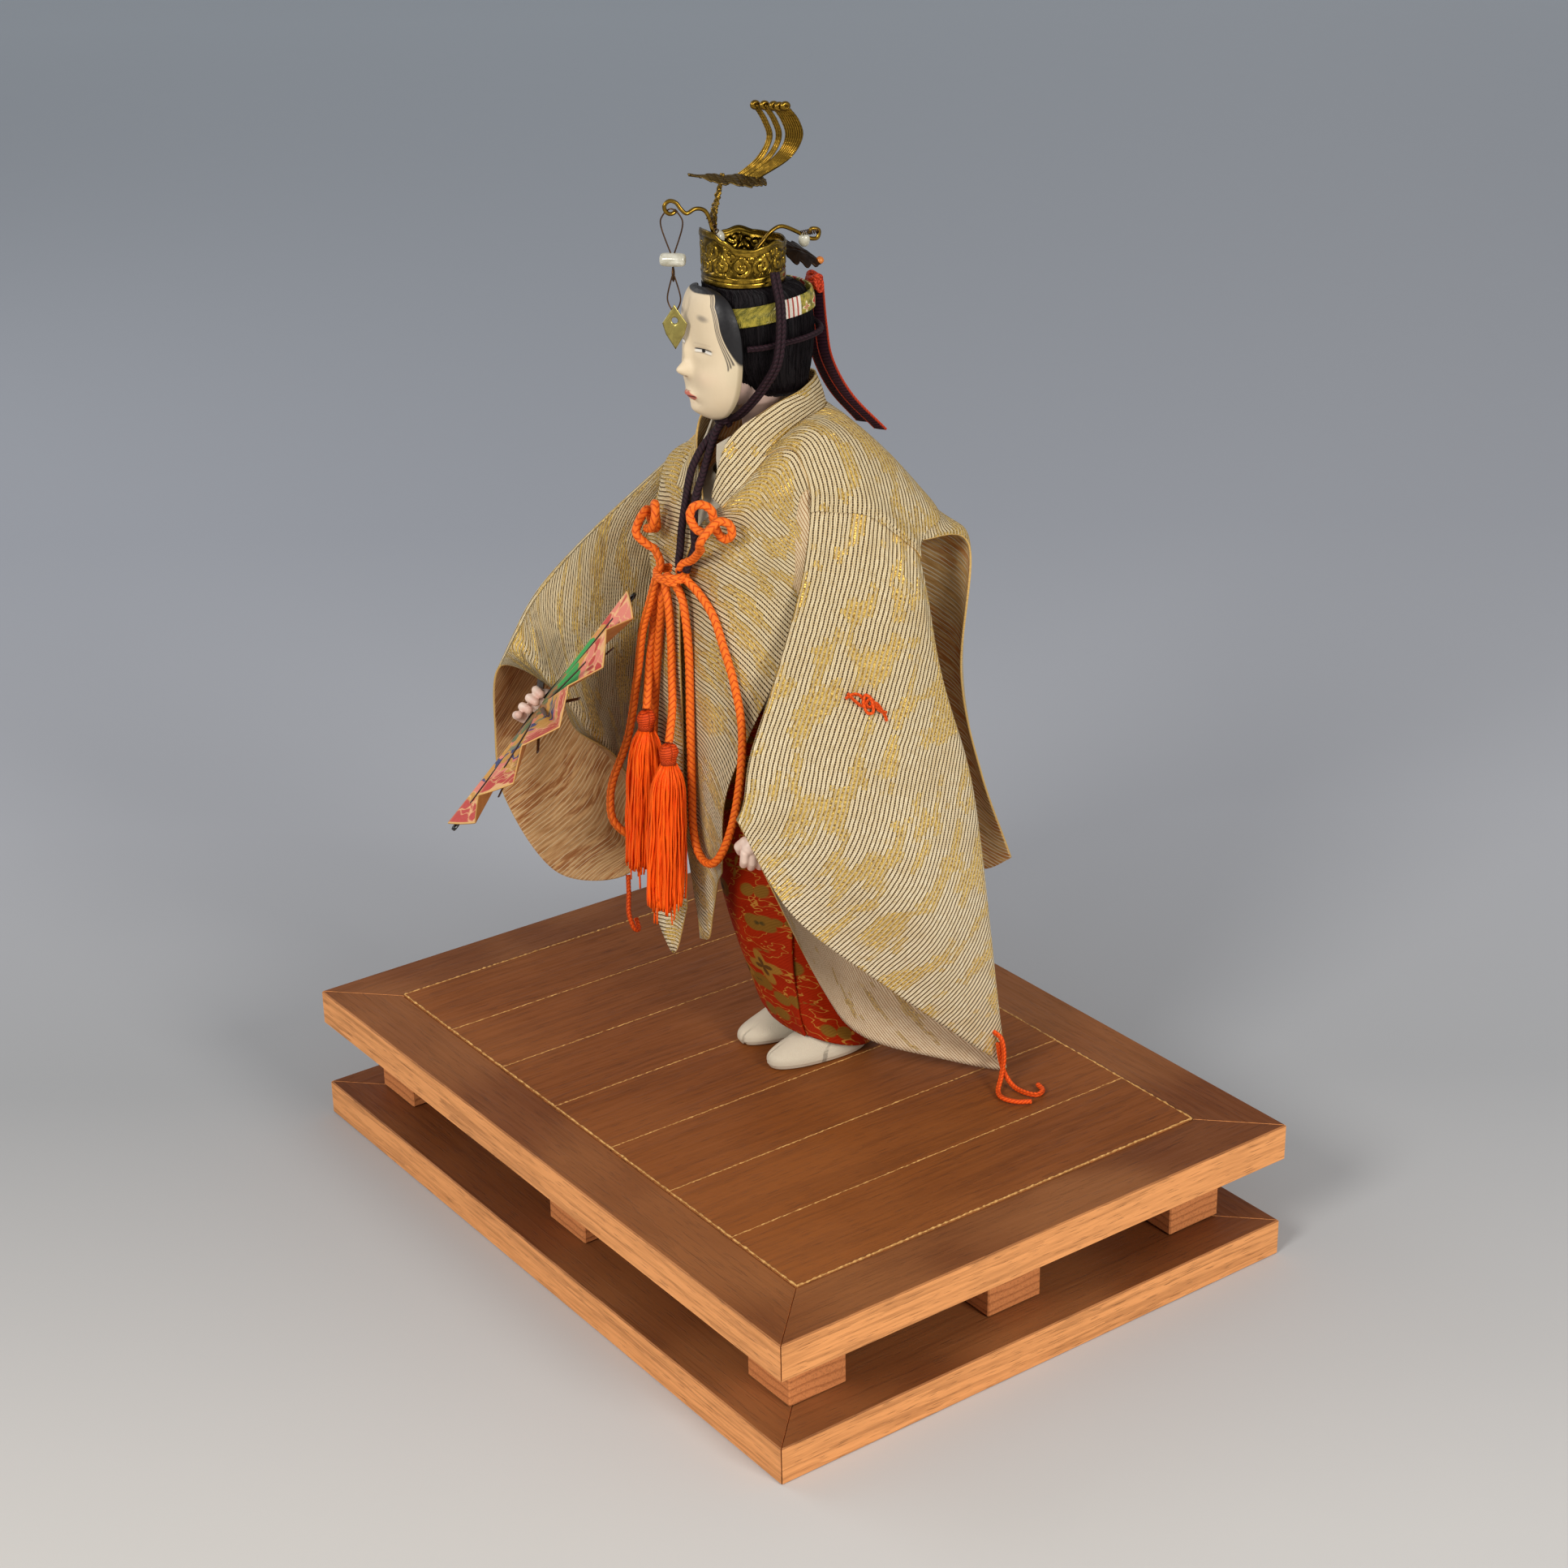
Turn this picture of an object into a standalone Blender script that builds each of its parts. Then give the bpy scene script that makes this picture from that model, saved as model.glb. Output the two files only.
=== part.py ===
"""A dancing doll in a mask and a broad-sleeved robe, standing on a raised wooden stage.

Metres, +Z up. The origin is at the middle of the stage's underside and the doll faces -Y.
Everything soft on the figure is laid out in shares of one length, the doll's arm.
"""

import math

import bmesh
import bpy
from mathutils import Matrix, Vector

# Stage
STAGE_WIDTH = 0.260
STAGE_DEPTH = 0.190
DECK_THICKNESS = 0.012
LOWER_INSET = 0.00075
LOWER_THICKNESS = 0.012
RAIL_WIDTH = 0.020
LOWER_RAIL_WIDTH = 0.032
SPACER_SIDE = 0.020
SPACER_SPACE = 0.022
SPACER_INSET_X = 0.0145
SPACER_INSET_Y = 0.013
EDGE_BEVEL = 0.0004
FLOOR_BOARD_COUNT = 7
FLOOR_BOARD_THICKNESS = 0.0055
FLOOR_PROUD = 0.0005
REBATE_WIDTH = 0.006
JOINT_GAP = 0.0003

# Figure
FIGURE_X = -0.005
FIGURE_Y = 0.012
FIGURE_YAW = math.radians(-7.8)
ARM = 0.100
CLOTH = 0.0006
SKIRT_CLOTH = 0.0008
SKIRT_LAP = 0.0014
NECK_PEG_RADIUS = 0.0026
NECK_BORE_RADIUS = 0.0030
LIMB_WIRE_RADIUS = 0.0012
WIRE_BORE_RADIUS = 0.0016
BREAST_CORD_RADIUS = 0.0013
CHIN_CORD_RADIUS = 0.0014
CHEST_CORD_RADIUS = 0.0012
MASK_CORD_RADIUS = 0.0009
SLEEVE_CORD_RADIUS = 0.0008

# Head and crown
MASK_WALL = 0.0013
CROWN_RADIUS_SHARE = 0.112
CROWN_WALL = 0.0005
CROWN_HEIGHT_SHARE = 0.155
CROWN_WIRE_RADIUS = 0.0006
FINE_WIRE_RADIUS = 0.00028
BEAD_RADIUS = 0.0029
PLATE_THICKNESS = 0.0005
PLATE_WIDTH = 0.0062
PLATE_HEIGHT = 0.0130
RIBBON_WIDTH = 0.0050
RIBBON_THICKNESS = 0.0006

# Fan
FAN_RADIUS = 0.048
FAN_OPEN = math.radians(132)
FAN_PLEATS = 14
FAN_PLEAT_DEPTH = 0.0016
FAN_PAPER = 0.0004
GUARD_WIDTH = 0.0018

STAGE_TOP = LOWER_THICKNESS + SPACER_SPACE + DECK_THICKNESS
OVERRUN = 0.002
WELD = 0.000002
EVEN_FINENESS = 40
SKIRT_COLUMNS = 16
LEG_WIRE_POINTS = 36
ARM_WIRE_POINTS = 38
BORE_COLUMNS = 20
CORE_LEVELS = 12
CORE_COLUMNS = 16
FOOT_LEVELS = 8
FOOT_COLUMNS = 20
FOOT_SQUARE = 2.3
SKIRT_LEVELS = 8
ROBE_LEVELS = 23
ROBE_COLUMNS = 9
COLLAR_LEVELS = 25
COLLAR_COLUMNS = 4
INNER_COLLAR_LEVELS = 19
INNER_COLLAR_COLUMNS = 3
SLEEVE_LEVELS = 11
SLEEVE_COLUMNS = 20
HEAD_COLUMNS = 20
HAIR_COLUMNS = 26
BAND_COLUMNS = 32
TAIL_LEVELS = 12
MASK_CORD_POINTS = 30
CHIN_CORD_POINTS = 28
CROWN_WIRE_POINTS = 46
LEAF_LEVELS = 9
LEAF_COLUMNS = 7
POST_LEVELS = 9
POST_COLUMNS = 10
LOOP_POINTS = 14
BEAD_COLUMNS = 12
BEAD_LEVELS = 8
TASSEL_COLUMNS = 14
CHEST_CORD_POINTS = 24
SLEEVE_CORD_LEFT_POINTS = 22
SLEEVE_CORD_RIGHT_POINTS = 14
SKIRT_FINE_COLUMNS = 23
SKIRT_START = -0.75
SKIRT_OVERLAP = 0.55
SKIRT_HEM_TILT = 0.33
FOOT_LIFT_SHARE = 0.008
NECK_AXIS_SHARE = (0.0, -0.100, 2.020)
NECK_PEG_SHARE = (0.0, -0.100, 1.905)
BEAD_PIVOT_SHARE = (0.0, -0.368, 2.7118)
MASK_COLUMNS = 13
MASK_LEVELS = 17
MASK_FULLNESS = 0.9
FAN_ROWS = 4
GUARD_EASE = 0.0003
HAND_STEP_COUNT = 4
HAND_BALL_COUNT = 2
HAND_EASE = 0.5
HAND_EASE_COUNT = 2
HAND_VOXEL = 0.00045
HAND_KEEP = 0.07
LEFT_WRIST_SHARE = (0.380, -0.340, 0.975)

WOOD = (0.42, 0.235, 0.13)
WOOD_TOP = (0.30, 0.15, 0.08)
WHITE = (0.83, 0.80, 0.72)
SKIN = (0.80, 0.66, 0.58)
GAUZE = (0.68, 0.55, 0.33)
RED_SILK = (0.50, 0.06, 0.02)
ORANGE = (0.88, 0.17, 0.01)
PURPLE = (0.035, 0.012, 0.022)
GOLD = (0.62, 0.42, 0.10)
HAIR = (0.012, 0.013, 0.017)
PAPER = (0.55, 0.40, 0.22)
STRAW = (0.55, 0.42, 0.22)
STEEL = (0.30, 0.29, 0.28)
BROCADE = (0.45, 0.30, 0.08)
DARK_BRONZE = (0.10, 0.06, 0.03)
MILKY_STONE = (0.62, 0.60, 0.50)
BLACK_LACQUER = (0.02, 0.015, 0.015)


def clear_scene():
    for item in list(bpy.data.objects):
        bpy.data.objects.remove(item, do_unlink=True)


def new_collection(name):
    group = bpy.data.collections.new(name)
    bpy.context.scene.collection.children.link(group)
    return group


clear_scene()
PARTS = new_collection("hina_doll")
CUTTERS = new_collection("cutters")


def empty(name, location, yaw=0.0, parent=None):
    pivot = bpy.data.objects.new(name, None)
    pivot.location = location
    pivot.rotation_euler = (0.0, 0.0, yaw)
    pivot.parent = parent
    PARTS.objects.link(pivot)
    return pivot


FIGURE = empty("figure", (FIGURE_X, FIGURE_Y, STAGE_TOP), FIGURE_YAW)
NECK = Vector(NECK_AXIS_SHARE) * ARM
NECK_PEG_END = Vector(NECK_PEG_SHARE) * ARM
NECK_TURN = empty("neck_turn", NECK, 0.0, FIGURE)
ORIGINS = {FIGURE.name: Vector(), NECK_TURN.name: NECK}


def material(name, colour, roughness=0.6, metallic=0.0):
    finish = bpy.data.materials.get(name)
    if finish is None:
        finish = bpy.data.materials.new(name)
        finish.use_nodes = True
        shader = finish.node_tree.nodes["Principled BSDF"]
        shader.inputs["Base Color"].default_value = (*colour, 1.0)
        shader.inputs["Roughness"].default_value = roughness
        shader.inputs["Metallic"].default_value = metallic
    return finish


def settle(item, data, parent, pivot):
    """Give a piece its origin: its own joint point, or else its parent's."""
    base = ORIGINS[parent.name] if parent else Vector()
    origin = base if pivot is None else pivot
    data.transform(Matrix.Translation(-origin))
    item.parent = parent
    item.location = origin - base
    ORIGINS[item.name] = origin


def add(name, data, finish, parent=None, pivot=None):
    """Put a piece into the model; pivot is the joint point that becomes its origin."""
    item = bpy.data.objects.new(name, data)
    data.materials.append(finish)
    PARTS.objects.link(item)
    settle(item, data, parent, pivot)
    return item


def cutter(name, data, parent=None):
    item = bpy.data.objects.new(name, data)
    CUTTERS.objects.link(item)
    settle(item, data, parent, None)
    item.hide_render = True
    item.display_type = "WIRE"
    return item


def cut(target, tool, operation="DIFFERENCE"):
    step = target.modifiers.new(tool.name, "BOOLEAN")
    step.operation = operation
    step.object = tool
    step.solver = "EXACT"
    return step


def at(share, size=ARM):
    """The place that a share of a size stands for."""
    return Vector(share) * size


def mesh_of(name, points, faces, smooth=True):
    data = bpy.data.meshes.new(name)
    data.from_pydata([tuple(p) for p in points], [], faces)
    data.update()
    if smooth:
        data.shade_smooth()
    return data


def between(a, b, c, d, t):
    """One point of a smooth curve that runs through b and c."""
    t2 = t * t
    t3 = t2 * t
    curve = 2 * b + (c - a) * t + (2 * a - 5 * b + 4 * c - d) * t2
    curve += (3 * b - a - 3 * c + d) * t3
    return 0.5 * curve


def curve_through(points, count, closed=False):
    """Points spaced evenly in parameter along the smooth curve through the given ones."""
    total = len(points)
    spans = total if closed else total - 1
    steps = count if closed else count - 1
    out = []
    for i in range(count):
        place = spans * i / steps
        k = min(int(place), spans - 1)
        t = place - k
        if closed:
            a, b, c, d = (points[(k + j) % total] for j in (-1, 0, 1, 2))
        else:
            b = points[k]
            c = points[k + 1]
            a = points[k - 1] if k > 0 else b + (b - c)
            d = points[k + 2] if k + 2 < total else c + (c - b)
        out.append(between(a, b, c, d, t))
    return out


def even(points, count):
    """The same curve, with its points the same distance apart."""
    fine = curve_through(points, EVEN_FINENESS * len(points))
    run = [0.0]
    for a, b in zip(fine, fine[1:]):
        run.append(run[-1] + (b - a).length)
    out = []
    k = 0
    for i in range(count):
        want = run[-1] * i / (count - 1)
        while k < len(run) - 2 and run[k + 1] < want:
            k += 1
        t = (want - run[k]) / (run[k + 1] - run[k])
        out.append(fine[k].lerp(fine[k + 1], t))
    return out


def surface(rows, down, across, closed=False):
    """A sheet through a table of places: its points, and faces that look outwards."""
    fine_rows = [curve_through(row, across, closed) for row in rows]
    columns = [curve_through([row[i] for row in fine_rows], down) for i in range(across)]
    points = [columns[i][j] for j in range(down) for i in range(across)]
    width = across if closed else across - 1
    faces = []
    for j in range(down - 1):
        for i in range(width):
            k = (i + 1) % across
            faces.append((j * across + i, j * across + k, (j + 1) * across + k, (j + 1) * across + i))
    return points, faces


def cloth(name, rows, down, across, finish, thickness=CLOTH, closed=False, parent=FIGURE, flip=False):
    """Hanging cloth: a sheet through its main folds, given its thickness."""
    points, faces = surface(rows, down, across, closed)
    if flip:
        faces = [tuple(reversed(face)) for face in faces]
    item = add(name, mesh_of(name, points, faces), finish, parent)
    wall = item.modifiers.new("thickness", "SOLIDIFY")
    wall.thickness = thickness
    wall.offset = 0.0
    wall.use_even_offset = True
    return item


def ring(centre, half_width, half_depth, square=2.0, count=24):
    """A closed section, from an ellipse (square 2) towards a rounded box."""
    out = []
    for i in range(count):
        turn = 2 * math.pi * i / count
        c = math.cos(turn)
        s = math.sin(turn)
        x = math.copysign(abs(c) ** (2 / square), c) * half_width
        y = math.copysign(abs(s) ** (2 / square), s) * half_depth
        out.append(centre + Vector((x, y, 0.0)))
    return out


def stacked(name, sections, down, count, finish, parent=FIGURE, pivot=None, square=2.0):
    """A rounded solid through level sections of (centre x, centre y, height, half width, half depth)."""
    data = stack_mesh(name, sections, down, count, square)
    return add(name, data, finish, parent, pivot)


def stack_mesh(name, sections, down, count, square=2.0):
    rows = []
    for x, y, z, half_width, half_depth in sections:
        rows.append(ring(Vector((x, y, z)), half_width, half_depth, square, count))
    points, faces = surface(rows, down, count, closed=True)
    last = (down - 1) * count
    faces.append(tuple(reversed(range(count))))
    faces.append(tuple(last + i for i in range(count)))
    return mesh_of(name, points, faces)


def tube(name, points, radius, finish, parent=FIGURE, resolution=2, pivot=None):
    """A cord or wire: a curve of straight steps with a round section and filled ends."""
    data = tube_curve(name, points, radius, resolution)
    return add(name, data, finish, parent, pivot)


def tube_curve(name, points, radius, resolution=2):
    data = bpy.data.curves.new(name, "CURVE")
    data.dimensions = "3D"
    data.bevel_depth = radius
    data.bevel_resolution = resolution
    data.use_fill_caps = True
    spline = data.splines.new("POLY")
    spline.points.add(len(points) - 1)
    for place, point in zip(spline.points, points):
        place.co = (*point, 1.0)
    return data


def curve_mesh(name, data):
    """The solid of a curve as a mesh, with its caps welded on."""
    item = bpy.data.objects.new(name, data)
    CUTTERS.objects.link(item)
    graph = bpy.context.evaluated_depsgraph_get()
    solid = bpy.data.meshes.new_from_object(item.evaluated_get(graph))
    bpy.data.objects.remove(item, do_unlink=True)
    work = bmesh.new()
    work.from_mesh(solid)
    bmesh.ops.remove_doubles(work, verts=work.verts, dist=WELD)
    work.to_mesh(solid)
    work.free()
    return solid


def box_mesh(name, low, high):
    data = bpy.data.meshes.new(name)
    work = bmesh.new()
    bmesh.ops.create_cube(work, size=1.0)
    size = high - low
    bmesh.ops.scale(work, vec=size, verts=work.verts)
    bmesh.ops.translate(work, vec=(low + high) / 2, verts=work.verts)
    work.to_mesh(data)
    work.free()
    return data


def cylinder_mesh(name, base, top, radius, segments=BORE_COLUMNS):
    data = bpy.data.meshes.new(name)
    work = bmesh.new()
    run = top - base
    bmesh.ops.create_cone(work, cap_ends=True, segments=segments, radius1=radius, radius2=radius,
                          depth=run.length)
    turn = run.to_track_quat("Z", "Y").to_matrix().to_4x4()
    bmesh.ops.transform(work, matrix=Matrix.Translation((base + top) / 2) @ turn, verts=work.verts)
    work.to_mesh(data)
    work.free()
    return data


def bevelled(item, width=EDGE_BEVEL):
    step = item.modifiers.new("edges", "BEVEL")
    step.width = width
    step.segments = 1
    step.limit_method = "ANGLE"
    return item


# Stage

RAIL_TOP = DECK_THICKNESS
BOARD_UNDERSIDE = DECK_THICKNESS + FLOOR_PROUD - FLOOR_BOARD_THICKNESS
FIELD_WIDTH = STAGE_WIDTH - 2 * RAIL_WIDTH
FIELD_DEPTH = STAGE_DEPTH - 2 * RAIL_WIDTH


def runs_along(edge):
    run = edge.verts[1].co - edge.verts[0].co
    return abs(run.x) > abs(run.y) + abs(run.z)


def mitred_rail(name, length, profile, finish):
    """A rail along X with its outer edge on Y = 0; the profile is (distance inwards, height)."""
    data = bpy.data.meshes.new(name)
    work = bmesh.new()
    corners = [work.verts.new((0.0, inwards, height)) for inwards, height in profile]
    face = work.faces.new(corners)
    end = bmesh.ops.extrude_face_region(work, geom=[face])
    moved = [item for item in end["geom"] if isinstance(item, bmesh.types.BMVert)]
    bmesh.ops.translate(work, verts=moved, vec=(length, 0.0, 0.0))
    bmesh.ops.translate(work, verts=work.verts, vec=(-length / 2, 0.0, 0.0))
    for corner in work.verts:
        corner.co.x -= math.copysign(corner.co.y + JOINT_GAP * math.sqrt(0.5), corner.co.x)
    bmesh.ops.recalc_face_normals(work, faces=work.faces)
    corners = [edge for edge in work.edges if edge.is_convex and runs_along(edge)]
    bmesh.ops.bevel(work, geom=corners, offset=EDGE_BEVEL, segments=1, affect="EDGES")
    work.to_mesh(data)
    work.free()
    return add(name, data, finish)


def frame_of_rails(prefix, width, depth, base, profile, finish):
    """Four rails with mitred corners, named for their side."""
    sides = {
        "front": (width, (0.0, -depth / 2), 0.0),
        "right": (depth, (-width / 2, 0.0), -math.pi / 2),
        "back": (width, (0.0, depth / 2), math.pi),
        "left": (depth, (width / 2, 0.0), math.pi / 2),
    }
    for side, (length, place, turn) in sides.items():
        rail = mitred_rail(f"{prefix}_{side}", length, profile, finish)
        rail.location = (place[0], place[1], base)
        rail.rotation_euler = (0.0, 0.0, turn)


def build_frames():
    wide = LOWER_RAIL_WIDTH
    thick = LOWER_THICKNESS
    lower = [(0.0, 0.0), (wide, 0.0), (wide, thick), (0.0, thick)]
    frame_of_rails("lower_rail", STAGE_WIDTH - 2 * LOWER_INSET, STAGE_DEPTH, 0.0, lower, material("cedar", WOOD))
    ledge = BOARD_UNDERSIDE - JOINT_GAP
    reach = RAIL_WIDTH + REBATE_WIDTH
    deck = [(0.0, 0.0), (reach, 0.0), (reach, ledge)]
    deck += [(RAIL_WIDTH, ledge), (RAIL_WIDTH, RAIL_TOP), (0.0, RAIL_TOP)]
    base = LOWER_THICKNESS + SPACER_SPACE
    frame_of_rails("deck_rail", STAGE_WIDTH, STAGE_DEPTH, base, deck, material("cedar", WOOD))


def build_spacers():
    """Eight blocks that hold the deck above the lower frame: corners and mid-sides."""
    across = STAGE_WIDTH / 2 - SPACER_INSET_X - SPACER_SIDE / 2
    along = STAGE_DEPTH / 2 - SPACER_INSET_Y - SPACER_SIDE / 2
    half = SPACER_SIDE / 2
    places = [(i, j) for j in (-1, 0, 1) for i in (-1, 0, 1) if (i, j) != (0, 0)]
    for number, (i, j) in enumerate(places, start=1):
        middle = Vector((i * across, j * along, 0.0))
        low = middle + Vector((-half, -half, LOWER_THICKNESS + JOINT_GAP))
        high = middle + Vector((half, half, LOWER_THICKNESS + SPACER_SPACE - JOINT_GAP))
        name = f"spacer_block_{number}"
        bevelled(add(name, box_mesh(name, low, high), material("end_grain", WOOD)))


def build_floor():
    """Seven boards across the deck's rebate, a little proud of the rails."""
    pitch = FIELD_WIDTH / FLOOR_BOARD_COUNT
    base = LOWER_THICKNESS + SPACER_SPACE + BOARD_UNDERSIDE
    top = base + FLOOR_BOARD_THICKNESS
    depth = FIELD_DEPTH / 2 - JOINT_GAP
    boards = []
    for number in range(FLOOR_BOARD_COUNT):
        left = -FIELD_WIDTH / 2 + number * pitch
        low = Vector((left + JOINT_GAP / 2, -depth, base))
        high = Vector((left + pitch - JOINT_GAP / 2, depth, top))
        name = f"floor_board_{number + 1}"
        boards.append(add(name, box_mesh(name, low, high), material("cedar_top", WOOD_TOP)))
    return boards


# Figure: what is under the clothes

LEG_ROUTE_SHARES = [
    (0.135, 0.060, -0.042), (0.135, 0.060, 0.060), (0.132, 0.055, 0.200), (0.105, -0.010, 0.520),
    (0.075, -0.070, 0.900), (0.055, -0.088, 1.120), (0.030, -0.092, 1.170), (0.0, -0.093, 1.180),
    (-0.030, -0.092, 1.170), (-0.050, -0.088, 1.120), (-0.058, -0.070, 0.900), (-0.060, -0.010, 0.520),
    (-0.052, 0.050, 0.200), (-0.050, 0.055, 0.060), (-0.050, 0.055, -0.042),
]
ARM_ROUTE_SHARES = [
    (0.378, -0.338, 0.965), (0.384, -0.325, 1.080), (0.386, -0.245, 1.250), (0.374, -0.150, 1.440),
    (0.374, -0.050, 1.590), (0.368, 0.020, 1.710), (0.305, 0.035, 1.800), (0.210, -0.015, 1.815),
    (0.110, -0.050, 1.790), (0.0, -0.050, 1.740), (-0.110, -0.070, 1.800), (-0.220, -0.160, 1.830),
    (-0.360, -0.400, 1.680), (-0.455, -0.560, 1.480), (-0.448, -0.630, 1.300), (-0.434, -0.662, 1.175),
]
WAIST_SHARE = (0.0, -0.090, 1.215, 0.142, 0.122)
CORE_SHARES = [
    (0.0, -0.085, 1.010, 0.100, 0.080), (0.0, -0.090, 1.110, 0.120, 0.100),
    WAIST_SHARE,
    (0.0, -0.110, 1.330, 0.165, 0.150), (0.0, -0.140, 1.550, 0.195, 0.190),
    (0.0, -0.140, 1.780, 0.205, 0.180),
    (0.0, -0.115, 1.920, 0.150, 0.115), (0.0, -0.100, 2.015, 0.075, 0.070),
]
SKIRT_SHARES = [
    (0.044, 0.045, 0.070, 0.186, 0.148), (0.037, 0.020, 0.200, 0.182, 0.158),
    (0.020, -0.020, 0.400, 0.192, 0.175),
    (0.010, -0.060, 0.620, 0.202, 0.186), (0.0, -0.085, 0.900, 0.190, 0.175),
    (0.0, -0.090, 1.100, 0.165, 0.148),
]
FOOT_SHARES = [
    (0.0, -0.005, 0.003, 0.058, 0.168), (0.0, -0.005, 0.020, 0.067, 0.177), (0.0, 0.0, 0.045, 0.066, 0.170),
    (-0.002, 0.032, 0.078, 0.056, 0.133), (-0.004, 0.066, 0.115, 0.044, 0.088),
    (-0.005, 0.074, 0.175, 0.038, 0.066),
]
FOOT_PLACE_SHARES = {"left": (0.137, -0.012, 0.0), "right": (-0.050, -0.018, 0.0)}


def longer(route):
    """The same route, with both ends run on by the gap."""
    first = route[0] + (route[0] - route[1]).normalized() * JOINT_GAP
    last = route[-1] + (route[-1] - route[-2]).normalized() * JOINT_GAP
    return [first, *route[1:-1], last]


def build_limb_wires():
    """One bent wire for both legs, pegged into the floor, and one for both arms."""
    finish = material("wire", STEEL, 0.35, 1.0)
    legs = even([at(p) for p in LEG_ROUTE_SHARES], LEG_WIRE_POINTS)
    arms = even([at(p) for p in ARM_ROUTE_SHARES], ARM_WIRE_POINTS)
    tube("leg_wire", legs, LIMB_WIRE_RADIUS, finish, resolution=1)
    tube("arm_wire", arms, LIMB_WIRE_RADIUS, finish, resolution=1)
    bores = []
    for name, route in (("leg_bore", legs), ("arm_bore", arms)):
        shape = curve_mesh(name, tube_curve(name, longer(route), WIRE_BORE_RADIUS, 1))
        bores.append(cutter(name, shape, FIGURE))
    return bores


def build_core(leg_bore, arm_bore):
    """The padded body: the limb wires run through it and the neck peg turns in its bore."""
    sections = [tuple(ARM * value for value in row) for row in CORE_SHARES]
    core = stacked("torso_core", sections, CORE_LEVELS, CORE_COLUMNS, material("straw", STRAW, 0.9))
    cut(core, leg_bore)
    cut(core, arm_bore)
    top = NECK + Vector((0.0, 0.0, OVERRUN))
    end = NECK_PEG_END - Vector((0.0, 0.0, JOINT_GAP))
    bore = cylinder_mesh("neck_bore", end, top, NECK_BORE_RADIUS)
    cut(core, cutter("neck_bore", bore, FIGURE))


def build_skirt():
    """The red silk wrap: a sheet once round the legs, its outer end lapped over the inner one."""
    rows = []
    clear = (SKIRT_CLOTH / 2 + SKIRT_LAP + JOINT_GAP) / ARM
    x, y, z, half_width, half_depth = WAIST_SHARE
    top = (x, y, z, half_width + clear, half_depth + clear)
    for x, y, z, half_width, half_depth in [*SKIRT_SHARES, top]:
        row = []
        for i in range(SKIRT_COLUMNS):
            part = i / (SKIRT_COLUMNS - 1)
            turn = SKIRT_START + part * (2 * math.pi + SKIRT_OVERLAP)
            lap = SKIRT_LAP * part / ARM
            across = x + math.cos(turn) * (half_width + lap)
            along = y + math.sin(turn) * (half_depth + lap)
            fall = SKIRT_HEM_TILT * (along - y) if not rows else 0.0
            row.append(at((across, along, z - fall)))
        rows.append(row)
    silk = material("red_silk", RED_SILK, 0.5)
    cloth("skirt", rows, SKIRT_LEVELS, SKIRT_FINE_COLUMNS, silk, SKIRT_CLOTH)


def build_feet(leg_bore):
    for side, place in FOOT_PLACE_SHARES.items():
        sections = []
        for x, y, z, half_width, half_depth in FOOT_SHARES:
            row = (x + place[0], y + place[1], z + FOOT_LIFT_SHARE, half_width, half_depth)
            sections.append(tuple(ARM * value for value in row))
        finish = material("white_cloth", WHITE)
        foot = stacked(f"foot_{side}", sections, FOOT_LEVELS, FOOT_COLUMNS, finish, square=FOOT_SQUARE)
        cut(foot, leg_bore)


# Figure: the robe

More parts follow.
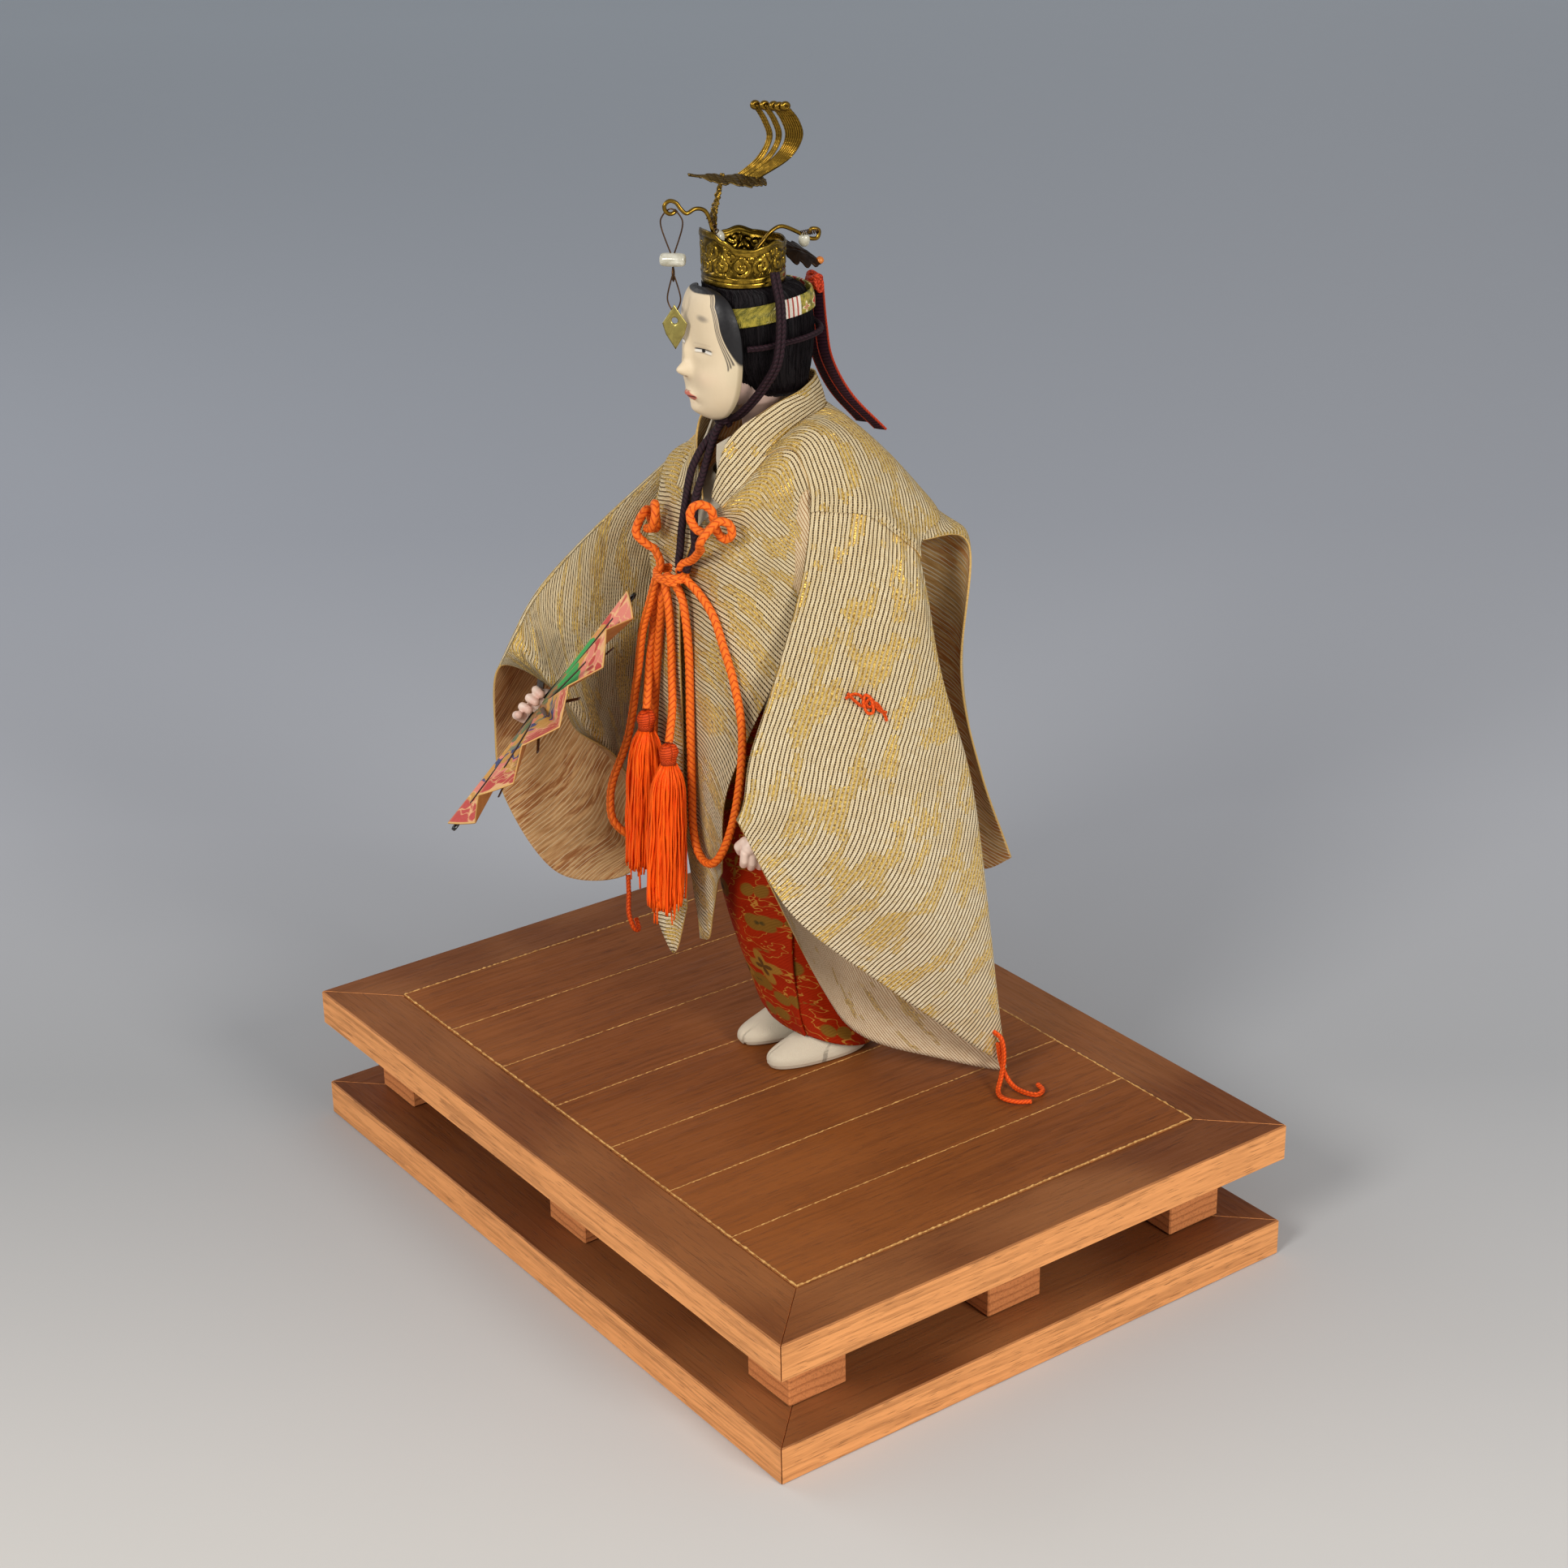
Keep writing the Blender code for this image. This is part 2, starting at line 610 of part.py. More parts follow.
ROBE_LEFT_SHARES = [
    [(-0.012, -0.345, 0.440), (0.052, -0.345, 0.470), (0.090, -0.345, 0.580), (0.120, -0.345, 0.680),
     (0.145, -0.340, 0.727)],
    [(-0.030, -0.352, 0.980), (0.045, -0.366, 0.980), (0.100, -0.368, 0.982), (0.145, -0.360, 0.984),
     (0.182, -0.340, 0.985)],
    [(-0.030, -0.356, 1.210), (0.050, -0.372, 1.210), (0.130, -0.365, 1.208), (0.190, -0.335, 1.205),
     (0.238, -0.282, 1.203)],
    [(-0.030, -0.358, 1.430), (0.065, -0.376, 1.430), (0.160, -0.355, 1.425), (0.235, -0.298, 1.415),
     (0.292, -0.216, 1.400)],
    [(-0.025, -0.350, 1.650), (0.080, -0.350, 1.660), (0.180, -0.315, 1.665), (0.250, -0.235, 1.665),
     (0.295, -0.138, 1.655)],
    [(0.030, -0.334, 1.785), (0.110, -0.322, 1.790), (0.185, -0.282, 1.792), (0.238, -0.215, 1.795),
     (0.270, -0.120, 1.785)],
    [(0.155, -0.308, 1.900), (0.190, -0.278, 1.912), (0.215, -0.230, 1.920), (0.235, -0.165, 1.925),
     (0.250, -0.092, 1.900)],
    [(0.155, -0.125, 2.050), (0.165, -0.070, 2.068), (0.188, -0.040, 2.050), (0.222, -0.045, 1.985),
     (0.250, -0.055, 1.908)],
    [(0.105, 0.045, 2.105), (0.150, 0.060, 2.080), (0.212, 0.066, 2.035), (0.280, 0.055, 1.970),
     (0.330, 0.050, 1.902)],
    [(0.009, 0.115, 2.080), (0.100, 0.148, 2.050), (0.205, 0.190, 1.985), (0.300, 0.195, 1.895),
     (0.380, 0.165, 1.800)],
    [(0.009, 0.180, 1.900), (0.110, 0.255, 1.870), (0.220, 0.320, 1.830), (0.320, 0.330, 1.780),
     (0.388, 0.215, 1.762)],
    [(0.009, 0.230, 1.680), (0.110, 0.310, 1.670), (0.220, 0.385, 1.690), (0.310, 0.418, 1.705),
     (0.350, 0.398, 1.698)],
    [(0.009, 0.245, 1.340), (0.115, 0.325, 1.330), (0.225, 0.380, 1.320), (0.315, 0.400, 1.315),
     (0.380, 0.360, 1.315)],
    [(0.009, 0.260, 1.000), (0.120, 0.340, 0.980), (0.230, 0.410, 0.970), (0.320, 0.440, 0.980),
     (0.392, 0.430, 0.975)],
    [(0.009, 0.290, 0.640), (0.130, 0.370, 0.615), (0.250, 0.440, 0.600), (0.340, 0.490, 0.625),
     (0.420, 0.520, 0.685)],
]
ROBE_RIGHT_FRONT_SHARES = [
    [(-0.004, -0.388, 0.560), (-0.055, -0.412, 0.390), (-0.090, -0.430, 0.440), (-0.130, -0.443, 0.505),
     (-0.160, -0.440, 0.580)],
    [(0.015, -0.395, 0.980), (-0.070, -0.408, 0.980), (-0.120, -0.413, 0.982), (-0.170, -0.403, 0.986),
     (-0.210, -0.370, 0.995)],
    [(0.020, -0.396, 1.210), (-0.080, -0.400, 1.210), (-0.140, -0.400, 1.210), (-0.200, -0.375, 1.210),
     (-0.250, -0.330, 1.210)],
    [(0.022, -0.396, 1.430), (-0.090, -0.400, 1.430), (-0.170, -0.388, 1.432), (-0.240, -0.350, 1.436),
     (-0.295, -0.300, 1.440)],
    [(0.024, -0.388, 1.650), (-0.095, -0.385, 1.665), (-0.170, -0.378, 1.680), (-0.230, -0.362, 1.700),
     (-0.278, -0.335, 1.715)],
    [(0.050, -0.356, 1.785), (-0.030, -0.362, 1.795), (-0.100, -0.366, 1.808), (-0.170, -0.354, 1.822),
     (-0.236, -0.326, 1.835)],
    [(-0.058, -0.322, 1.893), (-0.095, -0.324, 1.915), (-0.135, -0.318, 1.928), (-0.180, -0.305, 1.938),
     (-0.222, -0.287, 1.940)],
    [(-0.132, -0.158, 2.050), (-0.155, -0.155, 2.045), (-0.182, -0.158, 2.028), (-0.212, -0.165, 2.000),
     (-0.240, -0.172, 1.968)],
    [(-0.105, 0.045, 2.105), (-0.150, 0.052, 2.080), (-0.205, 0.045, 2.040), (-0.262, 0.024, 1.985),
     (-0.312, 0.0, 1.922)],
]
COLLAR_SHARES = [
    [(0.150, -0.316, 1.892), (0.126, -0.318, 1.897), (0.098, -0.316, 1.903)],
    [(0.158, -0.228, 1.998), (0.130, -0.245, 2.028), (0.100, -0.258, 2.065)],
    [(0.148, -0.120, 2.072), (0.146, -0.130, 2.110), (0.136, -0.145, 2.150)],
    [(0.102, 0.036, 2.128), (0.118, 0.010, 2.160), (0.122, -0.025, 2.188)],
    [(0.0, 0.108, 2.110), (0.0, 0.096, 2.155), (0.0, 0.076, 2.200)],
    [(-0.102, 0.036, 2.128), (-0.118, 0.010, 2.160), (-0.122, -0.025, 2.188)],
    [(-0.142, -0.150, 2.066), (-0.144, -0.152, 2.104), (-0.138, -0.156, 2.142)],
    [(-0.095, -0.285, 1.982), (-0.082, -0.280, 2.020), (-0.068, -0.272, 2.060)],
    [(-0.045, -0.340, 1.893), (0.010, -0.336, 1.890), (0.066, -0.328, 1.887)],
]
INNER_COLLAR_SHARES = [
    [(0.080, -0.285, 1.960), (0.064, -0.280, 2.000), (0.050, -0.270, 2.040)],
    [(0.126, -0.150, 2.040), (0.124, -0.155, 2.080), (0.118, -0.160, 2.118)],
    [(0.098, -0.010, 2.070), (0.103, -0.020, 2.110), (0.106, -0.030, 2.150)],
    [(0.0, 0.080, 2.075), (0.0, 0.072, 2.115), (0.0, 0.062, 2.155)],
    [(-0.098, -0.010, 2.070), (-0.103, -0.020, 2.110), (-0.106, -0.030, 2.150)],
    [(-0.122, -0.150, 2.040), (-0.120, -0.155, 2.080), (-0.115, -0.160, 2.118)],
    [(-0.045, -0.285, 1.960), (-0.036, -0.280, 2.000), (-0.028, -0.270, 2.040)],
]
SLEEVE_LEFT_SHARES = [
    [(0.262, -0.075, 1.890), (0.305, -0.005, 1.888), (0.348, 0.060, 1.880), (0.388, 0.130, 1.815),
     (0.398, 0.190, 1.745),
     (0.360, 0.150, 1.700), (0.300, 0.070, 1.730), (0.275, -0.010, 1.770), (0.262, -0.070, 1.830)],
    [(0.324, -0.145, 1.680), (0.368, -0.060, 1.690), (0.420, 0.020, 1.680), (0.460, 0.120, 1.630),
     (0.465, 0.205, 1.530),
     (0.400, 0.180, 1.490), (0.340, 0.080, 1.520), (0.312, -0.010, 1.560), (0.310, -0.090, 1.620)],
    [(0.350, -0.255, 1.400), (0.420, -0.150, 1.400), (0.490, -0.030, 1.370), (0.525, 0.110, 1.310),
     (0.500, 0.245, 1.280),
     (0.430, 0.200, 1.240), (0.365, 0.080, 1.280), (0.325, -0.050, 1.320), (0.318, -0.170, 1.365)],
    [(0.370, -0.345, 1.200), (0.450, -0.200, 1.180), (0.530, -0.050, 1.130), (0.570, 0.120, 1.060),
     (0.530, 0.300, 0.990),
     (0.450, 0.220, 0.960), (0.375, 0.080, 1.010), (0.325, -0.080, 1.060), (0.325, -0.240, 1.140)],
    [(0.386, -0.380, 1.065), (0.450, -0.270, 0.950), (0.540, -0.080, 0.840), (0.600, 0.120, 0.720),
     (0.560, 0.360, 0.550),
     (0.460, 0.260, 0.480), (0.370, 0.060, 0.600), (0.310, -0.080, 0.720), (0.318, -0.275, 0.925)],
    [(0.392, -0.408, 1.010), (0.445, -0.260, 0.690), (0.525, 0.030, 0.400), (0.560, 0.260, 0.190),
     (0.545, 0.430, 0.028),
     (0.450, 0.250, 0.070), (0.330, 0.040, 0.150), (0.290, -0.080, 0.330), (0.300, -0.285, 0.790)],
]
SLEEVE_RIGHT_SHARES = [
    [(-0.238, -0.275, 1.925), (-0.262, -0.165, 1.955), (-0.335, -0.010, 1.895), (-0.385, 0.090, 1.815),
     (-0.395, 0.165, 1.735),
     (-0.360, 0.080, 1.640), (-0.330, -0.060, 1.600), (-0.305, -0.200, 1.640), (-0.270, -0.310, 1.780)],
    [(-0.360, -0.440, 1.730), (-0.430, -0.360, 1.720), (-0.500, -0.220, 1.650), (-0.530, -0.080, 1.520),
     (-0.500, 0.0, 1.360),
     (-0.440, -0.080, 1.320), (-0.380, -0.220, 1.370), (-0.330, -0.340, 1.470), (-0.325, -0.420, 1.610)],
    [(-0.450, -0.540, 1.590), (-0.510, -0.460, 1.570), (-0.580, -0.320, 1.470), (-0.620, -0.190, 1.300),
     (-0.580, -0.140, 1.080),
     (-0.490, -0.210, 1.060), (-0.390, -0.330, 1.160), (-0.340, -0.430, 1.300), (-0.360, -0.510, 1.460)],
    [(-0.490, -0.630, 1.470), (-0.550, -0.570, 1.440), (-0.630, -0.450, 1.310), (-0.660, -0.340, 1.100),
     (-0.580, -0.280, 0.840),
     (-0.470, -0.320, 0.860), (-0.370, -0.400, 1.020), (-0.330, -0.480, 1.160), (-0.375, -0.575, 1.330)],
    [(-0.490, -0.700, 1.370), (-0.560, -0.660, 1.310), (-0.640, -0.570, 1.130), (-0.650, -0.480, 0.900),
     (-0.520, -0.360, 0.620),
     (-0.420, -0.380, 0.680), (-0.330, -0.430, 0.880), (-0.320, -0.520, 1.060), (-0.370, -0.650, 1.250)],
    [(-0.470, -0.770, 1.280), (-0.560, -0.765, 1.040), (-0.630, -0.715, 0.760), (-0.560, -0.580, 0.500),
     (-0.380, -0.415, 0.530),
     (-0.290, -0.400, 0.760), (-0.280, -0.480, 0.980), (-0.335, -0.590, 1.080), (-0.360, -0.640, 1.210)],
]


def places(table):
    return [[at(share) for share in row] for row in table]


def mirrored(table):
    return [[(-x, y, z) for x, y, z in row] for row in table]


def build_robe():
    """Two body widths that run from front hem over the shoulder to the back hem, a collar, two sleeves."""
    finish = material("gauze", GAUZE, 0.75)
    cloth("robe_left", places(ROBE_LEFT_SHARES), ROBE_LEVELS, ROBE_COLUMNS, finish)
    back = mirrored(ROBE_LEFT_SHARES[len(ROBE_RIGHT_FRONT_SHARES):])
    right = places(ROBE_RIGHT_FRONT_SHARES + back)
    cloth("robe_right", right, ROBE_LEVELS, ROBE_COLUMNS, finish, flip=True)
    cloth("robe_collar", places(COLLAR_SHARES), COLLAR_LEVELS, COLLAR_COLUMNS, finish)
    white = material("white_cloth", WHITE)
    cloth("inner_collar", places(INNER_COLLAR_SHARES), INNER_COLLAR_LEVELS, INNER_COLLAR_COLUMNS, white)
    cloth("sleeve_left", places(SLEEVE_LEFT_SHARES), SLEEVE_LEVELS, SLEEVE_COLUMNS, finish, closed=True)
    cloth("sleeve_right", places(SLEEVE_RIGHT_SHARES), SLEEVE_LEVELS, SLEEVE_COLUMNS, finish, closed=True)


# Head

HEAD_SECTION_SHARES = [
    (0.0, -0.100, 1.905, 0.026, 0.026), (0.0, -0.100, 2.030, 0.026, 0.026),
    (0.0, -0.100, 2.034, 0.050, 0.050),
    (0.0, -0.103, 2.060, 0.050, 0.050), (0.0, -0.110, 2.120, 0.055, 0.055),
    (0.0, -0.122, 2.150, 0.075, 0.088),
    (0.0, -0.122, 2.185, 0.094, 0.118), (0.0, -0.120, 2.225, 0.106, 0.134),
    (0.0, -0.115, 2.280, 0.116, 0.142),
    (0.0, -0.110, 2.340, 0.118, 0.138), (0.0, -0.108, 2.390, 0.114, 0.128),
    (0.0, -0.105, 2.440, 0.102, 0.116),
    (0.0, -0.105, 2.475, 0.080, 0.092), (0.0, -0.105, 2.493, 0.050, 0.060),
]
HAIR_SECTION_SHARES = [
    (0.0, -0.060, 2.162, 0.084, 0.080), (0.0, -0.072, 2.180, 0.104, 0.108),
    (0.0, -0.090, 2.218, 0.119, 0.128),
    (0.0, -0.102, 2.280, 0.133, 0.150), (0.0, -0.105, 2.360, 0.138, 0.158),
    (0.0, -0.108, 2.430, 0.134, 0.152),
    (0.0, -0.118, 2.475, 0.126, 0.136), (0.0, -0.140, 2.494, 0.115, 0.116),
    (0.0, -0.145, 2.497, 0.104, 0.102),
    (0.0, -0.145, 2.516, 0.098, 0.098),
]
HAIR_SQUARE = 2.6
HAIR_CLEAR_SHARE = 0.005
# The box in front of the hairline that the mask takes the place of.
HAIR_FRONT_LOW_SHARE = (-0.200, -0.400, 2.000)
HAIR_FRONT_HIGH_SHARE = (0.200, -0.221, 2.495)
HEADBAND_SHARES = [
    (0.0, -0.106, 2.402, 0.142, 0.162), (0.0, -0.107, 2.430, 0.140, 0.160),
    (0.0, -0.108, 2.456, 0.138, 0.155),
]
HEADBAND_TILT = 0.10
HEADBAND_WALL = 0.0005
TAIL_SHARES = [
    [(-0.012, 0.086, 2.455), (-0.032, 0.090, 2.340), (-0.024, 0.107, 2.230), (0.000, 0.150, 2.125),
     (0.034, 0.222, 2.030)],
    [(0.012, 0.086, 2.455), (0.020, 0.092, 2.340), (0.026, 0.108, 2.235), (0.050, 0.160, 2.125),
     (0.088, 0.252, 2.015)],
]
KNOT_PLACE_SHARE = (0.0, 0.086, 2.465)
KNOT_SIZE_SHARE = (0.036, 0.024, 0.036)
KNOT_ROUNDING = 0.6
MASK_CORD_SHARES = [
    (0.133, -0.208, 2.330), (0.147, -0.160, 2.332), (0.152, -0.090, 2.338), (0.146, -0.015, 2.345),
    (0.108, 0.045, 2.352), (0.0, 0.070, 2.356), (-0.108, 0.045, 2.352), (-0.146, -0.015, 2.345),
    (-0.152, -0.090, 2.338), (-0.147, -0.160, 2.332), (-0.133, -0.208, 2.330),
]
CHIN_CORD_HALF_SHARES = [
    (0.137, -0.118, 2.540), (0.155, -0.120, 2.505), (0.170, -0.118, 2.450), (0.182, -0.125, 2.370),
    (0.180, -0.138, 2.290),
    (0.150, -0.160, 2.225), (0.106, -0.185, 2.163), (0.055, -0.205, 2.115), (0.0, -0.213, 2.098),
]

# The mask's rows: height, half width, how far forward its edge and its middle stand.
MASK_ROW_SHARES = [
    (2.497, 0.030, -0.275, -0.286), (2.488, 0.072, -0.262, -0.298), (2.465, 0.104, -0.248, -0.312),
    (2.425, 0.127, -0.238, -0.322), (2.380, 0.136, -0.230, -0.326), (2.335, 0.138, -0.226, -0.326),
    (2.290, 0.137, -0.225, -0.325), (2.250, 0.132, -0.225, -0.326), (2.215, 0.122, -0.225, -0.326),
    (2.180, 0.106, -0.226, -0.322), (2.148, 0.084, -0.229, -0.312), (2.120, 0.056, -0.234, -0.292),
    (2.105, 0.028, -0.240, -0.268),
]
# Relief on the mask: (across, height), how wide and how tall each swelling is, how far it stands.
MASK_RELIEF_SHARES = [
    ((0.0, 2.262), (0.021, 0.022), 0.040), ((0.0, 2.315), (0.014, 0.035), 0.018), ((0.0, 2.190),
    (0.030, 0.013), 0.016),
    ((0.0, 2.140), (0.030, 0.018), 0.012), ((0.060, 2.325), (0.030, 0.014), -0.011),
    ((-0.060, 2.325), (0.030, 0.014), -0.011), ((0.065, 2.250), (0.034, 0.030), 0.006),
    ((-0.065, 2.250), (0.034, 0.030), 0.006), ((0.0, 2.165), (0.026, 0.007), -0.008),
]


def relief(x, z):
    """How far the mask's features swell at one place, as a share of the arm."""
    total = 0.0
    for (across, height), (wide, tall), stands in MASK_RELIEF_SHARES:
        total += stands * math.exp(-((x - across) / wide) ** 2 - ((z - height) / tall) ** 2)
    return total


def mask_surface():
    rows = []
    for z, half_width, edge, front in MASK_ROW_SHARES:
        row = []
        for i in range(MASK_COLUMNS):
            turn = math.pi * (i / (MASK_COLUMNS - 1) - 0.5)
            x = -math.sin(turn) * half_width
            y = edge + (front - edge) * math.cos(turn) ** MASK_FULLNESS - relief(x, z) * math.cos(turn)
            row.append(at((x, y, z)))
        rows.append(row)
    return rows


def build_mask():
    points, faces = surface(mask_surface(), MASK_LEVELS, MASK_COLUMNS)
    mask = add("mask", mesh_of("mask", points, faces), material("mask", WHITE, 0.35), NECK_TURN)
    wall = mask.modifiers.new("thickness", "SOLIDIFY")
    wall.thickness = MASK_WALL
    wall.offset = -1.0
    wall.use_even_offset = True


def sections_of(table, grow=0.0):
    """A table of level sections as lengths, each one grown by a share all round and raised by it."""
    out = []
    for x, y, z, half_width, half_depth in table:
        row = (x, y, z + grow, half_width + grow, half_depth + grow)
        out.append(tuple(ARM * value for value in row))
    return out


def build_head():
    sections = sections_of(HEAD_SECTION_SHARES)
    data = stack_mesh("head", sections, len(sections), HEAD_COLUMNS)
    add("head", data, material("skin", SKIN, 0.5), NECK_TURN)
    outer = sections_of(HAIR_SECTION_SHARES)
    data = stack_mesh("hair", outer, len(outer), HAIR_COLUMNS, HAIR_SQUARE)
    hair = add("hair", data, material("hair", HAIR, 0.45), NECK_TURN)
    inner = sections_of(HEAD_SECTION_SHARES, HAIR_CLEAR_SHARE)
    hollow = stack_mesh("hair_hollow", inner, len(inner), HEAD_COLUMNS)
    cut(hair, cutter("hair_hollow", hollow, NECK_TURN))
    low = at(HAIR_FRONT_LOW_SHARE)
    high = at(HAIR_FRONT_HIGH_SHARE)
    cut(hair, cutter("hair_front", box_mesh("hair_front", low, high), NECK_TURN))


def build_headband():
    """The brocade band round the hair, and its two ribbon tails from a knot behind."""
    rows = []
    for x, y, z, half_width, half_depth in sections_of(HEADBAND_SHARES):
        row = ring(Vector((x, y, z)), half_width, half_depth, HAIR_SQUARE, BAND_COLUMNS)
        for place in row:
            place.z += HEADBAND_TILT * (place.y - y)
        rows.append(row)
    finish = material("brocade", BROCADE, 0.5)
    cloth("headband", rows, len(rows), BAND_COLUMNS, finish, HEADBAND_WALL, closed=True, parent=NECK_TURN)
    silk = material("orange_silk", ORANGE, 0.5)
    tails = None
    for number, table in enumerate(TAIL_SHARES):
        middle = even([at(share) for share in table], TAIL_LEVELS)
        half = Vector((RIBBON_WIDTH / 2, 0.0, 0.0))
        rows = [[place - half, place + half] for place in middle]
        points, faces = surface(rows, len(rows), 2)
        data = mesh_of(f"tail_{number}", points, faces)
        if tails is None:
            tails = add("headband_tails", data, silk, NECK_TURN)
            target = tails
        else:
            target = cutter("second_tail", data, NECK_TURN)
        wall = target.modifiers.new("thickness", "SOLIDIFY")
        wall.thickness = RIBBON_THICKNESS
        wall.offset = 0.0
    cut(tails, target, "UNION")
    size = at(KNOT_SIZE_SHARE)
    place = at(KNOT_PLACE_SHARE)
    knot = cutter("tail_knot", box_mesh("tail_knot", place - size, place + size), NECK_TURN)
    bevelled(knot, size.y * KNOT_ROUNDING)
    cut(tails, knot, "UNION")


def build_head_cords():
    purple = material("purple_cord", PURPLE, 0.7)
    ties = even([at(share) for share in MASK_CORD_SHARES], MASK_CORD_POINTS)
    tube("mask_cord", ties, MASK_CORD_RADIUS, purple, NECK_TURN, 1)
    half = [at(share) for share in CHIN_CORD_HALF_SHARES]
    other = [Vector((-place.x, place.y, place.z)) for place in reversed(half[:-1])]
    tube("chin_cord", even(half + other, CHIN_CORD_POINTS), CHIN_CORD_RADIUS, purple, NECK_TURN)


# Crown

CROWN_PLACE_SHARE = (0.0, -0.145, 2.500)
# From the front round to the back: how far round as a share of half a turn, how tall.
CROWN_EDGE_SHARES = [
    (0.0, 1.0), (0.10, 0.99), (0.20, 0.86), (0.30, 0.72), (0.42, 0.69), (0.52, 0.74), (0.62, 0.80), (0.74, 0.72),
    (0.88, 0.70), (1.0, 0.72),
]
# Up the crown's side: height, and how far the side stands out from its plain radius.
CROWN_SIDE_SHARES = [
    (0.0, 0.030), (0.07, 0.045), (0.10, 0.012), (0.13, 0.035), (0.20, 0.038), (0.24, 0.0), (0.62, 0.0), (1.0, 0.05),
]
CROWN_COLUMNS = 30
LEAF_SHARES = [
    [(-0.055, -0.014, 2.562), (0.0, -0.016, 2.572), (0.055, -0.014, 2.562)],
    [(-0.070, 0.020, 2.550), (0.0, 0.028, 2.560), (0.070, 0.020, 2.550)],
    [(-0.052, 0.060, 2.532), (0.0, 0.070, 2.540), (0.052, 0.060, 2.532)],
    [(-0.015, 0.100, 2.512), (0.0, 0.104, 2.516), (0.015, 0.100, 2.512)],
]
CROWN_WIRE_SHARES = [
    (0.0, -0.352, 2.720), (0.0, -0.361, 2.713), (0.0, -0.374, 2.712), (0.0, -0.386, 2.722),
    (0.0, -0.388, 2.738),
    (0.003, -0.374, 2.749), (0.010, -0.357, 2.743), (0.016, -0.346, 2.726), (0.020, -0.330, 2.712),
    (0.022, -0.304, 2.722), (0.022, -0.278, 2.716), (0.022, -0.262, 2.694), (0.022, -0.244, 2.640),
    (0.022, -0.200, 2.580), (0.012, -0.140, 2.560), (0.0, -0.090, 2.590), (0.0, -0.055, 2.622),
    (0.0, -0.019, 2.634), (0.0, 0.031, 2.612), (0.004, 0.062, 2.592), (0.014, 0.088, 2.590),
    (0.014, 0.094, 2.612),
    (0.012, 0.072, 2.618), (0.010, 0.064, 2.604),
]
BIRD_ROW_SHARES = [
    (0.002, -0.311), (0.012, -0.288), (0.032, -0.264), (0.041, -0.244), (0.054, -0.222), (0.049, -0.206),
    (0.064, -0.186),
    (0.056, -0.168), (0.067, -0.148), (0.057, -0.132), (0.064, -0.114), (0.048, -0.100), (0.046, -0.088),
    (0.020, -0.078),
]
BIRD_HEIGHT_SHARE = 2.815
BIRD_SLOPE = -0.13
WING_DROP = 0.3
BIRD_THICKNESS = 0.0005
PLUME_LEFT_SHARES = [
    (-0.020, -0.155, 2.789), (-0.025, -0.084, 2.831), (-0.030, -0.046, 2.883), (-0.035, -0.058, 2.933),
    (-0.040, -0.083, 2.978),
]
PLUME_RIGHT_SHARES = [
    (0.022, -0.105, 2.782), (0.035, -0.009, 2.831), (0.050, 0.026, 2.889), (0.050, 0.016, 2.938),
    (0.050, -0.017, 2.980),
]
PLUME_SPANS = [(0.0, 0.15), (0.20, 0.37), (0.43, 1.0)]
PLUME_ROWS = 9
POST_SHARES = [
    (0.0, -0.205, 2.570, 0.006, 0.004), (0.0, -0.232, 2.640, 0.010, 0.004),
    (0.0, -0.234, 2.700, 0.017, 0.005),
    (0.0, -0.222, 2.740, 0.012, 0.005), (0.0, -0.204, 2.806, 0.0083, 0.0043),
]
BEAD_HANG_SHARE = 0.130
BEAD_LOOP_SHARES = [
    (0.0, 0.0, 0.0138), (0.014, 0.0, -0.010), (0.022, 0.0, -0.050), (0.006, 0.0, -0.110),
    (0.0, 0.0, -0.118),
    (-0.006, 0.0, -0.110), (-0.022, 0.0, -0.050), (-0.014, 0.0, -0.010),
]
BEAD_EYE_SHARES = [
    (0.0, 0.0, 0.008), (0.0, 0.010, -0.004), (0.0, 0.010, -0.020), (0.0, 0.0, -0.032),
    (0.0, -0.010, -0.020),
    (0.0, -0.010, -0.004),
]
PLATE_PIVOT_SHARE = (0.0, 0.0, -0.024)
PLATE_HANG_SHARE = 0.075
# Down the plate's right edge: across as a share of its half width, down as a share of its height.
PLATE_OUTLINE_SHARES = [(0.0, 0.0), (0.45, 0.20), (1.0, 0.42), (0.75, 0.66), (0.0, 1.0)]
PLATE_LOOP_SHARES = [
    (0.0, 0.0, 0.010), (0.011, 0.0, -0.006), (0.016, 0.0, -0.040), (0.006, 0.0, -0.084), (0.0, 0.0, -0.092),
    (-0.006, 0.0, -0.084), (-0.016, 0.0, -0.040), (-0.011, 0.0, -0.006),
]


def crown_height(turn):
    """The scalloped top edge: its height at a place round the crown, the same on both sides."""
    part = abs(turn) / math.pi
    for (a, low), (b, high) in zip(CROWN_EDGE_SHARES, CROWN_EDGE_SHARES[1:]):
        if part <= b:
            t = (part - a) / (b - a)
            t = t * t * (3 - 2 * t)
            return ARM * CROWN_HEIGHT_SHARE * (low + (high - low) * t)
    return ARM * CROWN_HEIGHT_SHARE * CROWN_EDGE_SHARES[-1][1]


def build_crown_band():
    centre = at(CROWN_PLACE_SHARE)
    rows = []
    for height, stands in CROWN_SIDE_SHARES:
        row = []
        for i in range(CROWN_COLUMNS):
            turn = 2 * math.pi * i / CROWN_COLUMNS - math.pi
            radius = ARM * CROWN_RADIUS_SHARE * (1 + stands)
            rise = crown_height(turn) * height
            row.append(centre + Vector((math.sin(turn) * radius, -math.cos(turn) * radius, rise)))
        rows.append(row)
    gold = material("gold", GOLD, 0.3, 1.0)
    band = cloth("crown_band", rows, len(rows), CROWN_COLUMNS, gold, CROWN_WALL, True, NECK_TURN)
    band.modifiers["thickness"].offset = 1.0


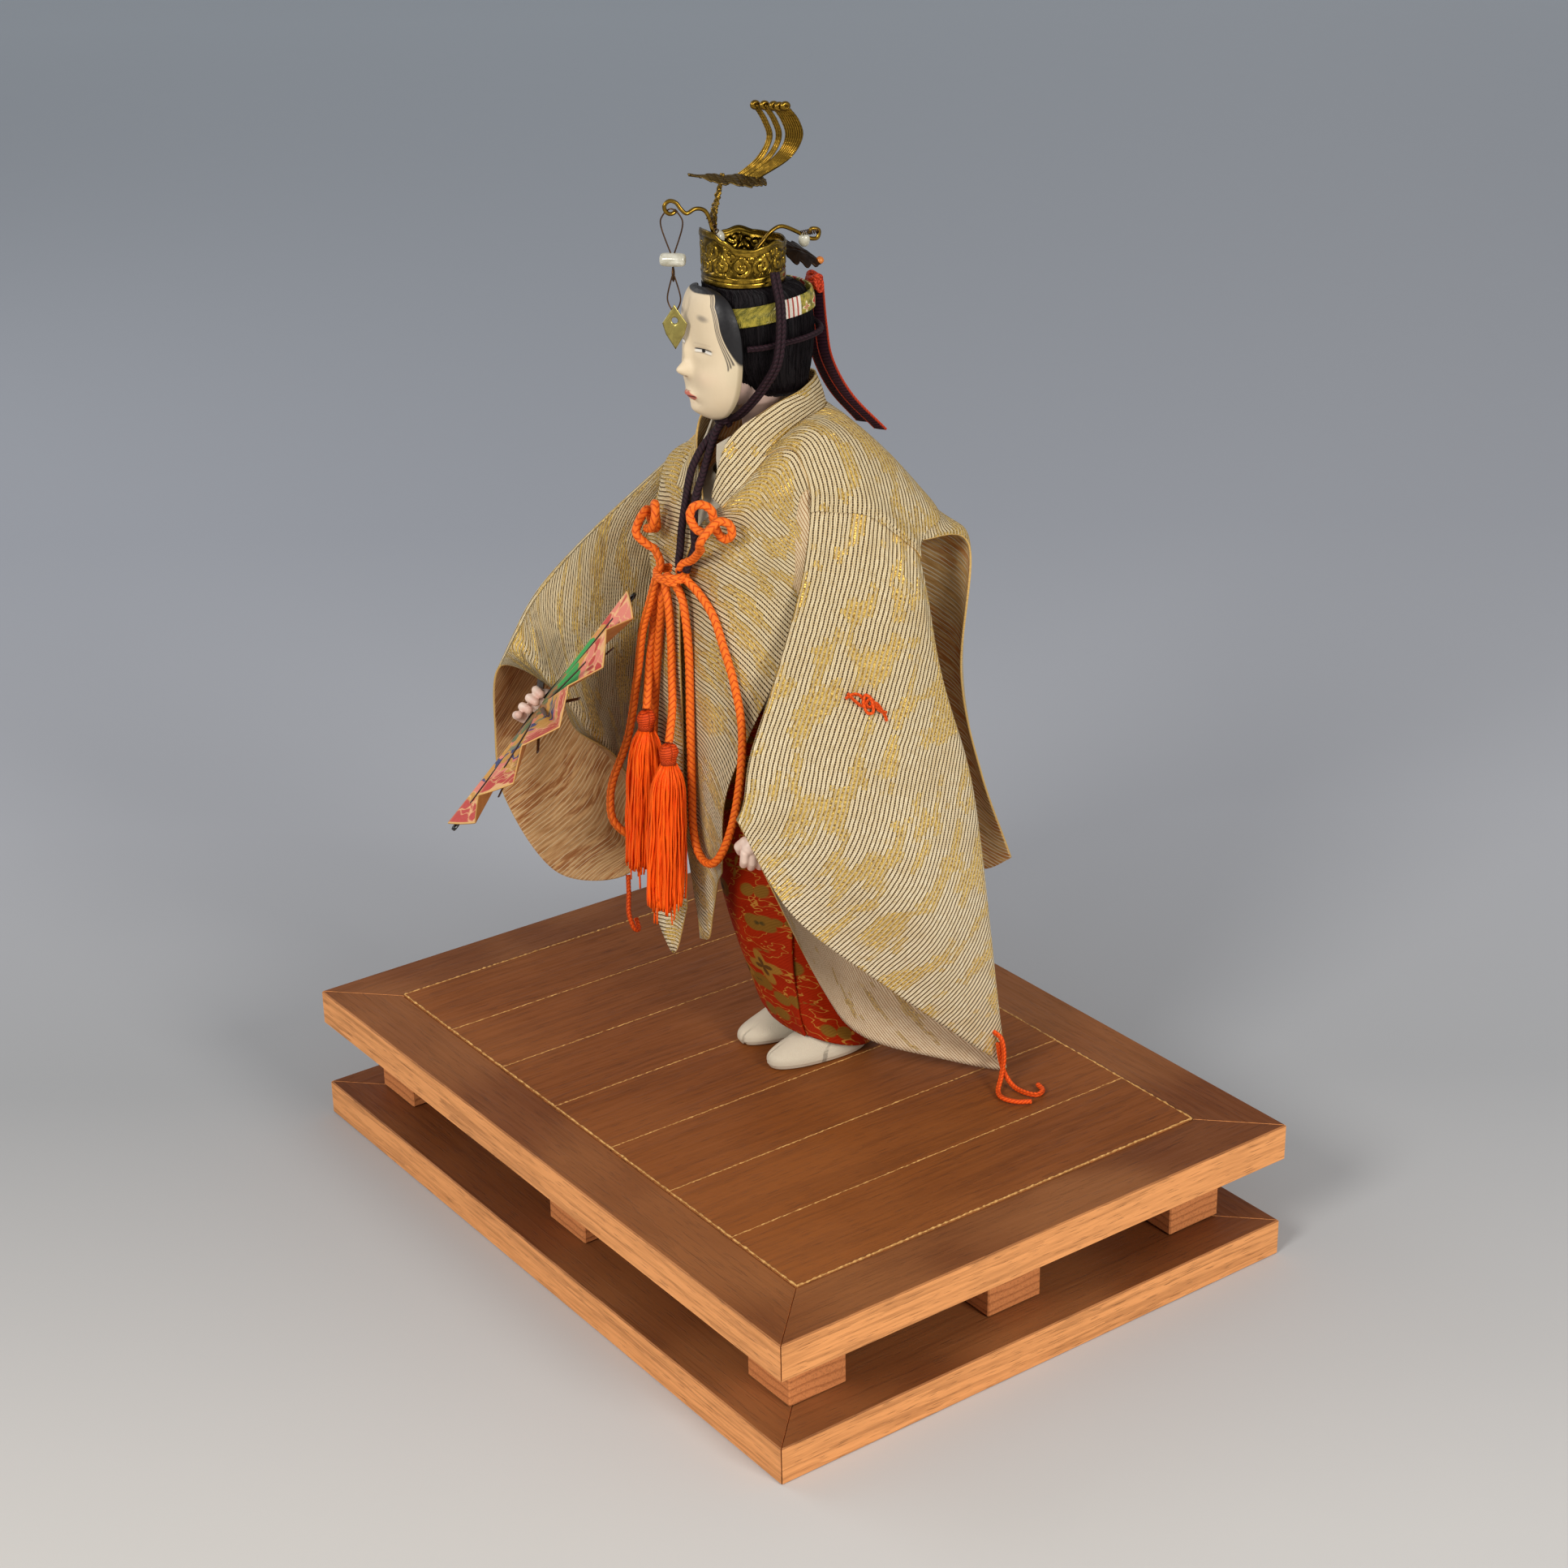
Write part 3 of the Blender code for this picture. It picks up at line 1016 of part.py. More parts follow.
def build_crown_leaf():
    bronze = material("dark_bronze", DARK_BRONZE, 0.4, 1.0)
    rows = places(LEAF_SHARES)
    cloth("crown_leaf", rows, LEAF_LEVELS, LEAF_COLUMNS, bronze, CROWN_WALL, parent=NECK_TURN)


def build_crown_wire():
    route = even([at(share) for share in CROWN_WIRE_SHARES], CROWN_WIRE_POINTS)
    tube("crown_wire", route, CROWN_WIRE_RADIUS, material("gold", GOLD, 0.3, 1.0), NECK_TURN, 1)


def build_phoenix():
    """The bird: a cut plate with scalloped wings, three ribbed tail plumes, and its post."""
    gold = material("gold", GOLD, 0.3, 1.0)
    rows = []
    for half_width, y in BIRD_ROW_SHARES:
        z = BIRD_HEIGHT_SHARE + BIRD_SLOPE * (y - BIRD_ROW_SHARES[0][1])
        drop = half_width * WING_DROP
        rows.append([at((-half_width, y, z - drop)), at((0.0, y, z)), at((half_width, y, z - drop))])
    bird = cloth("phoenix", rows, len(rows), 3, gold, BIRD_THICKNESS, parent=NECK_TURN)
    left_route = even([at(share) for share in PLUME_LEFT_SHARES], PLUME_ROWS)
    right_route = even([at(share) for share in PLUME_RIGHT_SHARES], PLUME_ROWS)
    for number, (start, end) in enumerate(PLUME_SPANS):
        rows = []
        for a, b in zip(left_route, right_route):
            rows.append([a.lerp(b, start + (end - start) * j / 2) for j in range(3)])
        points, faces = surface(rows, PLUME_ROWS, 3)
        plume = cutter(f"plume_{number}", mesh_of(f"plume_{number}", points, faces), NECK_TURN)
        wall = plume.modifiers.new("thickness", "SOLIDIFY")
        wall.thickness = BIRD_THICKNESS
        wall.offset = 0.0
        cut(bird, plume, "UNION")
    post = stack_mesh("bird_post", sections_of(POST_SHARES), POST_LEVELS, POST_COLUMNS)
    cut(bird, cutter("bird_post", post, NECK_TURN), "UNION")


def wire_loop(points, radius, name):
    """A closed loop of fine wire as a mesh."""
    data = tube_curve(name, curve_through(points, LOOP_POINTS, closed=True), radius, 1)
    data.splines[0].use_cyclic_u = True
    return curve_mesh(name, data)


def build_pendants():
    """A bead on its wire loop from the crown wire's front end, and a pointed plate below it."""
    hang = at(BEAD_PIVOT_SHARE)
    bead = bpy.data.meshes.new("pendant_bead")
    work = bmesh.new()
    bmesh.ops.create_uvsphere(work, u_segments=BEAD_COLUMNS, v_segments=BEAD_LEVELS, radius=BEAD_RADIUS)
    work.to_mesh(bead)
    work.free()
    bead.shade_smooth()
    bead.transform(Matrix.Translation(hang - Vector((0.0, 0.0, BEAD_HANG_SHARE * ARM))))
    item = add("pendant_bead", bead, material("milky_stone", MILKY_STONE, 0.3), NECK_TURN, hang)
    top = wire_loop([hang + at(share) for share in BEAD_LOOP_SHARES], FINE_WIRE_RADIUS, "bead_wire")
    cut(item, cutter("bead_wire", top, item), "UNION")
    low = hang - Vector((0.0, 0.0, BEAD_HANG_SHARE * ARM + BEAD_RADIUS))
    eye = wire_loop([low + at(share) for share in BEAD_EYE_SHARES], FINE_WIRE_RADIUS, "bead_eye")
    cut(item, cutter("bead_eye", eye, item), "UNION")
    build_pendant_plate(item, low + at(PLATE_PIVOT_SHARE))


def build_pendant_plate(bead, hang):
    """The pointed plate and the wire loop it hangs by."""
    top = hang.z - PLATE_HANG_SHARE * ARM
    outline = [(x * PLATE_WIDTH / 2, top - z * PLATE_HEIGHT) for x, z in PLATE_OUTLINE_SHARES]
    outline += [(-x, z) for x, z in reversed(outline[1:-1])]
    points = []
    for side in (-1, 1):
        for x, z in outline:
            points.append(Vector((x, hang.y + side * PLATE_THICKNESS / 2, z)))
    count = len(outline)
    faces = [tuple(range(count)), tuple(reversed(range(count, 2 * count)))]
    for i in range(count):
        k = (i + 1) % count
        faces.append((i, count + i, count + k, k))
    plate_data = mesh_of("pendant_plate", points, faces, False)
    outward(plate_data)
    plate = add("pendant_plate", plate_data, material("gold", GOLD, 0.3, 1.0), bead, hang)
    loop = wire_loop([hang + at(share) for share in PLATE_LOOP_SHARES], FINE_WIRE_RADIUS, "plate_wire")
    cut(plate, cutter("plate_wire", loop, plate), "UNION")


# Fan and hands

FAN_PIVOT_SHARE = (-0.350, -0.699, 1.176)
FAN_MIDDLE = Vector((0.910, -0.306, 0.278)).normalized()
FAN_ACROSS = Vector((0.0, 0.707, 0.707)).normalized()
FAN_FACE = FAN_MIDDLE.cross(FAN_ACROSS)
FAN_START_SHARE = 0.05
HAND = 0.0100
RIGHT_HAND_SHARES = [
    [(-0.62, -0.30, -0.10, 0.34), (-0.62, 0.25, -0.10, 0.34), (-0.80, 0.0, -0.10, 0.36)],
    [(-0.50, -0.62, 0.10, 0.15), (-0.22, -0.66, 0.36, 0.14), (0.10, -0.60, 0.34, 0.125)],
    [(-0.46, -0.32, 0.14, 0.155), (-0.15, -0.34, 0.38, 0.145), (0.20, -0.30, 0.205, 0.13)],
    [(-0.46, 0.0, 0.14, 0.155), (-0.13, 0.0, 0.38, 0.145), (0.20, 0.02, 0.185, 0.13)],
    [(-0.48, 0.30, 0.12, 0.15), (-0.16, 0.31, 0.37, 0.14), (0.16, 0.30, 0.200, 0.125)],
    [(-0.62, 0.30, -0.26, 0.18), (-0.30, 0.28, -0.38, 0.16), (0.14, 0.16, -0.220, 0.145)],
    [(-0.80, 0.0, -0.10, 0.34), (-0.98, 0.12, -0.05, 0.30)],
]
LEFT_HAND_AXES = (Vector((-0.98, 0.20, 0.0)), Vector((-0.20, -0.98, 0.0)), Vector((0.0, 0.0, 1.0)))
LEFT_HAND_SHARES = [
    [(0.0, -0.24, -0.62, 0.26), (0.0, 0.24, -0.62, 0.26), (0.0, 0.0, -0.40, 0.27)],
    [(0.0, -0.42, -0.80, 0.15), (0.10, -0.44, -1.12, 0.14), (0.30, -0.42, -1.36, 0.125)],
    [(0.0, -0.15, -0.84, 0.155), (0.10, -0.16, -1.20, 0.145), (0.32, -0.15, -1.46, 0.13)],
    [(0.0, 0.13, -0.84, 0.155), (0.10, 0.13, -1.18, 0.145), (0.32, 0.12, -1.44, 0.13)],
    [(0.0, 0.38, -0.78, 0.15), (0.10, 0.38, -1.08, 0.14), (0.28, 0.36, -1.30, 0.125)],
    [(0.10, 0.34, -0.50, 0.17), (0.34, 0.46, -0.74, 0.16), (0.52, 0.36, -0.98, 0.145)],
    [(0.0, 0.0, -0.40, 0.27), (0.0, 0.0, -0.04, 0.26)],
]


def fan_place(turn, radius, stands):
    """A place on the fan: how far round from its middle, how far out, how far off its face."""
    along = FAN_MIDDLE * math.cos(turn) + FAN_ACROSS * math.sin(turn)
    return at(FAN_PIVOT_SHARE) + along * radius + FAN_FACE * stands


def build_fan():
    rows = []
    for step in range(FAN_ROWS):
        radius = FAN_RADIUS * (FAN_START_SHARE + (1 - FAN_START_SHARE) * step / (FAN_ROWS - 1))
        row = []
        for i in range(2 * FAN_PLEATS + 1):
            turn = FAN_OPEN * (i / (2 * FAN_PLEATS) - 0.5)
            stands = FAN_PLEAT_DEPTH * (0.5 - i % 2) * radius / FAN_RADIUS
            row.append(fan_place(turn, radius, stands))
        rows.append(row)
    points, faces = surface(rows, FAN_ROWS, 2 * FAN_PLEATS + 1)
    data = mesh_of("fan_leaf", points, faces, False)
    leaf = add("fan_leaf", data, material("fan_paper", PAPER, 0.6), FIGURE)
    wall = leaf.modifiers.new("thickness", "SOLIDIFY")
    wall.thickness = FAN_PAPER
    wall.offset = 0.0
    black = material("black_lacquer", BLACK_LACQUER, 0.25)
    for name, side in (("fan_guard_front", -1), ("fan_guard_rear", 1)):
        guard = []
        for radius in (FAN_START_SHARE * FAN_RADIUS, FAN_RADIUS):
            for across in (0.0, GUARD_WIDTH):
                for stands in (-FAN_PLEAT_DEPTH / 2, FAN_PLEAT_DEPTH / 2):
                    beside = side * (across + FAN_PAPER / 2 + JOINT_GAP + GUARD_EASE)
                    turn = side * FAN_OPEN / 2
                    guard.append(fan_place(turn, radius, stands) + fan_side(turn) * beside)
        faces = [(0, 1, 3, 2), (4, 6, 7, 5), (0, 4, 5, 1), (2, 3, 7, 6), (0, 2, 6, 4), (1, 5, 7, 3)]
        item = add(name, mesh_of(name, guard, faces, False), black, FIGURE)
        outward(item.data)


def fan_side(turn):
    """The direction round the fan, away from its middle when the turn is positive."""
    return FAN_ACROSS * math.cos(turn) - FAN_MIDDLE * math.sin(turn)


def outward(data):
    """Make a closed mesh's faces look outwards."""
    work = bmesh.new()
    work.from_mesh(data)
    bmesh.ops.recalc_face_normals(work, faces=work.faces)
    work.to_mesh(data)
    work.free()


def build_hand(name, wrist, axes, table, arm_bore):
    """Palm, fingers and thumb from overlapping balls, made one skin."""
    work = bmesh.new()
    for route in table:
        for a, b in zip(route, route[1:]):
            for step in range(HAND_STEP_COUNT + 1):
                t = step / HAND_STEP_COUNT
                mix = [p + (q - p) * t for p, q in zip(a, b)]
                place = wrist + (axes[0] * mix[0] + axes[1] * mix[1] + axes[2] * mix[2]) * HAND
                shift = Matrix.Translation(place)
                bmesh.ops.create_icosphere(work, subdivisions=HAND_BALL_COUNT, radius=mix[3] * HAND, matrix=shift)
    data = bpy.data.meshes.new(name)
    work.to_mesh(data)
    work.free()
    hand = add(name, data, material("skin", SKIN, 0.5), FIGURE)
    skin = hand.modifiers.new("skin", "REMESH")
    skin.mode = "VOXEL"
    skin.voxel_size = HAND_VOXEL
    ease = hand.modifiers.new("ease", "SMOOTH")
    ease.factor = HAND_EASE
    ease.iterations = HAND_EASE_COUNT
    fewer = hand.modifiers.new("fewer", "DECIMATE")
    fewer.ratio = HAND_KEEP
    cut(hand, arm_bore)
    return hand


def build_hands(arm_bore):
    right_axes = (FAN_MIDDLE, FAN_ACROSS, FAN_FACE)
    build_hand("hand_right", at(FAN_PIVOT_SHARE), right_axes, RIGHT_HAND_SHARES, arm_bore)
    build_hand("hand_left", at(LEFT_WRIST_SHARE), LEFT_HAND_AXES, LEFT_HAND_SHARES, arm_bore)


# Cords

# A fastening knot, in its own plane: across, up, and how far out from the cloth.
KNOT = 0.010
KNOT_SHARES = [
    (0.06, -0.30, 0.42), (-0.26, -0.20, 0.38), (-0.46, 0.10, 0.34), (-0.38, 0.38, 0.28),
    (-0.12, 0.48, 0.22),
    (0.14, 0.36, 0.16), (0.20, 0.05, 0.10), (0.28, -0.32, 0.04), (0.54, -0.48, 0.04), (0.78, -0.28, 0.08),
    (0.74, 0.02, 0.16), (0.50, 0.10, 0.34), (0.30, -0.16, 0.60), (0.12, -0.46, 0.72), (-0.08, -0.72, 0.48),
    (-0.20, -0.88, 0.22),
]
LEFT_KNOT_SHARE = (0.158, -0.354, 1.856)
RIGHT_KNOT_SHARE = (-0.070, -0.400, 1.806)
LEFT_KNOT_AXES = (Vector((0.85, 0.52, 0.0)), Vector((-0.08, 0.04, 0.99)), Vector((0.52, -0.85, 0.08)))
RIGHT_KNOT_AXES = (Vector((-0.98, 0.17, 0.0)), Vector((0.0, 0.04, 1.0)), Vector((-0.17, -0.98, 0.04)))
# The left cord: knot, stem, its big loop on the doll's left, back through, down to the front tassel.
BREAST_LEFT_SHARES = [
    (0.098, -0.384, 1.724), (0.062, -0.398, 1.702), (0.047, -0.402, 1.678), (0.068, -0.392, 1.655),
    (0.113, -0.374, 1.622),
    (0.171, -0.359, 1.567), (0.210, -0.346, 1.474), (0.238, -0.332, 1.379), (0.262, -0.322, 1.251),
    (0.268, -0.330, 1.120),
    (0.262, -0.350, 0.980), (0.240, -0.372, 0.870), (0.200, -0.388, 0.800), (0.150, -0.396, 0.778),
    (0.098, -0.398, 0.800),
    (0.068, -0.396, 0.870), (0.060, -0.392, 0.965), (0.068, -0.394, 1.178), (0.078, -0.396, 1.420),
    (0.062, -0.398, 1.560),
    (0.044, -0.404, 1.612), (0.024, -0.416, 1.642), (0.004, -0.422, 1.652), (-0.006, -0.425, 1.628),
    (0.006, -0.422, 1.560),
    (0.010, -0.420, 1.450), (0.012, -0.422, 1.340), (0.032, -0.434, 1.250), (0.066, -0.460, 1.190),
    (0.075, -0.470, 1.160),
]
# The right cord: knot, stem, its big loop on the doll's right, back through, down to the rear tassel.
BREAST_RIGHT_SHARES = [
    (-0.036, -0.424, 1.680), (-0.038, -0.440, 1.630), (-0.060, -0.450, 1.560), (-0.098, -0.462, 1.450),
    (-0.118, -0.476, 1.300),
    (-0.140, -0.503, 1.110), (-0.157, -0.550, 0.975), (-0.157, -0.564, 0.905), (-0.144, -0.564, 0.845),
    (-0.128, -0.532, 0.800),
    (-0.120, -0.492, 0.782), (-0.113, -0.456, 0.800), (-0.107, -0.442, 0.850), (-0.104, -0.438, 0.980),
    (-0.102, -0.434, 1.135),
    (-0.072, -0.424, 1.402), (-0.050, -0.418, 1.540), (-0.054, -0.416, 1.588), (-0.070, -0.416, 1.606),
    (-0.088, -0.416, 1.588),
    (-0.098, -0.416, 1.540), (-0.110, -0.422, 1.440), (-0.098, -0.440, 1.360), (-0.062, -0.468, 1.280),
    (-0.040, -0.485, 1.230),
]
CHEST_SHARES = [
    (0.038, -0.393, 1.744), (0.034, -0.384, 1.800), (0.022, -0.362, 1.880), (0.010, -0.338, 1.955),
    (0.002, -0.300, 2.015),
    (0.008, -0.276, 2.042), (0.024, -0.280, 2.024), (0.040, -0.312, 1.960), (0.058, -0.350, 1.885),
    (0.074, -0.364, 1.810),
    (0.078, -0.366, 1.752),
]
SLEEVE_CORD_LEFT_SHARES = [
    (0.579, 0.380, 0.150), (0.586, 0.384, 0.095), (0.604, 0.392, 0.046), (0.640, 0.402, 0.018),
    (0.690, 0.414, 0.017),
    (0.716, 0.438, 0.017), (0.700, 0.468, 0.017), (0.664, 0.474, 0.017),
]
SLEEVE_CORD_RIGHT_SHARES = [
    (-0.390, -0.409, 0.519), (-0.371, -0.418, 0.466), (-0.350, -0.430, 0.405), (-0.338, -0.420, 0.355),
    (-0.350, -0.398, 0.342),
    (-0.372, -0.396, 0.370),
]
# A tassel, from its top down: height below the cord's end, half width, half depth.
TASSEL_SHARES = [
    (0.007, 0.010, 0.010), (0.012, 0.021, 0.021), (0.030, 0.028, 0.029), (0.052, 0.022, 0.023),
    (0.062, 0.017, 0.018),
    (0.070, 0.024, 0.026), (0.100, 0.040, 0.046), (0.150, 0.050, 0.058), (0.260, 0.053, 0.061),
    (0.400, 0.054, 0.062),
    (0.545, 0.052, 0.060),
]
REAR_TASSEL_PULL = 0.96
TASSEL_LEAN = -0.06


def knot_places(centre, axes):
    """The knot's loops laid out on its own plane."""
    out = []
    for across, up, outwards in KNOT_SHARES:
        out.append(at(centre) + (axes[0] * across + axes[1] * up + axes[2] * outwards) * KNOT)
    return out


def build_tassel(name, top, stretch=1.0):
    sections = []
    for below, half_width, half_depth in TASSEL_SHARES:
        z = top.z - below * ARM * stretch
        y = top.y + TASSEL_LEAN * below * ARM
        sections.append((top.x, y, z, half_width * ARM, half_depth * ARM))
    sections.reverse()
    data = stack_mesh(name, sections, len(sections), TASSEL_COLUMNS)
    add(name, data, material("orange_cord", ORANGE, 0.6), FIGURE)


def build_cords():
    orange = material("orange_cord", ORANGE, 0.6)
    left = knot_places(LEFT_KNOT_SHARE, LEFT_KNOT_AXES) + places([BREAST_LEFT_SHARES])[0]
    right = knot_places(RIGHT_KNOT_SHARE, RIGHT_KNOT_AXES) + places([BREAST_RIGHT_SHARES])[0]
    tube("breast_cord_left", left, BREAST_CORD_RADIUS, orange)
    tube("breast_cord_right", right, BREAST_CORD_RADIUS, orange)
    build_tassel("tassel_front", left[-1])
    build_tassel("tassel_rear", right[-1], REAR_TASSEL_PULL)
    purple = material("purple_cord", PURPLE, 0.7)
    tube("chest_cord", even(places([CHEST_SHARES])[0], CHEST_CORD_POINTS), CHEST_CORD_RADIUS, purple)
    left_end = even(places([SLEEVE_CORD_LEFT_SHARES])[0], SLEEVE_CORD_LEFT_POINTS)
    right_end = even(places([SLEEVE_CORD_RIGHT_SHARES])[0], SLEEVE_CORD_RIGHT_POINTS)
    tube("sleeve_cord_left", left_end, SLEEVE_CORD_RADIUS, orange, resolution=1)
    tube("sleeve_cord_right", right_end, SLEEVE_CORD_RADIUS, orange, resolution=1)


def build():
    build_frames()
    build_spacers()
    boards = build_floor()
    leg_bore, arm_bore = build_limb_wires()
    for board in boards:
        cut(board, leg_bore)
    build_core(leg_bore, arm_bore)
    build_skirt()
    build_feet(leg_bore)
    build_robe()
    build_head()
    build_mask()
    build_headband()
    build_head_cords()
    build_crown_band()
    build_crown_leaf()
    build_crown_wire()
    build_phoenix()
    build_pendants()
    build_fan()
    build_hands(arm_bore)
    build_cords()


build()
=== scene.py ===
"""A dancing doll in a mask and a broad-sleeved robe on a raised wooden stage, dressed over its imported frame."""
import math

import bmesh
import bpy
import numpy as np
from mathutils import Matrix, Vector


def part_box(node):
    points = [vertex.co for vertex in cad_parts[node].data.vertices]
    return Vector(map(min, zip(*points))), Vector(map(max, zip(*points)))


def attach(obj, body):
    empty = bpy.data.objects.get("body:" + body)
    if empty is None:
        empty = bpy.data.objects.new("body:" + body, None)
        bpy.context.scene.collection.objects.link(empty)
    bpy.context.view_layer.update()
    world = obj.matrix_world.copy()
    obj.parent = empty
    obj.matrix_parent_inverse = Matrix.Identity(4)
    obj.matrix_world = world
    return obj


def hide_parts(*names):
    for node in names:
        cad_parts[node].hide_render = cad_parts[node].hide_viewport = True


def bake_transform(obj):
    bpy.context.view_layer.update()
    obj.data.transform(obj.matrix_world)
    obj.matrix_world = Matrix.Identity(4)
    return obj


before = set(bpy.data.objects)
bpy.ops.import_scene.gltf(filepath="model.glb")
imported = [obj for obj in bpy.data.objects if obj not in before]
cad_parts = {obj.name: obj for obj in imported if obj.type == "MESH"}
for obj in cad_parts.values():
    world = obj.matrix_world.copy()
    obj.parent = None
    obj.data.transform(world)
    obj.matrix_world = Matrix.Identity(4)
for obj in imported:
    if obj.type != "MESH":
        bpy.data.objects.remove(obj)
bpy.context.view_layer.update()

# Sizes repeated from the solid model, in metres and in shares of the doll's arm.
ARM = 0.100
STAGE_TOP = 0.046
FIGURE = Matrix.Translation((-0.005, 0.012, STAGE_TOP)) @ Matrix.Rotation(math.radians(-7.8), 4, "Z")
TURN = np.array(FIGURE)[:3, :3]
SHIFT = np.array(FIGURE)[:3, 3]
CLOTH = 0.0006
SKIRT_CLOTH = 0.0008
BREAST_CORD_RADIUS = 0.0013
CHIN_CORD_RADIUS = 0.0014
CHEST_CORD_RADIUS = 0.0012
MASK_CORD_RADIUS = 0.0009
SLEEVE_CORD_RADIUS = 0.0008
WAIST_SHARE = (0.0, -0.090, 1.215, 0.142, 0.122)
CORE_SHARES = [
    (0.0, -0.085, 1.010, 0.100, 0.080), (0.0, -0.090, 1.110, 0.120, 0.100),
    WAIST_SHARE,
    (0.0, -0.110, 1.330, 0.165, 0.150), (0.0, -0.140, 1.550, 0.195, 0.190),
    (0.0, -0.140, 1.780, 0.205, 0.180),
    (0.0, -0.115, 1.920, 0.150, 0.115), (0.0, -0.100, 2.015, 0.075, 0.070),
]
SKIRT_SHARES = [
    (0.044, 0.045, 0.070, 0.186, 0.148), (0.037, 0.020, 0.200, 0.182, 0.158),
    (0.020, -0.020, 0.400, 0.192, 0.175),
    (0.010, -0.060, 0.620, 0.202, 0.186), (0.0, -0.085, 0.900, 0.190, 0.175),
    (0.0, -0.090, 1.100, 0.165, 0.148),
]
FOOT_SHARES = [
    (0.0, -0.005, 0.003, 0.058, 0.168), (0.0, -0.005, 0.020, 0.067, 0.177), (0.0, 0.0, 0.045, 0.066, 0.170),
    (-0.002, 0.032, 0.078, 0.056, 0.133), (-0.004, 0.066, 0.115, 0.044, 0.088),
    (-0.005, 0.074, 0.175, 0.038, 0.066),
]
FOOT_PLACE_SHARES = {"left": (0.137, -0.012, 0.0), "right": (-0.050, -0.018, 0.0)}
ROBE_LEFT_SHARES = [
    [(-0.012, -0.345, 0.440), (0.052, -0.345, 0.470), (0.090, -0.345, 0.580), (0.120, -0.345, 0.680),
     (0.145, -0.340, 0.727)],
    [(-0.030, -0.352, 0.980), (0.045, -0.366, 0.980), (0.100, -0.368, 0.982), (0.145, -0.360, 0.984),
     (0.182, -0.340, 0.985)],
    [(-0.030, -0.356, 1.210), (0.050, -0.372, 1.210), (0.130, -0.365, 1.208), (0.190, -0.335, 1.205),
     (0.238, -0.282, 1.203)],
    [(-0.030, -0.358, 1.430), (0.065, -0.376, 1.430), (0.160, -0.355, 1.425), (0.235, -0.298, 1.415),
     (0.292, -0.216, 1.400)],
    [(-0.025, -0.350, 1.650), (0.080, -0.350, 1.660), (0.180, -0.315, 1.665), (0.250, -0.235, 1.665),
     (0.295, -0.138, 1.655)],
    [(0.030, -0.334, 1.785), (0.110, -0.322, 1.790), (0.185, -0.282, 1.792), (0.238, -0.215, 1.795),
     (0.270, -0.120, 1.785)],
    [(0.155, -0.308, 1.900), (0.190, -0.278, 1.912), (0.215, -0.230, 1.920), (0.235, -0.165, 1.925),
     (0.250, -0.092, 1.900)],
    [(0.155, -0.125, 2.050), (0.165, -0.070, 2.068), (0.188, -0.040, 2.050), (0.222, -0.045, 1.985),
     (0.250, -0.055, 1.908)],
    [(0.105, 0.045, 2.105), (0.150, 0.060, 2.080), (0.212, 0.066, 2.035), (0.280, 0.055, 1.970),
     (0.330, 0.050, 1.902)],
    [(0.009, 0.115, 2.080), (0.100, 0.148, 2.050), (0.205, 0.190, 1.985), (0.300, 0.195, 1.895),
     (0.380, 0.165, 1.800)],
    [(0.009, 0.180, 1.900), (0.110, 0.255, 1.870), (0.220, 0.320, 1.830), (0.320, 0.330, 1.780),
     (0.388, 0.215, 1.762)],
    [(0.009, 0.230, 1.680), (0.110, 0.310, 1.670), (0.220, 0.385, 1.690), (0.310, 0.418, 1.705),
     (0.350, 0.398, 1.698)],
    [(0.009, 0.245, 1.340), (0.115, 0.325, 1.330), (0.225, 0.380, 1.320), (0.315, 0.400, 1.315),
     (0.380, 0.360, 1.315)],
    [(0.009, 0.260, 1.000), (0.120, 0.340, 0.980), (0.230, 0.410, 0.970), (0.320, 0.440, 0.980),
     (0.392, 0.430, 0.975)],
    [(0.009, 0.290, 0.640), (0.130, 0.370, 0.615), (0.250, 0.440, 0.600), (0.340, 0.490, 0.625),
     (0.420, 0.520, 0.685)],
]
ROBE_RIGHT_FRONT_SHARES = [
    [(-0.004, -0.388, 0.560), (-0.055, -0.412, 0.390), (-0.090, -0.430, 0.440), (-0.130, -0.443, 0.505),
     (-0.160, -0.440, 0.580)],
    [(0.015, -0.395, 0.980), (-0.070, -0.408, 0.980), (-0.120, -0.413, 0.982), (-0.170, -0.403, 0.986),
     (-0.210, -0.370, 0.995)],
    [(0.020, -0.396, 1.210), (-0.080, -0.400, 1.210), (-0.140, -0.400, 1.210), (-0.200, -0.375, 1.210),
     (-0.250, -0.330, 1.210)],
    [(0.022, -0.396, 1.430), (-0.090, -0.400, 1.430), (-0.170, -0.388, 1.432), (-0.240, -0.350, 1.436),
     (-0.295, -0.300, 1.440)],
    [(0.024, -0.388, 1.650), (-0.095, -0.385, 1.665), (-0.170, -0.378, 1.680), (-0.230, -0.362, 1.700),
     (-0.278, -0.335, 1.715)],
    [(0.050, -0.356, 1.785), (-0.030, -0.362, 1.795), (-0.100, -0.366, 1.808), (-0.170, -0.354, 1.822),
     (-0.236, -0.326, 1.835)],
    [(-0.058, -0.322, 1.893), (-0.095, -0.324, 1.915), (-0.135, -0.318, 1.928), (-0.180, -0.305, 1.938),
     (-0.222, -0.287, 1.940)],
    [(-0.132, -0.158, 2.050), (-0.155, -0.155, 2.045), (-0.182, -0.158, 2.028), (-0.212, -0.165, 2.000),
     (-0.240, -0.172, 1.968)],
    [(-0.105, 0.045, 2.105), (-0.150, 0.052, 2.080), (-0.205, 0.045, 2.040), (-0.262, 0.024, 1.985),
     (-0.312, 0.0, 1.922)],
]
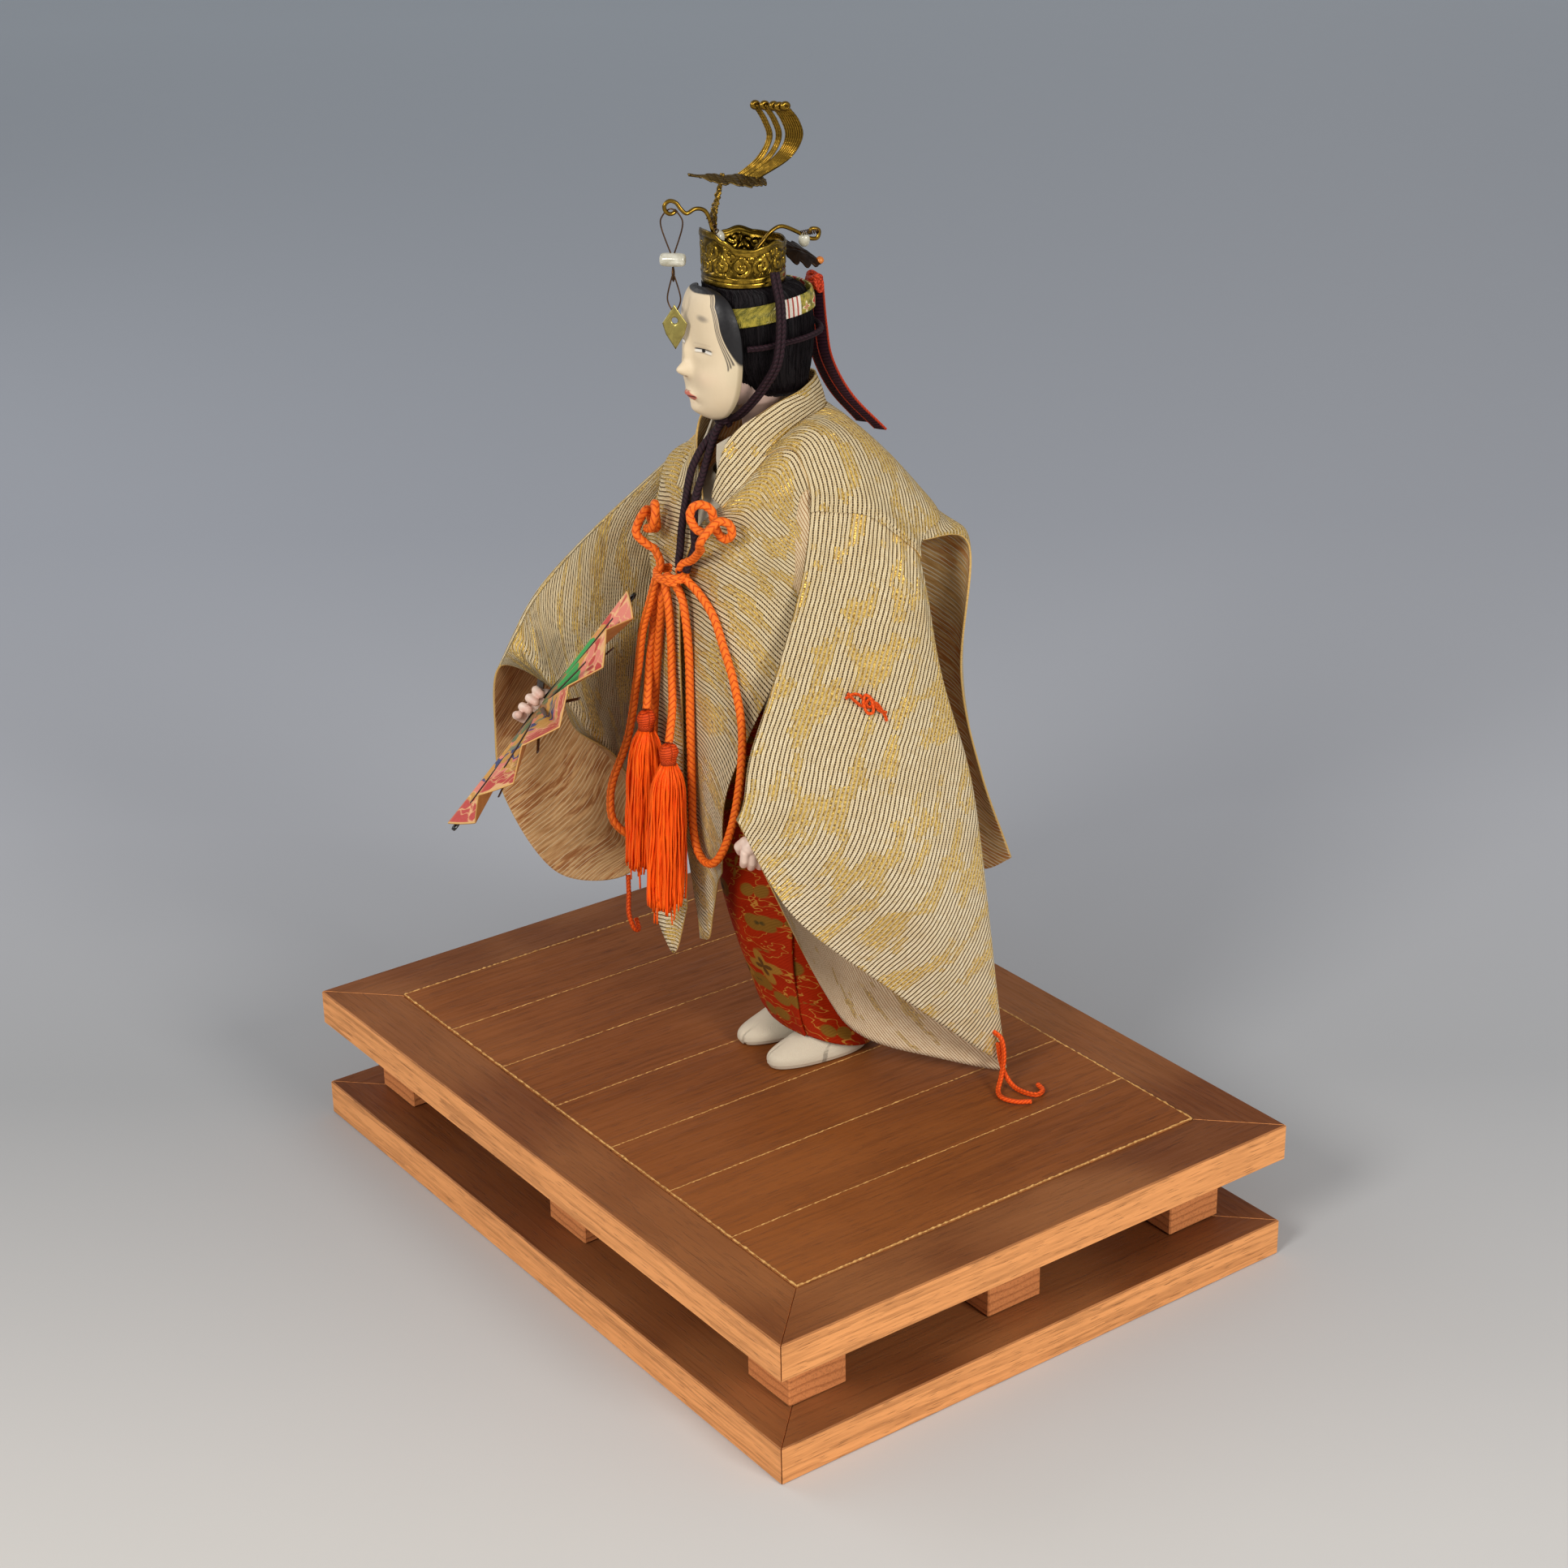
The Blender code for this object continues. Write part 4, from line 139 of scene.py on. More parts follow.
COLLAR_SHARES = [
    [(0.150, -0.316, 1.892), (0.126, -0.318, 1.897), (0.098, -0.316, 1.903)],
    [(0.158, -0.228, 1.998), (0.130, -0.245, 2.028), (0.100, -0.258, 2.065)],
    [(0.148, -0.120, 2.072), (0.146, -0.130, 2.110), (0.136, -0.145, 2.150)],
    [(0.102, 0.036, 2.128), (0.118, 0.010, 2.160), (0.122, -0.025, 2.188)],
    [(0.0, 0.108, 2.110), (0.0, 0.096, 2.155), (0.0, 0.076, 2.200)],
    [(-0.102, 0.036, 2.128), (-0.118, 0.010, 2.160), (-0.122, -0.025, 2.188)],
    [(-0.142, -0.150, 2.066), (-0.144, -0.152, 2.104), (-0.138, -0.156, 2.142)],
    [(-0.095, -0.285, 1.982), (-0.082, -0.280, 2.020), (-0.068, -0.272, 2.060)],
    [(-0.045, -0.340, 1.893), (0.010, -0.336, 1.890), (0.066, -0.328, 1.887)],
]
INNER_COLLAR_SHARES = [
    [(0.080, -0.285, 1.960), (0.064, -0.280, 2.000), (0.050, -0.270, 2.040)],
    [(0.126, -0.150, 2.040), (0.124, -0.155, 2.080), (0.118, -0.160, 2.118)],
    [(0.098, -0.010, 2.070), (0.103, -0.020, 2.110), (0.106, -0.030, 2.150)],
    [(0.0, 0.080, 2.075), (0.0, 0.072, 2.115), (0.0, 0.062, 2.155)],
    [(-0.098, -0.010, 2.070), (-0.103, -0.020, 2.110), (-0.106, -0.030, 2.150)],
    [(-0.122, -0.150, 2.040), (-0.120, -0.155, 2.080), (-0.115, -0.160, 2.118)],
    [(-0.045, -0.285, 1.960), (-0.036, -0.280, 2.000), (-0.028, -0.270, 2.040)],
]
SLEEVE_LEFT_SHARES = [
    [(0.262, -0.075, 1.890), (0.305, -0.005, 1.888), (0.348, 0.060, 1.880), (0.388, 0.130, 1.815),
     (0.398, 0.190, 1.745),
     (0.360, 0.150, 1.700), (0.300, 0.070, 1.730), (0.275, -0.010, 1.770), (0.262, -0.070, 1.830)],
    [(0.324, -0.145, 1.680), (0.368, -0.060, 1.690), (0.420, 0.020, 1.680), (0.460, 0.120, 1.630),
     (0.465, 0.205, 1.530),
     (0.400, 0.180, 1.490), (0.340, 0.080, 1.520), (0.312, -0.010, 1.560), (0.310, -0.090, 1.620)],
    [(0.350, -0.255, 1.400), (0.420, -0.150, 1.400), (0.490, -0.030, 1.370), (0.525, 0.110, 1.310),
     (0.500, 0.245, 1.280),
     (0.430, 0.200, 1.240), (0.365, 0.080, 1.280), (0.325, -0.050, 1.320), (0.318, -0.170, 1.365)],
    [(0.370, -0.345, 1.200), (0.450, -0.200, 1.180), (0.530, -0.050, 1.130), (0.570, 0.120, 1.060),
     (0.530, 0.300, 0.990),
     (0.450, 0.220, 0.960), (0.375, 0.080, 1.010), (0.325, -0.080, 1.060), (0.325, -0.240, 1.140)],
    [(0.386, -0.380, 1.065), (0.450, -0.270, 0.950), (0.540, -0.080, 0.840), (0.600, 0.120, 0.720),
     (0.560, 0.360, 0.550),
     (0.460, 0.260, 0.480), (0.370, 0.060, 0.600), (0.310, -0.080, 0.720), (0.318, -0.275, 0.925)],
    [(0.392, -0.408, 1.010), (0.445, -0.260, 0.690), (0.525, 0.030, 0.400), (0.560, 0.260, 0.190),
     (0.545, 0.430, 0.028),
     (0.450, 0.250, 0.070), (0.330, 0.040, 0.150), (0.290, -0.080, 0.330), (0.300, -0.285, 0.790)],
]
SLEEVE_RIGHT_SHARES = [
    [(-0.238, -0.275, 1.925), (-0.262, -0.165, 1.955), (-0.335, -0.010, 1.895), (-0.385, 0.090, 1.815),
     (-0.395, 0.165, 1.735),
     (-0.360, 0.080, 1.640), (-0.330, -0.060, 1.600), (-0.305, -0.200, 1.640), (-0.270, -0.310, 1.780)],
    [(-0.360, -0.440, 1.730), (-0.430, -0.360, 1.720), (-0.500, -0.220, 1.650), (-0.530, -0.080, 1.520),
     (-0.500, 0.0, 1.360),
     (-0.440, -0.080, 1.320), (-0.380, -0.220, 1.370), (-0.330, -0.340, 1.470), (-0.325, -0.420, 1.610)],
    [(-0.450, -0.540, 1.590), (-0.510, -0.460, 1.570), (-0.580, -0.320, 1.470), (-0.620, -0.190, 1.300),
     (-0.580, -0.140, 1.080),
     (-0.490, -0.210, 1.060), (-0.390, -0.330, 1.160), (-0.340, -0.430, 1.300), (-0.360, -0.510, 1.460)],
    [(-0.490, -0.630, 1.470), (-0.550, -0.570, 1.440), (-0.630, -0.450, 1.310), (-0.660, -0.340, 1.100),
     (-0.580, -0.280, 0.840),
     (-0.470, -0.320, 0.860), (-0.370, -0.400, 1.020), (-0.330, -0.480, 1.160), (-0.375, -0.575, 1.330)],
    [(-0.490, -0.700, 1.370), (-0.560, -0.660, 1.310), (-0.640, -0.570, 1.130), (-0.650, -0.480, 0.900),
     (-0.520, -0.360, 0.620),
     (-0.420, -0.380, 0.680), (-0.330, -0.430, 0.880), (-0.320, -0.520, 1.060), (-0.370, -0.650, 1.250)],
    [(-0.470, -0.770, 1.280), (-0.560, -0.765, 1.040), (-0.630, -0.715, 0.760), (-0.560, -0.580, 0.500),
     (-0.380, -0.415, 0.530),
     (-0.290, -0.400, 0.760), (-0.280, -0.480, 0.980), (-0.335, -0.590, 1.080), (-0.360, -0.640, 1.210)],
]
HEAD_SECTION_SHARES = [
    (0.0, -0.100, 1.905, 0.026, 0.026), (0.0, -0.100, 2.030, 0.026, 0.026),
    (0.0, -0.100, 2.034, 0.050, 0.050),
    (0.0, -0.103, 2.060, 0.050, 0.050), (0.0, -0.110, 2.120, 0.055, 0.055),
    (0.0, -0.122, 2.150, 0.075, 0.088),
    (0.0, -0.122, 2.185, 0.094, 0.118), (0.0, -0.120, 2.225, 0.106, 0.134),
    (0.0, -0.115, 2.280, 0.116, 0.142),
    (0.0, -0.110, 2.340, 0.118, 0.138), (0.0, -0.108, 2.390, 0.114, 0.128),
    (0.0, -0.105, 2.440, 0.102, 0.116),
    (0.0, -0.105, 2.475, 0.080, 0.092), (0.0, -0.105, 2.493, 0.050, 0.060),
]
HAIR_SECTION_SHARES = [
    (0.0, -0.060, 2.162, 0.084, 0.080), (0.0, -0.072, 2.180, 0.104, 0.108),
    (0.0, -0.090, 2.218, 0.119, 0.128),
    (0.0, -0.102, 2.280, 0.133, 0.150), (0.0, -0.105, 2.360, 0.138, 0.158),
    (0.0, -0.108, 2.430, 0.134, 0.152),
    (0.0, -0.118, 2.475, 0.126, 0.136), (0.0, -0.140, 2.494, 0.115, 0.116),
    (0.0, -0.145, 2.497, 0.104, 0.102),
    (0.0, -0.145, 2.516, 0.098, 0.098),
]
HEADBAND_SHARES = [
    (0.0, -0.106, 2.402, 0.142, 0.162), (0.0, -0.107, 2.430, 0.140, 0.160),
    (0.0, -0.108, 2.456, 0.138, 0.155),
]
TAIL_SHARES = [
    [(-0.012, 0.086, 2.455), (-0.032, 0.090, 2.340), (-0.024, 0.107, 2.230), (0.000, 0.150, 2.125),
     (0.034, 0.222, 2.030)],
    [(0.012, 0.086, 2.455), (0.020, 0.092, 2.340), (0.026, 0.108, 2.235), (0.050, 0.160, 2.125),
     (0.088, 0.252, 2.015)],
]
MASK_CORD_SHARES = [
    (0.133, -0.208, 2.330), (0.147, -0.160, 2.332), (0.152, -0.090, 2.338), (0.146, -0.015, 2.345),
    (0.108, 0.045, 2.352), (0.0, 0.070, 2.356), (-0.108, 0.045, 2.352), (-0.146, -0.015, 2.345),
    (-0.152, -0.090, 2.338), (-0.147, -0.160, 2.332), (-0.133, -0.208, 2.330),
]
CHIN_CORD_HALF_SHARES = [
    (0.137, -0.118, 2.540), (0.155, -0.120, 2.505), (0.170, -0.118, 2.450), (0.182, -0.125, 2.370),
    (0.180, -0.138, 2.290),
    (0.150, -0.160, 2.225), (0.106, -0.185, 2.163), (0.055, -0.205, 2.115), (0.0, -0.213, 2.098),
]
MASK_ROW_SHARES = [
    (2.497, 0.030, -0.275, -0.286), (2.488, 0.072, -0.262, -0.298), (2.465, 0.104, -0.248, -0.312),
    (2.425, 0.127, -0.238, -0.322), (2.380, 0.136, -0.230, -0.326), (2.335, 0.138, -0.226, -0.326),
    (2.290, 0.137, -0.225, -0.325), (2.250, 0.132, -0.225, -0.326), (2.215, 0.122, -0.225, -0.326),
    (2.180, 0.106, -0.226, -0.322), (2.148, 0.084, -0.229, -0.312), (2.120, 0.056, -0.234, -0.292),
    (2.105, 0.028, -0.240, -0.268),
]
MASK_RELIEF_SHARES = [
    ((0.0, 2.262), (0.021, 0.022), 0.040), ((0.0, 2.315), (0.014, 0.035), 0.018), ((0.0, 2.190),
    (0.030, 0.013), 0.016),
    ((0.0, 2.140), (0.030, 0.018), 0.012), ((0.060, 2.325), (0.030, 0.014), -0.011),
    ((-0.060, 2.325), (0.030, 0.014), -0.011), ((0.065, 2.250), (0.034, 0.030), 0.006),
    ((-0.065, 2.250), (0.034, 0.030), 0.006), ((0.0, 2.165), (0.026, 0.007), -0.008),
]
CROWN_EDGE_SHARES = [
    (0.0, 1.0), (0.10, 0.99), (0.20, 0.86), (0.30, 0.72), (0.42, 0.69), (0.52, 0.74), (0.62, 0.80), (0.74, 0.72),
    (0.88, 0.70), (1.0, 0.72),
]
CROWN_SIDE_SHARES = [
    (0.0, 0.030), (0.07, 0.045), (0.10, 0.012), (0.13, 0.035), (0.20, 0.038), (0.24, 0.0), (0.62, 0.0), (1.0, 0.05),
]
LEAF_SHARES = [
    [(-0.055, -0.014, 2.562), (0.0, -0.016, 2.572), (0.055, -0.014, 2.562)],
    [(-0.070, 0.020, 2.550), (0.0, 0.028, 2.560), (0.070, 0.020, 2.550)],
    [(-0.052, 0.060, 2.532), (0.0, 0.070, 2.540), (0.052, 0.060, 2.532)],
    [(-0.015, 0.100, 2.512), (0.0, 0.104, 2.516), (0.015, 0.100, 2.512)],
]
CROWN_WIRE_SHARES = [
    (0.0, -0.352, 2.720), (0.0, -0.361, 2.713), (0.0, -0.374, 2.712), (0.0, -0.386, 2.722),
    (0.0, -0.388, 2.738),
    (0.003, -0.374, 2.749), (0.010, -0.357, 2.743), (0.016, -0.346, 2.726), (0.020, -0.330, 2.712),
    (0.022, -0.304, 2.722), (0.022, -0.278, 2.716), (0.022, -0.262, 2.694), (0.022, -0.244, 2.640),
    (0.022, -0.200, 2.580), (0.012, -0.140, 2.560), (0.0, -0.090, 2.590), (0.0, -0.055, 2.622),
    (0.0, -0.019, 2.634), (0.0, 0.031, 2.612), (0.004, 0.062, 2.592), (0.014, 0.088, 2.590),
    (0.014, 0.094, 2.612),
    (0.012, 0.072, 2.618), (0.010, 0.064, 2.604),
]
BIRD_ROW_SHARES = [
    (0.002, -0.311), (0.012, -0.288), (0.032, -0.264), (0.041, -0.244), (0.054, -0.222), (0.049, -0.206),
    (0.064, -0.186),
    (0.056, -0.168), (0.067, -0.148), (0.057, -0.132), (0.064, -0.114), (0.048, -0.100), (0.046, -0.088),
    (0.020, -0.078),
]
PLUME_LEFT_SHARES = [
    (-0.020, -0.155, 2.789), (-0.025, -0.084, 2.831), (-0.030, -0.046, 2.883), (-0.035, -0.058, 2.933),
    (-0.040, -0.083, 2.978),
]
PLUME_RIGHT_SHARES = [
    (0.022, -0.105, 2.782), (0.035, -0.009, 2.831), (0.050, 0.026, 2.889), (0.050, 0.016, 2.938),
    (0.050, -0.017, 2.980),
]
PLUME_SPANS = [(0.0, 0.15), (0.20, 0.37), (0.43, 1.0)]
POST_SHARES = [
    (0.0, -0.205, 2.570, 0.006, 0.004), (0.0, -0.232, 2.640, 0.010, 0.004),
    (0.0, -0.234, 2.700, 0.017, 0.005),
    (0.0, -0.222, 2.740, 0.012, 0.005), (0.0, -0.204, 2.806, 0.0083, 0.0043),
]
PLATE_OUTLINE_SHARES = [(0.0, 0.0), (0.45, 0.20), (1.0, 0.42), (0.75, 0.66), (0.0, 1.0)]
RIGHT_HAND_SHARES = [
    [(-0.62, -0.30, -0.10, 0.34), (-0.62, 0.25, -0.10, 0.34), (-0.80, 0.0, -0.10, 0.36)],
    [(-0.50, -0.62, 0.10, 0.15), (-0.22, -0.66, 0.36, 0.14), (0.10, -0.60, 0.34, 0.125)],
    [(-0.46, -0.32, 0.14, 0.155), (-0.15, -0.34, 0.38, 0.145), (0.20, -0.30, 0.205, 0.13)],
    [(-0.46, 0.0, 0.14, 0.155), (-0.13, 0.0, 0.38, 0.145), (0.20, 0.02, 0.185, 0.13)],
    [(-0.48, 0.30, 0.12, 0.15), (-0.16, 0.31, 0.37, 0.14), (0.16, 0.30, 0.200, 0.125)],
    [(-0.62, 0.30, -0.26, 0.18), (-0.30, 0.28, -0.38, 0.16), (0.14, 0.16, -0.220, 0.145)],
    [(-0.80, 0.0, -0.10, 0.34), (-0.98, 0.12, -0.05, 0.30)],
]
LEFT_HAND_SHARES = [
    [(0.0, -0.24, -0.62, 0.26), (0.0, 0.24, -0.62, 0.26), (0.0, 0.0, -0.40, 0.27)],
    [(0.0, -0.42, -0.80, 0.15), (0.10, -0.44, -1.12, 0.14), (0.30, -0.42, -1.36, 0.125)],
    [(0.0, -0.15, -0.84, 0.155), (0.10, -0.16, -1.20, 0.145), (0.32, -0.15, -1.46, 0.13)],
    [(0.0, 0.13, -0.84, 0.155), (0.10, 0.13, -1.18, 0.145), (0.32, 0.12, -1.44, 0.13)],
    [(0.0, 0.38, -0.78, 0.15), (0.10, 0.38, -1.08, 0.14), (0.28, 0.36, -1.30, 0.125)],
    [(0.10, 0.34, -0.50, 0.17), (0.34, 0.46, -0.74, 0.16), (0.52, 0.36, -0.98, 0.145)],
    [(0.0, 0.0, -0.40, 0.27), (0.0, 0.0, -0.04, 0.26)],
]
KNOT_SHARES = [
    (0.06, -0.30, 0.42), (-0.26, -0.20, 0.38), (-0.46, 0.10, 0.34), (-0.38, 0.38, 0.28),
    (-0.12, 0.48, 0.22),
    (0.14, 0.36, 0.16), (0.20, 0.05, 0.10), (0.28, -0.32, 0.04), (0.54, -0.48, 0.04), (0.78, -0.28, 0.08),
    (0.74, 0.02, 0.16), (0.50, 0.10, 0.34), (0.30, -0.16, 0.60), (0.12, -0.46, 0.72), (-0.08, -0.72, 0.48),
    (-0.20, -0.88, 0.22),
]
BREAST_LEFT_SHARES = [
    (0.098, -0.384, 1.724), (0.062, -0.398, 1.702), (0.047, -0.402, 1.678), (0.068, -0.392, 1.655),
    (0.113, -0.374, 1.622),
    (0.171, -0.359, 1.567), (0.210, -0.346, 1.474), (0.238, -0.332, 1.379), (0.262, -0.322, 1.251),
    (0.268, -0.330, 1.120),
    (0.262, -0.350, 0.980), (0.240, -0.372, 0.870), (0.200, -0.388, 0.800), (0.150, -0.396, 0.778),
    (0.098, -0.398, 0.800),
    (0.068, -0.396, 0.870), (0.060, -0.392, 0.965), (0.068, -0.394, 1.178), (0.078, -0.396, 1.420),
    (0.062, -0.398, 1.560),
    (0.044, -0.404, 1.612), (0.024, -0.416, 1.642), (0.004, -0.422, 1.652), (-0.006, -0.425, 1.628),
    (0.006, -0.422, 1.560),
    (0.010, -0.420, 1.450), (0.012, -0.422, 1.340), (0.032, -0.434, 1.250), (0.066, -0.460, 1.190),
    (0.075, -0.470, 1.160),
]
BREAST_RIGHT_SHARES = [
    (-0.036, -0.424, 1.680), (-0.038, -0.440, 1.630), (-0.060, -0.450, 1.560), (-0.098, -0.462, 1.450),
    (-0.118, -0.476, 1.300),
    (-0.140, -0.503, 1.110), (-0.157, -0.550, 0.975), (-0.157, -0.564, 0.905), (-0.144, -0.564, 0.845),
    (-0.128, -0.532, 0.800),
    (-0.120, -0.492, 0.782), (-0.113, -0.456, 0.800), (-0.107, -0.442, 0.850), (-0.104, -0.438, 0.980),
    (-0.102, -0.434, 1.135),
    (-0.072, -0.424, 1.402), (-0.050, -0.418, 1.540), (-0.054, -0.416, 1.588), (-0.070, -0.416, 1.606),
    (-0.088, -0.416, 1.588),
    (-0.098, -0.416, 1.540), (-0.110, -0.422, 1.440), (-0.098, -0.440, 1.360), (-0.062, -0.468, 1.280),
    (-0.040, -0.485, 1.230),
]
CHEST_SHARES = [
    (0.038, -0.393, 1.744), (0.034, -0.384, 1.800), (0.022, -0.362, 1.880), (0.010, -0.338, 1.955),
    (0.002, -0.300, 2.015),
    (0.008, -0.276, 2.042), (0.024, -0.280, 2.024), (0.040, -0.312, 1.960), (0.058, -0.350, 1.885),
    (0.074, -0.364, 1.810),
    (0.078, -0.366, 1.752),
]
SLEEVE_CORD_LEFT_SHARES = [
    (0.579, 0.380, 0.150), (0.586, 0.384, 0.095), (0.604, 0.392, 0.046), (0.640, 0.402, 0.018),
    (0.690, 0.414, 0.017),
    (0.716, 0.438, 0.017), (0.700, 0.468, 0.017), (0.664, 0.474, 0.017),
]
SLEEVE_CORD_RIGHT_SHARES = [
    (-0.390, -0.409, 0.519), (-0.371, -0.418, 0.466), (-0.350, -0.430, 0.405), (-0.338, -0.420, 0.355),
    (-0.350, -0.398, 0.342),
    (-0.372, -0.396, 0.370),
]
TASSEL_SHARES = [
    (0.007, 0.010, 0.010), (0.012, 0.021, 0.021), (0.030, 0.028, 0.029), (0.052, 0.022, 0.023),
    (0.062, 0.017, 0.018),
    (0.070, 0.024, 0.026), (0.100, 0.040, 0.046), (0.150, 0.050, 0.058), (0.260, 0.053, 0.061),
    (0.400, 0.054, 0.062),
    (0.545, 0.052, 0.060),
]
FAN_PIVOT = np.array((-0.350, -0.699, 1.176)) * ARM
FAN_RADIUS = 0.048
FAN_OPEN = math.radians(132)
FAN_PLEATS = 14
FAN_PLEAT_DEPTH = 0.0016
FAN_START = 0.05
FAN_MIDDLE = np.array((0.910, -0.306, 0.278))
FAN_MIDDLE /= np.linalg.norm(FAN_MIDDLE)
FAN_ACROSS = np.array((0.0, 0.707, 0.707))
FAN_ACROSS /= np.linalg.norm(FAN_ACROSS)
FAN_FACE = np.cross(FAN_MIDDLE, FAN_ACROSS)
LEFT_WRIST = np.array((0.380, -0.340, 0.975)) * ARM
LEFT_HAND_AXES = np.array(((-0.98, 0.20, 0.0), (-0.20, -0.98, 0.0), (0.0, 0.0, 1.0)))
HAND = 0.0100
HAIR_SQUARE = 2.6
KNOT = 0.010
LEFT_KNOT = np.array((0.158, -0.354, 1.856)) * ARM
RIGHT_KNOT = np.array((-0.070, -0.400, 1.806)) * ARM
LEFT_KNOT_AXES = np.array(((0.85, 0.52, 0.0), (-0.08, 0.04, 0.99), (0.52, -0.85, 0.08)))
RIGHT_KNOT_AXES = np.array(((-0.98, 0.17, 0.0), (0.0, 0.04, 1.0), (-0.17, -0.98, 0.04)))


# Camera, floor and light

def vector(*values):
    return np.array(values, float)


def camera():
    """The photograph's viewpoint, worked out from the stage's corners."""
    azimuth, elevation, roll = (math.radians(v) for v in (54.2036, 23.5741, -1.0878))
    back = Vector((math.sin(azimuth) * math.cos(elevation), -math.cos(azimuth) * math.cos(elevation),
                   math.sin(elevation)))
    right = Vector((math.cos(azimuth), math.sin(azimuth), 0.0))
    up = back.cross(right)
    right, up = (right * math.cos(roll) + up * math.sin(roll), up * math.cos(roll) - right * math.sin(roll))
    data = bpy.data.cameras.new("camera")
    data.sensor_width = 36.0
    data.lens = 36.0 * 3577.143 / 1932
    data.clip_start = 0.01
    item = bpy.data.objects.new("camera", data)
    bpy.context.scene.collection.objects.link(item)
    turn = Matrix([[right[i], up[i], back[i]] for i in range(3)]).to_4x4()
    item.matrix_world = Matrix.Translation(Vector((0.001004, 0.002720, 0.139717)) + back * 0.888375) @ turn
    bpy.context.scene.camera = item


def lamp(name, place, aim, size, energy, tone=(1.0, 1.0, 1.0)):
    data = bpy.data.lights.new(name, "AREA")
    data.shape = "DISK"
    data.size = size
    data.energy = energy
    data.color = tone
    item = bpy.data.objects.new(name, data)
    bpy.context.scene.collection.objects.link(item)
    item.location = place
    item.rotation_euler = (Vector(place) - Vector(aim)).to_track_quat("Z", "Y").to_euler()


def tint(red, green, blue):
    """A colour seen on screen, 0 to 255, as the linear colour that gives it."""
    out = []
    for value in (red, green, blue):
        v = value / 255
        out.append(v / 12.92 if v <= 0.04045 else ((v + 0.055) / 1.055) ** 2.4)
    return (*out, 1.0)


class Paint:
    """A material under construction. Sockets and plain values both go into its nodes."""

    def __init__(self, name, roughness=0.6, metallic=0.0, **more):
        self.finish = bpy.data.materials.new(name)
        self.finish.use_nodes = True
        self.tree = self.finish.node_tree
        self.shader = self.tree.nodes["Principled BSDF"]
        self.shader.inputs["Roughness"].default_value = roughness
        self.shader.inputs["Metallic"].default_value = metallic
        names = {"specular": "Specular IOR Level", "transmission": "Transmission Weight"}
        for key, value in more.items():
            self.shader.inputs[names[key]].default_value = value

    def feed(self, socket, value):
        if isinstance(value, bpy.types.NodeSocket):
            self.tree.links.new(value, socket)
        else:
            socket.default_value = value

    def node(self, kind, *values, **settings):
        made = self.tree.nodes.new("ShaderNode" + kind)
        for key, value in settings.items():
            setattr(made, key, value)
        for socket, value in zip(made.inputs, values):
            if value is not None:
                self.feed(socket, value)
        return made

    def math(self, operation, a, b=None, c=None):
        return self.node("Math", a, b, c, operation=operation).outputs[0]

    def place(self):
        return self.node("TexCoord").outputs["Object"]

    def layout(self, name="weave"):
        return self.node("Attribute", attribute_name=name).outputs["Vector"]

    def painted(self, name="tint"):
        return self.node("Attribute", attribute_name=name).outputs["Color"]

    def parts(self, socket):
        return self.node("SeparateXYZ", socket).outputs

    def joined(self, x, y, z=0.0):
        return self.node("CombineXYZ", x, y, z).outputs[0]

    def scaled(self, socket, *factors):
        return self.node("VectorMath", socket, factors, operation="MULTIPLY").outputs[0]

    def noise(self, where, scale, detail=3.0, rough=0.5, distortion=0.0):
        made = self.node("TexNoise")
        made.inputs["Distortion"].default_value = distortion
        self.feed(made.inputs["Vector"], where)
        made.inputs["Scale"].default_value = scale
        made.inputs["Detail"].default_value = detail
        made.inputs["Roughness"].default_value = rough
        return made.outputs[0]

    def step(self, value, low, high, to_low=0.0, to_high=1.0):
        """A soft step between two values."""
        made = self.node("MapRange", value, low, high, to_low, to_high, interpolation_type="SMOOTHSTEP")
        return made.outputs[0]

    def mix(self, share, a, b, kind="MIX"):
        made = self.node("Mix", data_type="RGBA", blend_type=kind)
        for socket, value in ((made.inputs[0], share), (made.inputs[6], a), (made.inputs[7], b)):
            self.feed(socket, value)
        return made.outputs[2]

    def ramp(self, share, *stops):
        made = self.node("ValToRGB", share)
        line = made.color_ramp.elements
        while len(line) < len(stops):
            line.new(0.5)
        for element, (place, colour) in zip(line, stops):
            element.position = place
            element.color = colour
        return made.outputs[0]

    def done(self, colour, bump=None, depth=0.0002, roughness=None, metallic=None):
        self.feed(self.shader.inputs["Base Color"], colour)
        if bump is not None:
            made = self.node("Bump")
            made.inputs["Distance"].default_value = depth
            self.feed(made.inputs["Height"], bump)
            self.feed(self.shader.inputs["Normal"], made.outputs[0])
        if roughness is not None:
            self.feed(self.shader.inputs["Roughness"], roughness)
        if metallic is not None:
            self.feed(self.shader.inputs["Metallic"], metallic)
        return self.finish


